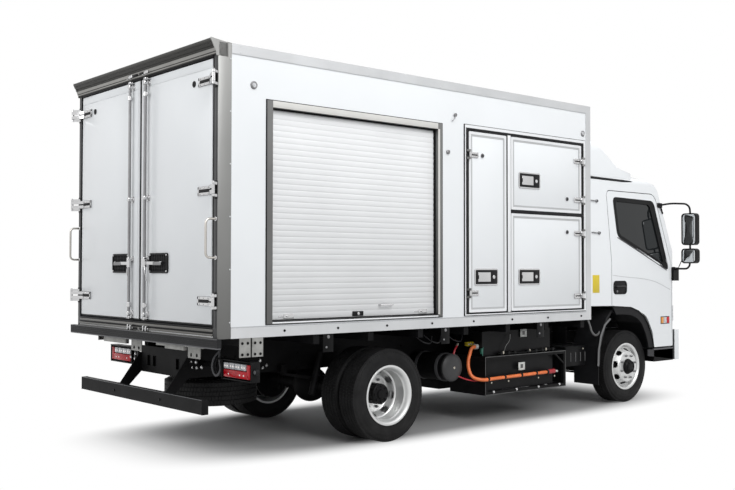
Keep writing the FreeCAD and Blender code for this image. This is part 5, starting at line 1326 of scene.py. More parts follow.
@dataclass(frozen=True)
class Cab:
    """The cab's smooth panels, windows, handles, lamps, mirrors and trim; places are from its back."""

    window: Outline = ((0.566, 1.881), (1.515, 1.510), (1.312, 2.294), (0.535, 2.307))
    pane: Outline = ((0.598, 1.899), (1.428, 1.575), (1.236, 2.258), (0.569, 2.272))
    arch: Outline = ((0.430, 1.098), (0.620, 1.088), (0.790, 1.074), (0.930, 1.032), (1.040, 0.965), (1.120, 0.870),
                     (1.180, 0.765), (1.214, 0.680), (1.230, 0.602))
    flare: Outline = ((0.500, 1.000), (0.640, 0.998), (0.790, 0.985), (0.900, 0.950), (0.985, 0.890), (1.050, 0.800),
                      (1.095, 0.710), (1.118, 0.650), (1.126, 0.602))
    crease: Outline = ((0.430, 1.437), (0.560, 1.423), (0.714, 1.412), (0.90, 1.402), (1.091, 1.386), (1.260, 1.358),
                       (1.404, 1.317), (1.570, 1.262))
    seam: Outline = ((0.411, 1.100), (0.411, 2.366), (0.428, 2.386), (1.330, 2.387), (1.366, 2.368), (1.590, 1.56),
                     (1.598, 1.520), (1.598, 0.748), (1.212, 0.748))
    bumper: float = CAB + 1.862
    grille: float = CAB + 1.752
    lamp_y: float = 0.76
    lamp_z: float = 0.520

    def build(self, repeat: Repeat) -> None:
        """Builds the cab's pieces.

        Args:
            repeat: Geometry node repeat for the small fasteners.
        """
        smooth_copy("cab_shell", WHITE_CAB, "cab")
        smooth_copy("roof_deflector", WHITE_CAB, "cab")
        smooth_copy("front_bumper", WHITE_CAB, "chassis")
        smooth_copy("mirrors", BLACK_PAINT, "cab")
        for side, name in SIDES:
            smooth_copy(f"cab_door_{name}", WHITE_CAB, f"{name}_cab_door")
            self._window(side, name)
            self._handle(side, name)
            self._marker(side, name)
            self._corner(side, name)
            self._step(side, name)
            self._mirror(side, name)
        self._roof_seam()
        self._face()
        self._bumper(repeat)

    @staticmethod
    def _at(side: float, u: float, z: float, out: float) -> Vector:
        """Returns a point on the cab's side, a little out of it."""
        half = min(1.030, 1.071 - 0.126 * (z - 1.120) / 1.420)
        return Vector((CAB + u, side * (half + out), z))

    def _band(self, piece: Piece, outer: Outline, inner: Outline, side: float, low: float, high: float, finish: int,
              looped: bool = True) -> None:
        """Adds a flat band between two outlines on the cab's side.

        Args:
            piece: The piece that takes the band.
            outer: Outer outline.
            inner: Inner outline with as many points.
            side: One for the left, minus one for the right.
            low: Distance of the back from the side's surface.
            high: Distance of the face from it.
            finish: Place of its finish.
            looped: True for a closed outline.
        """
        piece.rings([[self._at(side, *a, low), self._at(side, *a, high), self._at(side, *b, high),
                      self._at(side, *b, low)] for a, b in zip(outer, inner)], finish, looped=looped)

    def _window(self, side: float, name: str) -> None:
        """Builds a door's window surround and crease.

        Args:
            side: One for the left, minus one for the right.
            name: The side's name.
        """
        trim = Piece(f"cab_door_trim_{name}", SEAL, BLACK_PAINT, GREY_PLASTIC, CREASE_SHADE)
        middle = round_loop(quad_inset(self.window, -0.004), 0.062)
        self._band(trim, round_loop(quad_inset(self.window, -0.014), 0.07), middle, side, -0.004, 0.003, 0)
        self._band(trim, middle, round_loop(self.pane, 0.05), side, -0.009, 0.0015, 1)
        lowest = ((0.556, 1.862), (0.90, 1.7275), (1.20, 1.610), (1.49, 1.497))
        trim.tube([self._at(side, u, z, 0.002) for u, z in lowest], 0.005, 8, 2)
        # The crease is drawn as a thin grey band of painted shade.
        self._band(trim, [(u, z + 0.006) for u, z in self.crease], self.crease, side, -0.004, 0.0012, 3, looped=False)
        trim.object(f"{name}_cab_door")

    def _handle(self, side: float, name: str) -> None:
        """Builds a door's handle in its dish.

        Args:
            side: One for the left, minus one for the right.
            name: The side's name.
        """
        handle = Piece(f"cab_door_handle_{name}", PLASTIC, BLACK_PAINT, DULL_ROD)
        (u0, z0), (u1, z1) = (0.440, 1.226), (0.690, 1.376)
        rim = rounded_rectangle((u0 + 0.014, z0 + 0.014), (u1 - 0.014, z1 - 0.014), 0.034, 6)
        self._band(handle, rounded_rectangle((u0, z0), (u1, z1), 0.045, 6), rim, side, -0.003, 0.006, 1)
        handle.blocks(((u0 + 0.01, u1 - 0.01, 1.024, 1.0305, z0 + 0.01, z1 - 0.01, 0, 0.002),), CAB, side)
        bar = ((0.470, 1.302, 0.002), (0.480, 1.306, 0.016), (0.650, 1.306, 0.016), (0.662, 1.302, 0.002))
        handle.tube(bent([self._at(side, *p) for p in bar], 0.02), 0.011, 12, 1)
        handle.tube([self._at(side, 0.482, 1.316, 0.0165), self._at(side, 0.648, 1.316, 0.0165)], 0.0028, 8, 2)
        handle.rod(self._at(side, 0.510, 1.258, 0.0), self._at(side, 0.510, 1.258, 0.006), 0.013, 20, 2, 0.002)
        handle.object(f"{name}_cab_door")

    def _marker(self, side: float, name: str) -> None:
        """Builds a door's marker lamp, then the seam round the door.

        Args:
            side: One for the left, minus one for the right.
            name: The side's name.
        """
        lamp = Piece(f"side_marker_{name}", LAMP_AMBER, LAMP_CLEAR, LAMP_RED, PLASTIC)
        lamp.blocks([(u0, u1, 1.029, 1.039, 0.872, 0.944, finish, 0.006)
                     for u0, u1, finish in ((1.372, 1.420, 0), (1.421, 1.480, 1), (1.481, 1.540, 2))]
                    + [(1.364, 1.548, 1.028, 1.0325, 0.864, 0.952, 3, 0.003)], CAB, side)
        lamp.object(f"{name}_cab_door")
        seam = Piece(f"cab_door_seam_{name}", SEAL)
        line = []
        for (u0, z0), (u1, z1) in zip(self.seam, self.seam[1:]):
            steps = max(1, int(math.dist((u0, z0), (u1, z1)) / 0.12))
            line += [self._at(side, u0 + (u1 - u0) * i / steps, z0 + (z1 - z0) * i / steps, -0.007)
                     for i in range(steps)]
        seam.tube(line + [self._at(side, *self.seam[-1], -0.007)], 0.0052, 8)
        seam.object("cab")

    def _corner(self, side: float, name: str) -> None:
        """Builds what stands on the cab's side: flare, reflector and hooks.

        Args:
            side: One for the left, minus one for the right.
            name: The side's name.
        """
        trim = Piece(f"cab_side_trim_{name}", PLASTIC, BLACK_PAINT, YELLOW, DULL_ROD)
        count = 28
        outer = evened(self.arch, count)
        self._band(trim, outer, evened(self.flare, count), side, -0.026, -0.006, 0, looped=False)
        lip = evened([(u - 0.006, z - 0.010) for u, z in self.arch], count)
        self._band(trim, outer, lip, side, -0.008, 0.002, 1, looped=False)
        trim.blocks(((0.062, 0.183, 1.0285, 1.0325, 1.248, 1.442, 2, 0.002),), CAB, side)
        for z in (2.258, 1.904):
            hook = ((0.088, z + 0.004, -0.004), (0.09, z + 0.004, 0.014), (0.200, z, 0.014))
            trim.tube(bent([self._at(side, *p) for p in hook], 0.01), 0.0055, 10, 3)
            for low, high, radius, sides, finish, chamfer in ((-0.004, 0.020, 0.017, 18, 3, 0.004),
                                                              (0.016, 0.024, 0.009, 12, 0, 0.002)):
                trim.rod(self._at(side, 0.214, z, low), self._at(side, 0.214, z, high), radius, sides, finish, chamfer)
        trim.object("cab")

    @staticmethod
    def _step(side: float, name: str) -> None:
        """Builds the step's ribs, edge and face.

        Args:
            side: One for the left, minus one for the right.
            name: The side's name.
        """
        step = Piece(f"step_trim_{name}", PLASTIC, GREY_PLASTIC, WORN_STEP)
        x0, x1, y = 1.232, 1.626, 1.025
        step.blocks([(x0 + 0.03 + i * 0.040, x0 + 0.044 + i * 0.040, 0.81, 1.0, 0.5765, 0.5835, 0, 0.002)
                     for i in range(9)], CAB, side)
        step.blocks(((x0 - 0.002, x1 + 0.012, y - 0.022, y + 0.002, 0.565, 0.583, 1, 0.004),), CAB, side)
        face = [(x0 - 0.12, 0.578), (x1 + 0.01, 0.566), (x1 + 0.01, 0.440), (x0 - 0.12, 0.505)]
        low, high = sorted((side * (y - 0.012), side * y))
        step.prism([(CAB + u, z) for u, z in face], "Y", low, high, 2)
        step.blocks(((1.640, 1.660, 0.985, 1.026, 0.436, 0.790, 2, 0.004),), CAB, side)
        step.object("chassis")

    def _mirror(self, side: float, name: str) -> None:
        """Builds the mirror glasses, their rims and the arms' brackets.

        Args:
            side: One for the left, minus one for the right.
            name: The side's name.
        """
        glass = Piece(f"mirror_glass_{name}", MIRROR, PLASTIC, DULL_ROD)
        y = side * 1.245
        for x, low, high in ((CAB + 1.630, 1.790, 2.165), (CAB + 1.625, 1.575, 1.750)):
            glass.frame("X", (y - 0.095, low), (y + 0.095, high), (0.012,), x + 0.004, x - 0.008, 0.040, 0.030, 1)
            self._convex_pane(glass, (y - 0.083, low + 0.012), (y + 0.083, high - 0.012), x)
        base = self._at(side, 1.430, 2.268, 0.0)
        glass.block(base - Vector((0.030, 0.020, 0.035)), base + Vector((0.055, 0.020, 0.022)), 1, 0.008)
        glass.rod(base + Vector((0.02, side * 0.018, -0.028)), base + Vector((0.055, side * 0.020, -0.105)), 0.009, 10,
                  1, 0.002)
        glass.rod(base + Vector((0.0, side * 0.018, 0.0)), base + Vector((0.0, side * 0.030, 0.0)), 0.012, 12, 1, 0.002)
        glass.rods(((1.652, 1.085, 1.512, 1.64, 1.165, 1.655, 0.005, 8, 1, 0.0),
                    (1.640, 1.030, 1.492, 1.640, 1.030, 1.534, 0.024, 16, 1, 0.004),
                    (1.640, 1.030, 1.512, 1.640, 1.090, 1.512, 0.017, 14, 1, 0.003)), CAB, side)
        glass.object("cab")

    @staticmethod
    def _convex_pane(glass: Piece, low: Flat, high: Flat, x: float) -> None:
        """Adds a bulging mirror glass that faces the rear.

        Args:
            glass: The piece that takes the glass.
            low: Its lower corner, seen from the rear.
            high: Its upper corner.
            x: Place of its rim along the truck.
        """
        y, z = (low[0] + high[0]) / 2, (low[1] + high[1]) / 2
        rim = rounded_rectangle(low, high, 0.030)
        rings = [[(x + 0.004, a, b) for a, b in rim]]
        for share, bulge in ((1.0, 0.0), (0.94, 0.004), (0.8, 0.010), (0.6, 0.0155), (0.4, 0.019), (0.2, 0.021),
                             (0.05, 0.0216)):
            rings.append([(x - 0.003 - bulge * 0.55, y + (a - y) * share, z + (b - z) * share) for a, b in rim])
        glass.rings(rings, 0)

    @staticmethod
    def _roof_seam() -> None:
        """Builds the dark strip between deflector and roof."""
        strip = Piece("deflector_seal", SEAL)
        for side, _ in SIDES:
            strip.tube([(CAB + 0.052 + 0.96 * i / 13, side * (0.9400 - 0.004 * max(0, i - 9)), 2.520 - 0.012 * i / 13)
                        for i in range(14)], 0.016, 10)
        strip.object("cab")

    def _face(self) -> None:
        """Builds the cab's grille, lines and wipers."""
        face = Piece("cab_front_trim", PLASTIC, GREY_PLASTIC, BLACK_PAINT, CREASE_SHADE)
        x = self.grille
        # The two thin grey lines across the face are painted shade in its creases.
        face.blocks([(-0.012, 0.006, -0.50, 0.50, 0.905 + i * 0.036, 0.927 + i * 0.036, 0 if i % 2 else 2, 0.005)
                     for i in range(5)]
                    + [(-0.02, -0.006, -0.52, 0.52, 0.890, 1.100, 2, 0.006),
                       (-0.03, -0.0015, -0.62, 0.62, 1.165, 1.171, 3, 0.0),
                       (-0.03, -0.0075, -0.62, 0.62, 1.425, 1.431, 3, 0.0)], x)
        for y in (-0.42, 0.30):
            foot, tip = Vector((CAB + 1.690, y, 1.545)), Vector((CAB + 1.560, y + 0.40, 1.965))
            face.rod(foot - Vector((0.03, 0, 0.02)), foot + Vector((0.012, 0, 0.008)), 0.020, 16, 0, 0.004)
            middle = foot.lerp(tip, 0.6) + Vector((0.055, 0, 0.01))
            face.tube([foot + Vector((0.02, 0, 0.01)), middle, tip + Vector((0.05, 0, 0))], 0.007, 8, 0)
            face.tube([foot + Vector((0.030, 0.10, 0.05)), tip + Vector((0.045, 0.02, 0.08))], 0.006, 8, 0)
        face.object("cab")

    def _bumper(self, repeat: Repeat) -> None:
        """Builds the bumper's blank plate, dark band, fog lamps and small bolts.

        Args:
            repeat: Geometry node repeat for the small fasteners.
        """
        x, y, z = self.bumper, self.lamp_y, self.lamp_z
        trim = Piece("bumper_trim", PLASTIC, GREY_PLASTIC, BLACK_PAINT)
        trim.blocks([(-0.010, 0.0004, -0.26, 0.26, 0.600, 0.715, 1, 0.002),
                     (-0.040, 0.0001, -0.62, 0.62, 0.470, 0.565, 2, 0.002)]
                    + [(-0.006, 0.0004, i * 0.14 - 0.566, i * 0.14 - 0.554, 0.476, 0.560, 0, 0.001)
                       for i in range(9)], x)
        trim.rods([(-0.080, v, z, -0.040, v, z, 0.048, 24, 2, 0.003) for v in (-y, y)], x)
        trim.object("chassis")
        lamps = Piece("front_lamps", LAMP_CLEAR, LAMP_AMBER)
        lamps.rods([(-0.060, v, z, -0.036, v, z, 0.038, 24, 0, 0.004) for v in (-y, y)], x)
        lamps.object("chassis")
        places = [((x - 0.003, v, w), (1.0, 0.0, 0.0)) for v in (-0.22, 0.22) for w in (0.625, 0.690)]
        repeat.spread("front_bolts", fastener(Head.DOME), places, CHROME, "chassis", "black_plastic", 0.014)


@dataclass(frozen=True)
class BodySide:
    """Fine parts on the body's sides: seams, markers, hooks, plugs, rivets and plate bolts."""

    y: float = -HALF + 0.001
    plugs: tuple[tuple[str, float, float], ...] = (
        ("upper_side_door", 0.890, 2.225), ("lower_side_door", 0.890, 1.886), ("tall_side_door", -0.381, 2.575))

    def build(self, repeat: Repeat) -> None:
        """Builds the parts.

        Args:
            repeat: Geometry node repeat for the bolts and rivets.
        """
        trim = Piece("body_side_trim", CREASE_SHADE, DULL_ROD, SEAL, ALUMINIUM, LAMP_CLEAR)
        for side, _ in SIDES:
            # The two thin grey strips along each side are painted shade along the panel's joints.
            trim.blocks([(0.125, BODY_LENGTH - 0.06, HALF - 0.004, HALF - 0.0005, z0, z1, 0, 0.0)
                         for z0, z1 in ((3.139, 3.1445), (1.058, 1.066))], REAR, side)
            for x in (0.323, 4.44):
                spot, out = (REAR + x, side * (HALF - 0.002), 2.925), (0.0, side, 0.0)
                trim.lathe([(CORE, -0.002), (0.030, -0.002), (0.030, 0.006), (0.024, 0.010), (0.020, 0.007),
                            (CORE, 0.007)], spot, out, 28, 1)
                trim.lathe([(CORE, 0.004), (0.019, 0.004), (0.017, 0.009), (CORE, 0.011)], spot, out, 24, 4)
        trim.lathe([(CORE, -0.002), (0.020, -0.002), (0.020, 0.010), (0.012, 0.016), (CORE, 0.016)],
                   (REAR + 2.442, self.y, 2.574), RIGHT_WAY, 24, 1)
        x, y, z = REAR + 2.534, self.y, 2.922
        trim.rod((x, y, z), (x, y - 0.016, z), 0.017, 18, 1, 0.003)
        trim.pipe([(0.0, y - 0.010, z), (-0.012, y - 0.016, z - 0.030), (-0.045, y - 0.010, z - 0.060)], 0.02, 0.004,
                  8, 1, x)
        trim.object("chassis")
        self._plugs()
        self._locker_frames()
        self._fasteners(repeat)

    def _plugs(self) -> None:
        """Builds the dark plugs on the locker doors beside their hinges."""
        for body, x, z in self.plugs:
            plug = Piece(f"{body}_plug", GREY_PLASTIC, SEAL)
            spot = (x, -HALF - 0.001, z)
            plug.lathe([(CORE, -0.002), (0.020, -0.002), (0.020, 0.004), (0.015, 0.007), (CORE, 0.007)], spot,
                       RIGHT_WAY, 24, 0)
            plug.lathe([(CORE, 0.0065), (0.010, 0.0065), (0.009, 0.009), (CORE, 0.010)], spot, RIGHT_WAY, 20, 1)
            plug.object(body)

    @staticmethod
    def _locker_frames() -> None:
        """Builds the bright outer line of the lockers' frame and the frames' gaskets."""
        light = Piece("locker_frame_faces", EDGE_STRIP, SEAL)
        y = -HALF - 0.0052
        light.frame("Y", (REAR + 2.660, 1.076), (REAR + 4.470, 2.848), (0.012, 0.010, 0.025, 0.027), y, y - 0.0015,
                    0.004, 0.002, 0)
        for x0, x1, top in ((2.652, 4.478, 2.854), (0.438, 2.374, 2.831)):
            light.frame("Y", (REAR + x0, 1.070), (REAR + x1, top), (0.009, 0.007), -HALF + 0.004, -HALF - 0.0008,
                        0.004, 0.003, 1)
        light.object("chassis")

    @staticmethod
    def _fasteners(repeat: Repeat) -> None:
        """Builds the rows of rivets, the plates' bolts and the covers on the forward plates.

        Args:
            repeat: Geometry node repeat for the small fasteners.
        """
        rivets, bolts, corners = [], [], []
        for side, _ in SIDES:
            out, y = (0.0, side, 0.0), side * HALF
            for z in (3.158, 3.208):
                rivets += row((REAR + 0.20, y, z), (REAR + 4.50, y, z), 0.43, out)
            bolts += row((REAR + 0.62, y, 1.020), (REAR + 4.40, y, 1.020), 0.54, out)
            rivets += row((REAR + 4.50, y, 1.15), (REAR + 4.50, y, 3.05), 0.38, out)
            rivets += row((REAR + 0.112, y, 1.10), (REAR + 0.112, y, 3.10), 0.40, out)
            corners += [((REAR + x + dx, side * 1.2215, z), out) for x in (0.204, 0.320) for dx in (0.025, 0.075)
                        for z in (0.851, 0.937)]
        cover = Piece("bracket_covers", BLACK_PAINT, DULL_ROD)
        for side, _ in SIDES:
            for x in (1.010, 2.360, 3.700):
                cover.blocks(((-0.003, 0.103, 1.2140, 1.2232, 0.828, 0.9765, 0, 0.002),), REAR + x, side)
                cover.rods(((0.050, 1.2225, 0.952, 0.050, 1.2290, 0.952, 0.014, 16, 1, 0.002),
                            (0.030, 1.2225, 0.868, 0.030, 1.2275, 0.868, 0.010, 6, 1, 0.001)), REAR + x, side)
        cover.object("chassis")
        for name, head, places, finish, slot, size in (
                ("body_rivets", Head.DOME, rivets, ALUMINIUM, "aluminium_profile", 0.012),
                ("rail_bolts", Head.HEX, bolts, BLACK_PAINT, "aluminium_profile", 0.017),
                ("plate_bolts", Head.HEX, corners, BLACK_PAINT, "stainless", 0.018)):
            repeat.spread(name, fastener(head), places, finish, "chassis", slot, size)


@dataclass(frozen=True)
class Underside:
    """Fine parts of the frame: lamps, plates, pipes, cables, clips, labels, springs and brakes."""

    lamp_x: float = REAR + 0.330
    lamp_low: float = 0.640
    lamp_high: float = 0.770
    lamp_inner: float = 0.790
    lamp_outer: float = 1.190
    cable_y: float = -1.0195
    clip_xs: tuple[float, ...] = (3.200, 3.440, 3.690, 3.920)
    tank: tuple[float, float, float] = (REAR + 2.835, -0.890, 0.560)

    def build(self, repeat: Repeat) -> None:
        """Builds the parts.

        Args:
            repeat: Geometry node repeat for bolts and clips.
        """
        for side, name in SIDES:
            self._lamp(side, name)
        self._rear_plates()
        self._cables()
        self._battery()
        self._tank_and_pipes()
        self._cab_surroundings()
        self._axles()
        self._louvred_box()
        self._bolts(repeat)

    def _lamp(self, side: float, name: str) -> None:
        """Builds a rear lamp with its segments, shield and bracket.

        Args:
            side: One for the left, minus one for the right.
            name: The side's name.
        """
        lamp = Piece(f"rear_lamp_{name}", LAMP_RED, LAMP_CLEAR, PLASTIC, BLACK_PAINT, LAMP_SPARK)
        x, inner, outer, low, high = self.lamp_x, self.lamp_inner, self.lamp_outer, self.lamp_low, self.lamp_high
        lamp.blocks(((0.012, 0.070, inner, outer, low, high, 2, 0.008),), x, side)
        middle = (low + high) / 2 + 0.004
        upper, lower = (middle + high) / 2 - 0.004, (low + middle) / 2
        width = (outer - inner - 0.075) / 4
        for i in range(4):
            u0 = inner + 0.012 + i * width
            c, d = sorted((side * u0, side * (u0 + width - 0.004)))
            lamp.block((x - 0.004, c, middle + 0.003), (x + 0.02, d, high - 0.008), 1, 0.005)
            for share in (0.28, 0.72):
                spot = c + (d - c) * share
                lamp.rod((x - 0.0050, spot, upper), (x + 0.01, spot, upper), 0.011, 16, 4, 0.003)
        lamp.blocks(((-0.004, 0.02, inner + 0.012, outer - 0.012, low + 0.007, middle - 0.002, 0, 0.006),
                     (-0.0045, 0.02, outer - 0.060, outer - 0.012, low + 0.007, high - 0.008, 0, 0.006)), x, side)
        lamp.rods([(-0.0055, u, lower, 0.0, u, lower, 0.008, 16, 4, 0.002)
                   for u in (inner + 0.085, inner + 0.245, inner + 0.300)], x, side)
        lamp.blocks(((-0.010, 0.075, inner - 0.10, outer + 0.012, high + 0.006, high + 0.016, 3, 0.003),
                     (-0.006, 0.075, inner - 0.016, inner - 0.004, low - 0.014, high + 0.01, 3, 0.002),
                     (-0.006, 0.075, outer + 0.003, outer + 0.013, low - 0.014, high + 0.01, 3, 0.002),
                     (-0.004, 0.06, inner, outer, low - 0.014, low - 0.004, 3, 0.002)), x, side)
        made = lamp.object("chassis")
        if side > 0:
            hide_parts("tail_lamps")
        bracket = Piece(f"rear_lamp_bracket_{name}", BLACK_STEEL, GREY_PLASTIC, PLASTIC)
        bracket.blocks(((0.020, 0.050, 0.400, 0.800, 0.700, 0.742, 0, 0.004),), x, side)
        bracket.rods(((0.015, 1.218, 0.708, 0.045, 1.218, 0.708, 0.024, 24, 2, 0.004),
                      (0.010, 1.218, 0.708, 0.018, 1.218, 0.708, 0.015, 20, 1, 0.003)), x, side)
        bracket.blocks(((0.030, 0.045, 1.19, 1.222, 0.695, 0.722, 0, 0.003),), x, side)
        loop = [(0.02, 0.700, 0.84), (-0.005, 0.650, 0.78), (-0.012, 0.636, 0.70), (-0.005, 0.690, 0.628),
                (0.01, 0.745, 0.690), (0.01, 0.715, 0.770), (0.03, 0.690, 0.870)]
        bracket.pipe(loop, 0.06, 0.009, 12, 1, x, side)
        bracket.pipe([(u + 0.02, v + 0.018, w) for u, v, w in loop], 0.06, 0.006, 10, 2, x, side)
        bracket.object("chassis")

    @staticmethod
    def _rear_plates() -> None:
        """Builds the light plates behind the buffer, the buffer's lips and the guard's end caps."""
        plate = Piece("rear_plates", GALVANISED, BLACK_PAINT, STAINLESS)
        hole_ys, hole_z = (0.455, 0.545), 0.800
        upright = Matrix(((0, 0, 1, REAR + 0.232), (1, 0, 0, 0), (0, 1, 0, 0), (0, 0, 0, 1)))
        for side, _ in SIDES:
            a, b = sorted((side * 0.402, side * 0.600))
            holes = [arc((side * y, hole_z), 0.016, 0, 337.5, 15) for y in hole_ys]
            pierced(plate, rounded_rectangle((a, 0.772), (b, 0.905), 0.008), holes, 0.0, 0.006, upright)
            plate.rods([(0.2375, y, hole_z, 0.242, y, hole_z, 0.0165, 12, 1, 0.0) for y in hole_ys], REAR, side)
        plate.blocks([(0.075, 0.110, low, high, under, 0.897, 0, 0.003) for low, high, under in (
            (0.40, 0.83, 0.848), (-0.60, -0.30, 0.852), (-0.30, -0.15, 0.872), (-0.90, -0.60, 0.884))], REAR)
        plate.object("chassis")
        lip = Piece("buffer_lip", GREY_PLASTIC, CREASE_SHADE, BLACK_PAINT)
        lip.blocks([(-0.0405, -0.004, -1.290, 1.290, 0.907, 0.9165, 0, 0.002),
                    (-0.0415, -0.030, -1.286, 1.286, 0.978, 0.9835, 0, 0.002)]
                   + [(-0.0412, -0.039, -1.288, 1.288, z - 0.001, z + 0.001, 2, 0.0005) for z in (0.935, 0.950, 0.965)],
                   REAR)
        lip.object("chassis")
        guard = Piece("guard_trim", BLACK_PAINT, GREY_PLASTIC)
        for side, _ in SIDES:
            guard.blocks(((-0.030, 0.030, 1.0585, 1.0645, 0.398, 0.512, 0, 0.003),), REAR, side)
        guard.blocks(((-0.0285, -0.020, -1.055, 1.055, 0.5075, 0.5115, 1, 0.001),), REAR)
        for side, _ in SIDES:
            guard.rods(((-0.028, 0.405, 0.45, -0.034, 0.405, 0.45, 0.012, 6, 0, 0.001),), REAR, side)
        guard.object("chassis")

    def _cables(self) -> None:
        """Builds the orange cable's clips, its connector and the small wires round it."""
        clips = Piece("cable_clips", PLASTIC, RED_PIPE, LABEL, COPPER)
        y = self.cable_y
        for x in self.clip_xs:
            z = 0.4365 + (x - self.clip_xs[0]) * 0.012
            clips.rods(((-0.012, y, z, 0.012, y, z, 0.0225, 20, 0, 0.003),), REAR + x)
        clips.rods(((4.105, y, 0.445, 4.215, y, 0.447, 0.024, 24, 1, 0.005),
                    (4.085, y, 0.4445, 4.108, y, 0.445, 0.026, 24, 0, 0.003),
                    (4.212, y, 0.447, 4.262, y - 0.002, 0.442, 0.011, 14, 2, 0.003),
                    (3.165, -0.878, 0.742, 3.20, -0.878, 0.742, 0.026, 20, 2, 0.004)), REAR)
        clips.object("chassis")
        wires = Piece("small_wires", GREEN_WIRE, YELLOW, COPPER, RED_PIPE, GREY_PLASTIC)
        wires.pipe([(3.42, -0.86, 0.895), (3.37, -0.90, 0.84), (3.33, -0.93, 0.78), (3.25, -0.93, 0.765),
                    (3.19, -0.92, 0.70)], 0.05, 0.0075, 10, 0, REAR)
        wires.pipe([(3.40, -0.84, 0.895), (3.30, -0.90, 0.80), (3.21, -0.94, 0.73), (3.185, -0.96, 0.66)], 0.05, 0.006,
                   10, 0, REAR)
        wires.blocks(((3.172, 3.196, -0.960, -0.935, 0.675, 0.730, 0, 0.006),), REAR)
        for i in range(3):
            x = REAR + 3.095 + i * 0.036
            wires.blocks(((0.004, 0.021, -0.845, -0.800, 0.748, 0.788, 1, 0.005),), x)
            wires.rods(((0.013, -0.845, 0.768, 0.013, -0.856, 0.768, 0.009, 12, 2, 0.002),), x)
        wires.pipe([(2.93, -0.86, 0.762), (2.88, -0.885, 0.735), (2.85, -0.89, 0.68)], 0.03, 0.009, 10, 3, REAR)
        wires.rods(((2.925, -0.858, 0.758, 2.955, -0.848, 0.782, 0.012, 12, 2, 0.002),), REAR)
        wires.pipe([(2.895, -0.895, 0.478), (2.98, -0.93, 0.440), (3.10, -0.94, 0.415), (3.17, -0.94, 0.420)], 0.05,
                   0.007, 10, 3, REAR)
        for start in (2.60, 2.72, 3.02):
            wires.pipe([(0.0, -0.62, 0.86), (0.03, -0.70, 0.80), (0.12, -0.72, 0.78), (0.17, -0.68, 0.85)], 0.05, 0.006,
                       8, 4, REAR + start)
        wires.object("chassis")

    @staticmethod
    def _battery() -> None:
        """Builds the packs' labels, lids, ribs and the frame's bright edges, which are painted highlights."""
        cover = Piece("battery_trim", LABEL, BLACK_PAINT, GREY_METAL_AND_HIGHLIGHT, COPPER, GREEN_WIRE)
        for side, _ in SIDES:
            for x, z, out in ((3.757, 0.816, 0.952), (3.690, 0.485, 0.983)):
                cover.blocks(((0.0, 0.098, out, out + 0.003, z, z + 0.078, 0, 0.001),
                              (0.030, 0.068, out + 0.0024, out + 0.0040, z + 0.020, z + 0.058, 2, 0.0)), REAR + x, side)
            # Painted highlights: light strips along the frame's edges.
            cover.blocks([(x0, x1, 0.996, 1.0025, z0, z1, 2, 0.001) for x0, x1, z0, z1 in (
                (3.184, 4.426, 0.272, 0.279), (3.184, 4.426, 0.641, 0.648), (3.181, 3.187, 0.276, 0.646),
                (4.422, 4.428, 0.276, 0.646))], REAR, side)
            cover.tube([(REAR + 4.25, side * 0.99, 0.628), (REAR + 4.40, side * 0.99, 0.515)], 0.010, 8, 1)
            cover.blocks([(x, x + 0.020, 0.960, 0.984, 0.660, 0.690, 3, 0.005) for x in (3.46, 3.86, 4.12)]
                         + [(x, x + 0.036, 0.955, 0.988, 0.652, 0.684, 1, 0.006)
                            for x in (3.42, 3.53, 3.62, 3.83, 3.95, 4.05, 4.22)], REAR, side)
            cover.pipe([(3.40, 0.97, 0.668), (3.75, 0.978, 0.660), (4.28, 0.97, 0.672)], 0.1, 0.009, 10, 1, REAR, side)
            cover.rods([(x, 0.99, 0.392, x, 1.004, 0.392, 0.010, 6, 3, 0.001) for x in (3.27, 3.52, 3.98, 4.24)],
                       REAR, side)
            cover.pipe([(3.58, 0.97, 0.85), (3.56, 0.98, 0.79), (3.50, 0.98, 0.74), (3.49, 0.97, 0.69)], 0.03, 0.0055,
                       8, 2, REAR, side)
        cover.object("chassis")

    def _tank_and_pipes(self) -> None:
        """Builds the tank's domed end with its straps and the loose hoses behind the cab."""
        tank = Piece("tank_trim", TANK, GREY_PLASTIC, COPPER)
        x, y, z = self.tank
        tank.lathe([(CORE, -0.02), (0.1335, -0.02), (0.1335, 0.0), (0.122, 0.012), (0.09, 0.022), (0.045, 0.028),
                    (CORE, 0.029)], (x, y, z), RIGHT_WAY, 48, 0)
        for strap in (-0.80, -0.52):
            tank.lathe([(0.1325, -0.018), (0.1365, -0.018), (0.1365, 0.018), (0.1325, 0.018)], (x, strap, z), (0, 1, 0),
                       48, 1)
        tank.rod((x, y - 0.028, z), (x, y - 0.032, z), 0.012, 16, 2, 0.002)
        tank.object("chassis")
        hose = Piece("cab_hoses", HOSE, PLASTIC)
        for side in (-1.0, 1.0):
            hose.pipe([(4.90, 0.90, 1.02), (4.940, 0.93, 0.90), (4.962, 0.94, 0.81), (5.03, 0.945, 0.768),
                       (5.095, 0.945, 0.80), (5.155, 0.94, 0.89), (5.235, 0.92, 0.965)], 0.06, 0.012, 12, 0, REAR, side)
            hose.pipe([(4.89, 0.93, 1.24), (4.955, 0.985, 1.215), (4.985, 0.985, 1.165), (4.93, 0.96, 1.13)], 0.04,
                      0.020, 12, 1, REAR, side)
        hose.object("chassis")

    @staticmethod
    def _cab_surroundings() -> None:
        """Builds the mudguards' light strips and the liners of the front arches."""
        guard = Piece("mudguard_strips", SATIN, GREY_PLASTIC)
        path = ((1.933, 0.961), (1.833, 0.895), (1.759, 0.770), (1.718, 0.616), (1.707, 0.446))
        for side in (-1.0, 1.0):
            y0, y1 = side * 0.9925, side * 0.9965
            guard.rings([[(x, y0, z), (x, y1, z), (x + 0.028, y1, z - 0.010), (x + 0.028, y0, z - 0.010)]
                         for x, z in path], 0)
        guard.object("chassis")
        liner = Piece("arch_liners", PLASTIC)
        for side in (-1.0, 1.0):
            liner.blocks(((1.79, 2.72, 0.600, 0.612, 0.880, 1.080, 0, 0.004),
                          (2.36, 2.72, 0.600, 0.612, 0.818, 0.885, 0, 0.002)), side=side)
        liner.object("cab")

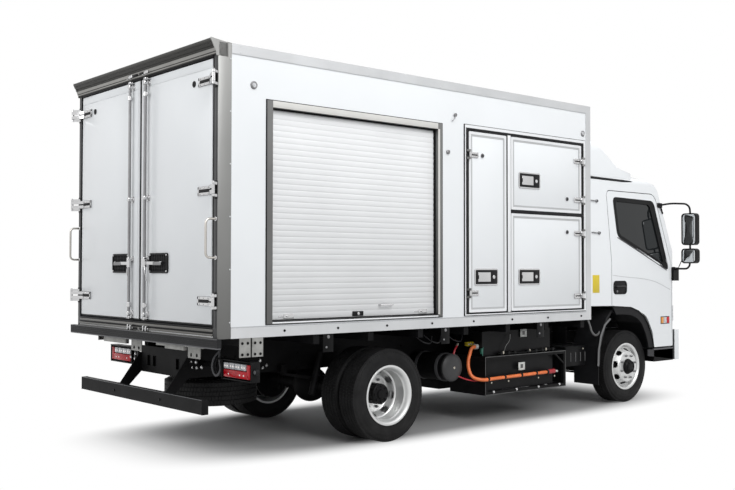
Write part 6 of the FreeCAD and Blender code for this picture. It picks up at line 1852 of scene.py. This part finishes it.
    @staticmethod
    def _axles() -> None:
        """Builds the springs' U-bolts, the dampers, brake chambers and drums."""
        form = Piece("axle_fittings", CAST, GREY_METAL_AND_HIGHLIGHT, GREY_PLASTIC, BLACK_PAINT)
        for side, _ in SIDES:
            for x in (REAR_AXLE, FRONT_AXLE):
                for dx in (-0.052, 0.052):
                    for y in (0.372, 0.452):
                        form.pipe([(dx, y, AXLE_Z + 0.26), (dx, y, AXLE_Z - 0.085)], 0.01, 0.009, 10, 0, x, side)
            form.rods(((-1.30, 0.56, 0.46, -1.08, 0.54, 0.50, 0.078, 28, 0, 0.012),
                       (-1.315, 0.56, 0.457, -1.30, 0.56, 0.46, 0.060, 24, 0, 0.004),
                       (-1.205, 0.551, 0.477, -1.19, 0.550, 0.480, 0.083, 28, 2, 0.002)), side=side)
            form.pipe([(-1.10, 0.54, 0.53), (-1.05, 0.50, 0.66), (-1.30, 0.44, 0.74)], 0.06, 0.008, 10, 3, side=side)
            form.rods(((1.98, 0.486, 0.40, 2.06, 0.486, 0.82, 0.025, 18, 0, 0.005),
                       (-1.86, 0.52, 0.38, -1.74, 0.50, 0.76, 0.030, 18, 0, 0.005)), side=side)
        form.object("chassis")
        for side, name in SIDES:
            rear, front = (REAR_AXLE, side * TRACK_INNER, AXLE_Z), (FRONT_AXLE, side * TRACK_FRONT, AXLE_Z)
            out = (0, side, 0)
            drum = Piece(f"brake_drum_{name}", CAST, GREY_METAL_AND_HIGHLIGHT)
            drum.lathe([(CORE, -0.165), (0.185, -0.165), (0.192, -0.155), (0.192, 0.10), (0.185, 0.112), (CORE, 0.112)],
                       rear, out, 48, 0)
            drum.lathe([(0.196, -0.150), (0.200, -0.150), (0.200, -0.135), (0.196, -0.135)], rear, out, 48, 1)
            drum.object(f"{name}_rear_wheels")
            disc = Piece(f"front_drum_{name}", CAST, BLACK_PAINT)
            disc.lathe([(CORE, -0.020), (0.164, -0.020), (0.164, 0.060), (0.158, 0.070), (CORE, 0.070)], front, out,
                       48, 0)
            disc.lathe([(0.160, 0.010), (0.208, 0.010), (0.208, 0.016), (0.160, 0.016)], front, out, 48, 1)
            disc.object(f"{name}_front_wheel")

    @staticmethod
    def _louvred_box() -> None:
        """Builds the louvred box behind the cab, the splash shields and the battery's end plates; the thin black sheets
        are put where the chassis is in shade, as painted shade.
        """
        box = Piece("louvred_box", BLACK_PAINT, SATIN, COPPER)
        # Painted shade: thin black sheets that close the gaps through the shaded chassis.
        box.blocks(((4.950, 4.958, -0.325, 0.325, 0.505, 0.885, 0, 0.002),), REAR)
        for side in (-1.0, 1.0):
            box.blocks(((4.950, 4.958, 0.405, 0.600, 0.470, 0.885, 0, 0.002),
                        (4.418, 4.426, 0.53, 0.985, 0.290, 0.638, 0, 0.002)), REAR, side)
        box.blocks([(4.580, 4.930, -0.880, -0.560, 0.452, 0.667, 0, 0.012),
                    (4.60, 4.90, -0.60, -0.40, 0.60, 0.66, 0, 0.006)]
                   + [(x, x + 0.008, -0.8785, -0.8835, 0.500, 0.600, 1, 0.002)
                      for x in (4.665, 4.750, 4.835, 4.915)], REAR)
        box.rods(((4.88, -0.879, 0.635, 4.88, -0.887, 0.635, 0.009, 12, 2, 0.002),), REAR)
        box.object("chassis")

    @staticmethod
    def _bolts(repeat: Repeat) -> None:
        """Builds the bright and black bolts of the frame.

        Args:
            repeat: Geometry node repeat for the small fasteners.
        """
        bright = [((REAR + 0.239, side * y, z), (-1.0, 0.0, 0.0)) for side, _ in SIDES
                  for y, z in ((0.4475, 0.742), (0.528, 0.744), (0.457, 0.695), (0.538, 0.699), (0.615, 0.710))]
        black = []
        for side, _ in SIDES:
            out, web, pack = (0.0, side, 0.0), side * 0.4005, side * 1.0015
            black += [((REAR + x, web, z), out) for x in (0.60, 0.70, 1.36, 1.46, 2.20, 2.30, 2.62, 3.10, 4.60, 4.70,
                                                          5.40, 5.50, 6.10) for z in (0.640, 0.750)]
            bright += [((REAR + x, web, z), out) for x, z in ((0.95, 0.705), (1.02, 0.66), (0.98, 0.64))]
            bright += row((REAR + 3.30, pack, 0.300), (REAR + 4.32, pack, 0.300), 0.34, out)
        repeat.spread("bright_bolts", fastener(Head.HEX), bright, CHROME, "chassis", "stainless", 0.020)
        repeat.spread("frame_bolts", fastener(Head.HEX), black, BLACK_STEEL, "chassis", "black_steel", 0.022)


@dataclass(frozen=True)
class Wheels:
    """Tyres with their tread and pressed wheels with hubs and nuts."""

    radius: float = AXLE_Z
    base: float = 0.3915
    half: float = 0.111
    blocks: int = 88
    nuts: int = 8
    nut_ring: float = 0.1290
    turn: float = 13.2
    dish: float = 0.125
    rim: float = 0.052
    disc_from: float = 0.162
    disc_step: float = 0.006
    disc_rows: int = 10
    disc_steps: int = 96
    holes: int = 8
    sheet: float = 0.008

    def build(self, repeat: Repeat) -> None:
        """Builds every wheel.

        Args:
            repeat: Geometry node repeat for the tread blocks and nuts.
        """
        for side, name in SIDES:
            front = Vector((FRONT_AXLE, side * TRACK_FRONT, self.radius))
            outer = Vector((REAR_AXLE, side * TRACK_OUTER, self.radius))
            inner = Vector((REAR_AXLE, side * TRACK_INNER, self.radius))
            out = Vector((0.0, side, 0.0))
            ahead, behind = f"{name}_front_wheel", f"{name}_rear_wheels"
            self._tyres(repeat, f"front_tyre_{name}", [(front, out)], ahead)
            self._tyres(repeat, f"rear_tyres_{name}", [(outer, out), (inner, -out)], behind)
            self._wheels(repeat, f"front_rim_{name}", [(front, out, 1.0)], ahead)
            self._wheels(repeat, f"rear_rims_{name}", [(outer, out, -1.0), (inner, -out, -1.0)], behind)
            self._front_hub(name, front, out)
            self._rear_hub(name, outer, out)
        self._tyres(repeat, "spare_tyre", [(Vector((REAR + 0.700, 0.0, 0.445)), Vector((0.0, 0.0, -1.0)))], "chassis")

    def _tyres(self, repeat: Repeat, node: str, wheels: Sequence[Place], body: str) -> None:
        """Builds the tyres that stand for one node.

        Args:
            repeat: Geometry node repeat.
            node: Name of the node.
            wheels: Centre and outward axis of each tyre.
            body: Name of the body.
        """
        h, base = self.half, self.base
        side = [(0.236, 0.086), (0.240, 0.098), (0.250, 0.1035), (0.262, 0.1045), (0.266, 0.1065), (0.270, 0.1065),
                (0.276, 0.1060), (0.300, 0.1100), (0.304, 0.1108), (0.318, h), (0.336, h), (0.342, 0.1108),
                (0.346, 0.1090), (0.362, 0.1060), (0.374, 0.1025), (0.385, 0.0985), (0.3925, 0.0935), (0.3945, 0.0880)]
        skin = Piece(f"{node}_carcass", TYRE)
        places, spots = [], []
        for centre, out in wheels:
            skin.lathe(side + [(r, -w) for r, w in reversed(side)], centre, out, 72)
            for i, across in enumerate((-0.0755, -0.0378, 0.0, 0.0378, 0.0755)):
                places += ring(centre + out * across, out, base, self.blocks, None, 120.0 / self.blocks * (i % 3))
            for way in (out, -out):
                spots += ring(centre + way * 0.1028, out, 0.3735, self.blocks, way)
        made = skin.object(body, 40.0)
        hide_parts(node)
        block = Piece("tread_block")
        low, high, tall = (0.0168, 0.0138), (0.0160, 0.0130), self.radius - base
        block.rings([[(u * a, v * b, z) for u, v in ((-1, -1), (1, -1), (1, 1), (-1, 1))]
                     for (a, b), z in ((low, -0.004), (low, tall * 0.5), (high, tall - 0.0008))])
        repeat.spread(f"{node}_tread", block.mesh(), places, TYRE, body, "tread_rubber", 1.0, 30.0, wheels[0][1])
        rib = Piece("shoulder_rib")
        rib.block((-0.004, -0.010, -0.004), (0.004, 0.010, 0.0016), bevel=0.001)
        repeat.spread(f"{node}_shoulder", rib.mesh(), spots, TYRE, body, "tread_rubber", 1.0, 30.0)

    def _wheels(self, repeat: Repeat, node: str, wheels: Sequence[tuple[Vector, Vector, float]], body: str) -> None:
        """Builds the pressed wheels that stand for one node.

        Args:
            repeat: Geometry node repeat.
            node: Name of the node.
            wheels: Centre, outward axis and the side of the disc of each wheel.
            body: Name of the body.
        """
        lip = [(0.246, 0.1075), (0.255, 0.1085), (0.262, 0.1065), (0.2645, 0.1010), (0.258, 0.0965), (0.245, 0.0940),
               (0.238, 0.0860), (0.2355, 0.0700), (0.222, 0.0540)]
        inside = [(0.2145, 0.0560), (0.2265, 0.0720), (0.2290, 0.0880), (0.2380, 0.1000)]
        profile = lip + [(r, -w) for r, w in reversed(lip)] + [(r, -w) for r, w in reversed(inside)] + inside
        form = Piece(f"{node}_pressed", WHEEL)
        places = []
        for centre, out, dish in wheels:
            form.lathe(profile, centre, out, 72)
            self._disc(form, centre, out, dish)
            places += ring(centre + out * dish * self.dish + out * 0.006, out, self.nut_ring, self.nuts, out, 18.0)
        made = form.object(body, 32.0)
        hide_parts(node)
        # The nuts take the dark dull steel so they read as dark dots; that darkness is partly painted shade.
        repeat.spread(f"{node}_nuts", fastener(Head.NUT), places, DULL_ROD, body, "wheel_silver", 0.028)

    def _height(self, radius: float) -> float:
        """Returns how far the disc stands out at a radius."""
        share = min(1.0, max(0.0, (radius - self.disc_from) / 0.054))
        return self.dish + (self.rim - self.dish) * share * share * (3.0 - 2.0 * share)

    def _held(self, line: int, step: int) -> bool:
        """Says whether a cell of the disc is metal and not part of a hand hole.

        Args:
            line: Ring of the cell, from the inside out.
            step: Step of the cell round the disc.

        Returns:
            True for metal.
        """
        per = self.disc_steps // self.holes
        along = abs((step % per) + 0.5 - per / 2)
        across = abs(line + 0.5 - (self.disc_rows - 1) / 2)
        return not (along < (3.4 if across < 2.0 else 2.4) and across < 3.0)

    def _disc(self, form: Piece, centre: Vector, out: Vector, dish: float) -> None:
        """Adds a wheel disc with round-cornered hand holes.

        Args:
            form: The piece that takes the disc.
            centre: Centre of the wheel.
            out: Outward axis.
            dish: One where the disc stands out, minus one where it is sunk.
        """
        steps, last = self.disc_steps, self.disc_rows - 1
        radii = [self.disc_from + i * self.disc_step for i in range(self.disc_rows)]
        rings = [[Vector(p) for p in circle(r, dish * self._height(r), steps)] for r in radii]
        points, faces, known = [], [], {}

        def corner(level: int, line: int, step: int) -> int:
            """Returns the index of a corner, made on first use.

            Args:
                level: One for the sheet's face, zero for its back.
                line: Ring of the corner.
                step: Step of the corner round the disc.

            Returns:
                The index.
            """
            key = (level, line, step % steps)
            if key not in known:
                known[key] = len(points)
                rise = self.sheet / 2 if level else -self.sheet / 2
                points.append(rings[line][step % steps] + Vector((0.0, 0.0, rise)))
            return known[key]

        for j in range(last):
            for i in range(steps):
                if not self._held(j, i):
                    continue
                low, top = [[corner(level, j, i), corner(level, j + 1, i), corner(level, j + 1, i + 1),
                             corner(level, j, i + 1)] for level in (1, 0)][::-1]
                faces += [tuple(top), tuple(reversed(low))]
                for dj, di, a, b in ((-1, 0, 0, 3), (1, 0, 1, 2), (0, -1, 0, 1), (0, 1, 2, 3)):
                    if not 0 <= j + dj < last or not self._held(j + dj, (i + di) % steps):
                        faces.append((top[a], top[b], low[b], low[a]))
        turn = Matrix.Rotation(math.radians(self.turn), 4, "Z")
        form.add(turned(points, Matrix.Translation(centre) @ facing(out) @ turn), faces)
        h = dish * self.dish
        form.lathe([(0.080, h - 0.006), (0.163, h - 0.006), (0.163, h + 0.006), (0.080, h + 0.006)], centre, out, 72)

    @staticmethod
    def _front_hub(name: str, centre: Vector, out: Vector) -> None:
        """Builds a front hub with its cap.

        Args:
            name: The side's name.
            centre: Centre of the wheel.
            out: Outward axis.
        """
        hub = Piece(f"front_hub_{name}", BLACK_PAINT, CHROME)
        hub.lathe([(CORE, 0.02), (0.088, 0.02), (0.088, 0.131), (0.082, 0.134), (0.078, 0.150), (0.072, 0.160),
                   (0.058, 0.172), (0.030, 0.176), (CORE, 0.176)], centre, out, 40)
        hub.lathe([(0.060, 0.168), (0.066, 0.168), (0.064, 0.176), (0.058, 0.178)], centre, out, 40)
        for point, heading in ring(centre + out * 0.172, out, 0.045, 6, out):
            hub.rod(point, point + heading * 0.008, 0.006, 8, 0, 0.001)
        hub.object(f"{name}_front_wheel")

    @staticmethod
    def _rear_hub(name: str, centre: Vector, out: Vector) -> None:
        """Builds a rear hub with its ribs and shaft flange.

        Args:
            name: The side's name.
            centre: Centre of the wheel.
            out: Outward axis.
        """
        hub = Piece(f"rear_hub_{name}", BLACK_PAINT, CHROME)
        hub.lathe([(CORE, -0.16), (0.094, -0.16), (0.094, -0.120), (0.086, -0.112), (0.083, -0.030), (0.090, -0.026),
                   (0.090, -0.012), (0.084, -0.008), (0.046, -0.006), (0.040, 0.006), (CORE, 0.008)], centre, out, 40)
        rib = ((-0.01, -0.005), (0.008, -0.003), (0.008, 0.003), (-0.01, 0.005))
        for point, heading in ring(centre + out * -0.068, out, 0.084, 10):
            across = heading.cross(out)
            hub.rings([[point + heading * a + across * b + out * c for a, b in rib] for c in (-0.046, 0.040)])
        for point, heading in ring(centre + out * -0.009, out, 0.070, 8, out):
            hub.rod(point, point + heading * 0.012, 0.0085, 6, 0, 0.001)
        hub.object(f"{name}_rear_wheels")


@dataclass(frozen=True)
class Stage:
    """Floor, lights, white background and the photograph's camera."""

    eye: tuple[float, float, float] = (-7.1517, -7.4838, 1.5082)
    ahead: tuple[float, float, float] = (0.64933462, 0.76011336, 0.02433569)
    right: tuple[float, float, float] = (0.76031994, -0.64954775, 0.00114471)
    above: tuple[float, float, float] = (-0.0166773, -0.01775961, 0.99970319)
    lens: float = 47.66
    floor_half: float = 40.0
    # Half-length and half-width of the painted shadow round the truck.
    painted_shadow_reach: tuple[float, float] = (3.30, 1.20)
    aim: tuple[float, float, float] = (0.0, 0.0, 1.4)

    def build(self) -> None:
        """Builds the whole stage."""
        self._floor()
        self._world()
        self._lights()
        self._camera()

    def _floor(self) -> None:
        """Builds the floor, dark grey round the truck's footprint as painted shadow over the lamps' own shadow, and
        fading to white away from the truck.
        """
        half = self.floor_half
        mesh = bpy.data.meshes.new("floor")
        mesh.from_pydata([(-half, -half, 0), (half, -half, 0), (half, half, 0), (-half, half, 0)], [], [(0, 1, 2, 3)])
        made = bpy.data.materials.new("pale_floor")
        made.use_nodes = True
        tree = made.node_tree
        place = add_node(tree, "ShaderNodeTexCoord").outputs["Object"]
        # Painted shadow: the floor's own colour is a dark grey, seen only near the truck.
        noise = add_node(tree, "ShaderNodeTexNoise", {"Scale": 0.8, "Vector": place})
        shadow_tone = add_node(tree, "ShaderNodeMapRange", {"To Min": 0.34, "To Max": 0.40, "Value": noise.outputs["Fac"]})
        shader = tree.nodes["Principled BSDF"]
        set_inputs(tree, shader, {"Roughness": 0.7, "Specular IOR Level": 0.2, "Base Color": shadow_tone.outputs["Result"]})
        # Reach of the painted shadow: inside it the dark floor shows, beyond it the floor is seen as white.
        power = place
        for _ in range(2):
            power = add_node(tree, "ShaderNodeVectorMath", {0: power, 1: power}, operation="MULTIPLY").outputs["Vector"]
        weights = (self.painted_shadow_reach[0] ** -4, self.painted_shadow_reach[1] ** -4, 0.0)
        total = add_node(tree, "ShaderNodeVectorMath", {0: power, 1: weights}, operation="DOT_PRODUCT")
        far = add_node(tree, "ShaderNodeMath", {0: total.outputs["Value"], 1: 0.25}, operation="POWER")
        shadow_fade = add_node(tree, "ShaderNodeMapRange", {"From Min": 0.76, "From Max": 1.16, "Value": far.outputs["Value"]},
                        interpolation_type="SMOOTHSTEP")
        glow = add_node(tree, "ShaderNodeEmission", {"Strength": 1.0})
        seen = self._most(tree, "Is Camera Ray", "Is Glossy Ray")
        share = add_node(tree, "ShaderNodeMath", {0: shadow_fade.outputs["Result"], 1: seen}, operation="MULTIPLY")
        self._blend(tree, share.outputs["Value"], shader.outputs["BSDF"], glow.outputs["Emission"], "Material Output")
        mesh.materials.append(made)
        floor = bpy.data.objects.new("floor", mesh)
        bpy.context.scene.collection.objects.link(floor)

    @staticmethod
    def _most(tree: Tree, *rays: str) -> Socket:
        """Returns a socket that is one for every named kind of ray.

        Args:
            tree: The node tree.
            rays: Names of the kinds of ray.

        Returns:
            The socket.
        """
        outputs = add_node(tree, "ShaderNodeLightPath").outputs
        total = outputs[rays[0]]
        for name in rays[1:]:
            total = add_node(tree, "ShaderNodeMath", {0: total, 1: outputs[name]}, operation="MAXIMUM").outputs["Value"]
        return total

    @staticmethod
    def _blend(tree: Tree, share: Socket, first: Socket, second: Socket, output: str) -> None:
        """Joins two shaders by a share and links them to an output.

        Args:
            tree: The node tree.
            share: Share of the second shader.
            first: First shader.
            second: Second shader.
            output: Name of the output node.
        """
        blend = add_node(tree, "ShaderNodeMixShader", {"Fac": share, 1: first, 2: second})
        set_inputs(tree, tree.nodes[output], {"Surface": blend.outputs["Shader"]})

    def _world(self) -> None:
        """Builds a soft grey sky that the eye, mirrors and glass see as white."""
        world = bpy.data.worlds.new("studio")
        world.use_nodes = True
        tree = world.node_tree
        soft = tree.nodes["Background"]
        set_inputs(tree, soft, {"Color": (0.93, 0.96, 1.0, 1.0), "Strength": 0.42})
        plain = add_node(tree, "ShaderNodeBackground", {"Color": (1.0, 1.0, 1.0, 1.0), "Strength": 1.0})
        total = self._most(tree, "Is Camera Ray", "Is Glossy Ray", "Is Transmission Ray")
        self._blend(tree, total, soft.outputs["Background"], plain.outputs["Background"], "World Output")
        bpy.context.scene.world = world

    def _lights(self) -> None:
        """Builds the soft key light, the top light and a weak fill."""
        for name, spot, energy, size in (("key", (-3.0, -12.0, 9.0), 1080.0, 7.0),
                                         ("fill", (-13.0, 2.0, 7.0), 520.0, 7.0),
                                         ("top", (0.0, -0.5, 8.0), 430.0, 12.0)):
            lamp = bpy.data.lights.new(name, "AREA")
            lamp.energy = energy
            lamp.size = size
            made = bpy.data.objects.new(name, lamp)
            made.location = spot
            made.rotation_euler = (Vector(self.aim) - Vector(spot)).to_track_quat("-Z", "Y").to_euler()
            bpy.context.scene.collection.objects.link(made)

    def _camera(self) -> None:
        """Builds the camera of the photograph."""
        lens = bpy.data.cameras.new("camera")
        lens.lens = self.lens
        lens.sensor_width = 36.0
        lens.clip_end = 200.0
        made = bpy.data.objects.new("camera", lens)
        columns = [Vector(self.right), Vector(self.above), -Vector(self.ahead)]
        turn = Matrix([[c[i] for c in columns] for i in range(3)]).to_4x4()
        made.matrix_world = Matrix.Translation(Vector(self.eye)) @ turn
        bpy.context.scene.collection.objects.link(made)
        bpy.context.scene.camera = made
        bpy.context.scene.view_settings.view_transform = "Standard"


def write_size() -> None:
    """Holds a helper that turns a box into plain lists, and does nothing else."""
    def plain(box: Sequence[Point]) -> list[list[float]]:
        """Returns a box as plain lists."""
        return [[float(part) for part in corner] for corner in box]


def dress_nodes() -> None:
    """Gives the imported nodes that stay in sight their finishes."""
    for finish, nodes in ((WHITE_PANEL, "wall_left wall_right wall_front box_roof"), (GREY_PLASTIC, "box_floor"),
                          (ALUMINIUM, "edge_profiles"), (FRAME_STEEL, "side_frames"), (GALVANISED, "side_plates"),
                          (BLACK_STEEL, "floor_bearers frame_rails frame_crossmembers frame_brackets subframe_rails "
                                        "battery_frames underrun_guard spare_carrier corner_steps"),
                          (CAST, "front_axle_beam rear_axle propeller_shaft knuckle_left knuckle_right tie_rod "
                                 "leaf_springs drive_motor"),
                          (BLACK_PAINT, "battery_packs air_tank"), (RUBBER, "rear_buffer"),
                          (ORANGE, "high_voltage_cable"), (PLASTIC, "front_mudguards dashboard"), (FABRIC, "seats"),
                          (GLASS, "windscreen door_glass_left door_glass_right"), (LAMP_CLEAR, "headlamps")):
        dress(finish, *nodes.split())


def main() -> None:
    """Builds every piece, the stage and the camera."""
    logging.basicConfig(level=logging.INFO, format="%(name)s: %(message)s")
    repeat = Repeat("repeat_form")
    dress_nodes()
    RearDoors().build()
    RearFrame().build()
    BodySide().build(repeat)
    SideDoors().build()
    Shutter().build(repeat)
    Wheels().build(repeat)
    Underside().build(repeat)
    Cab().build(repeat)
    Stage().build()
    write_size()


if __name__ == "__main__":
    main()
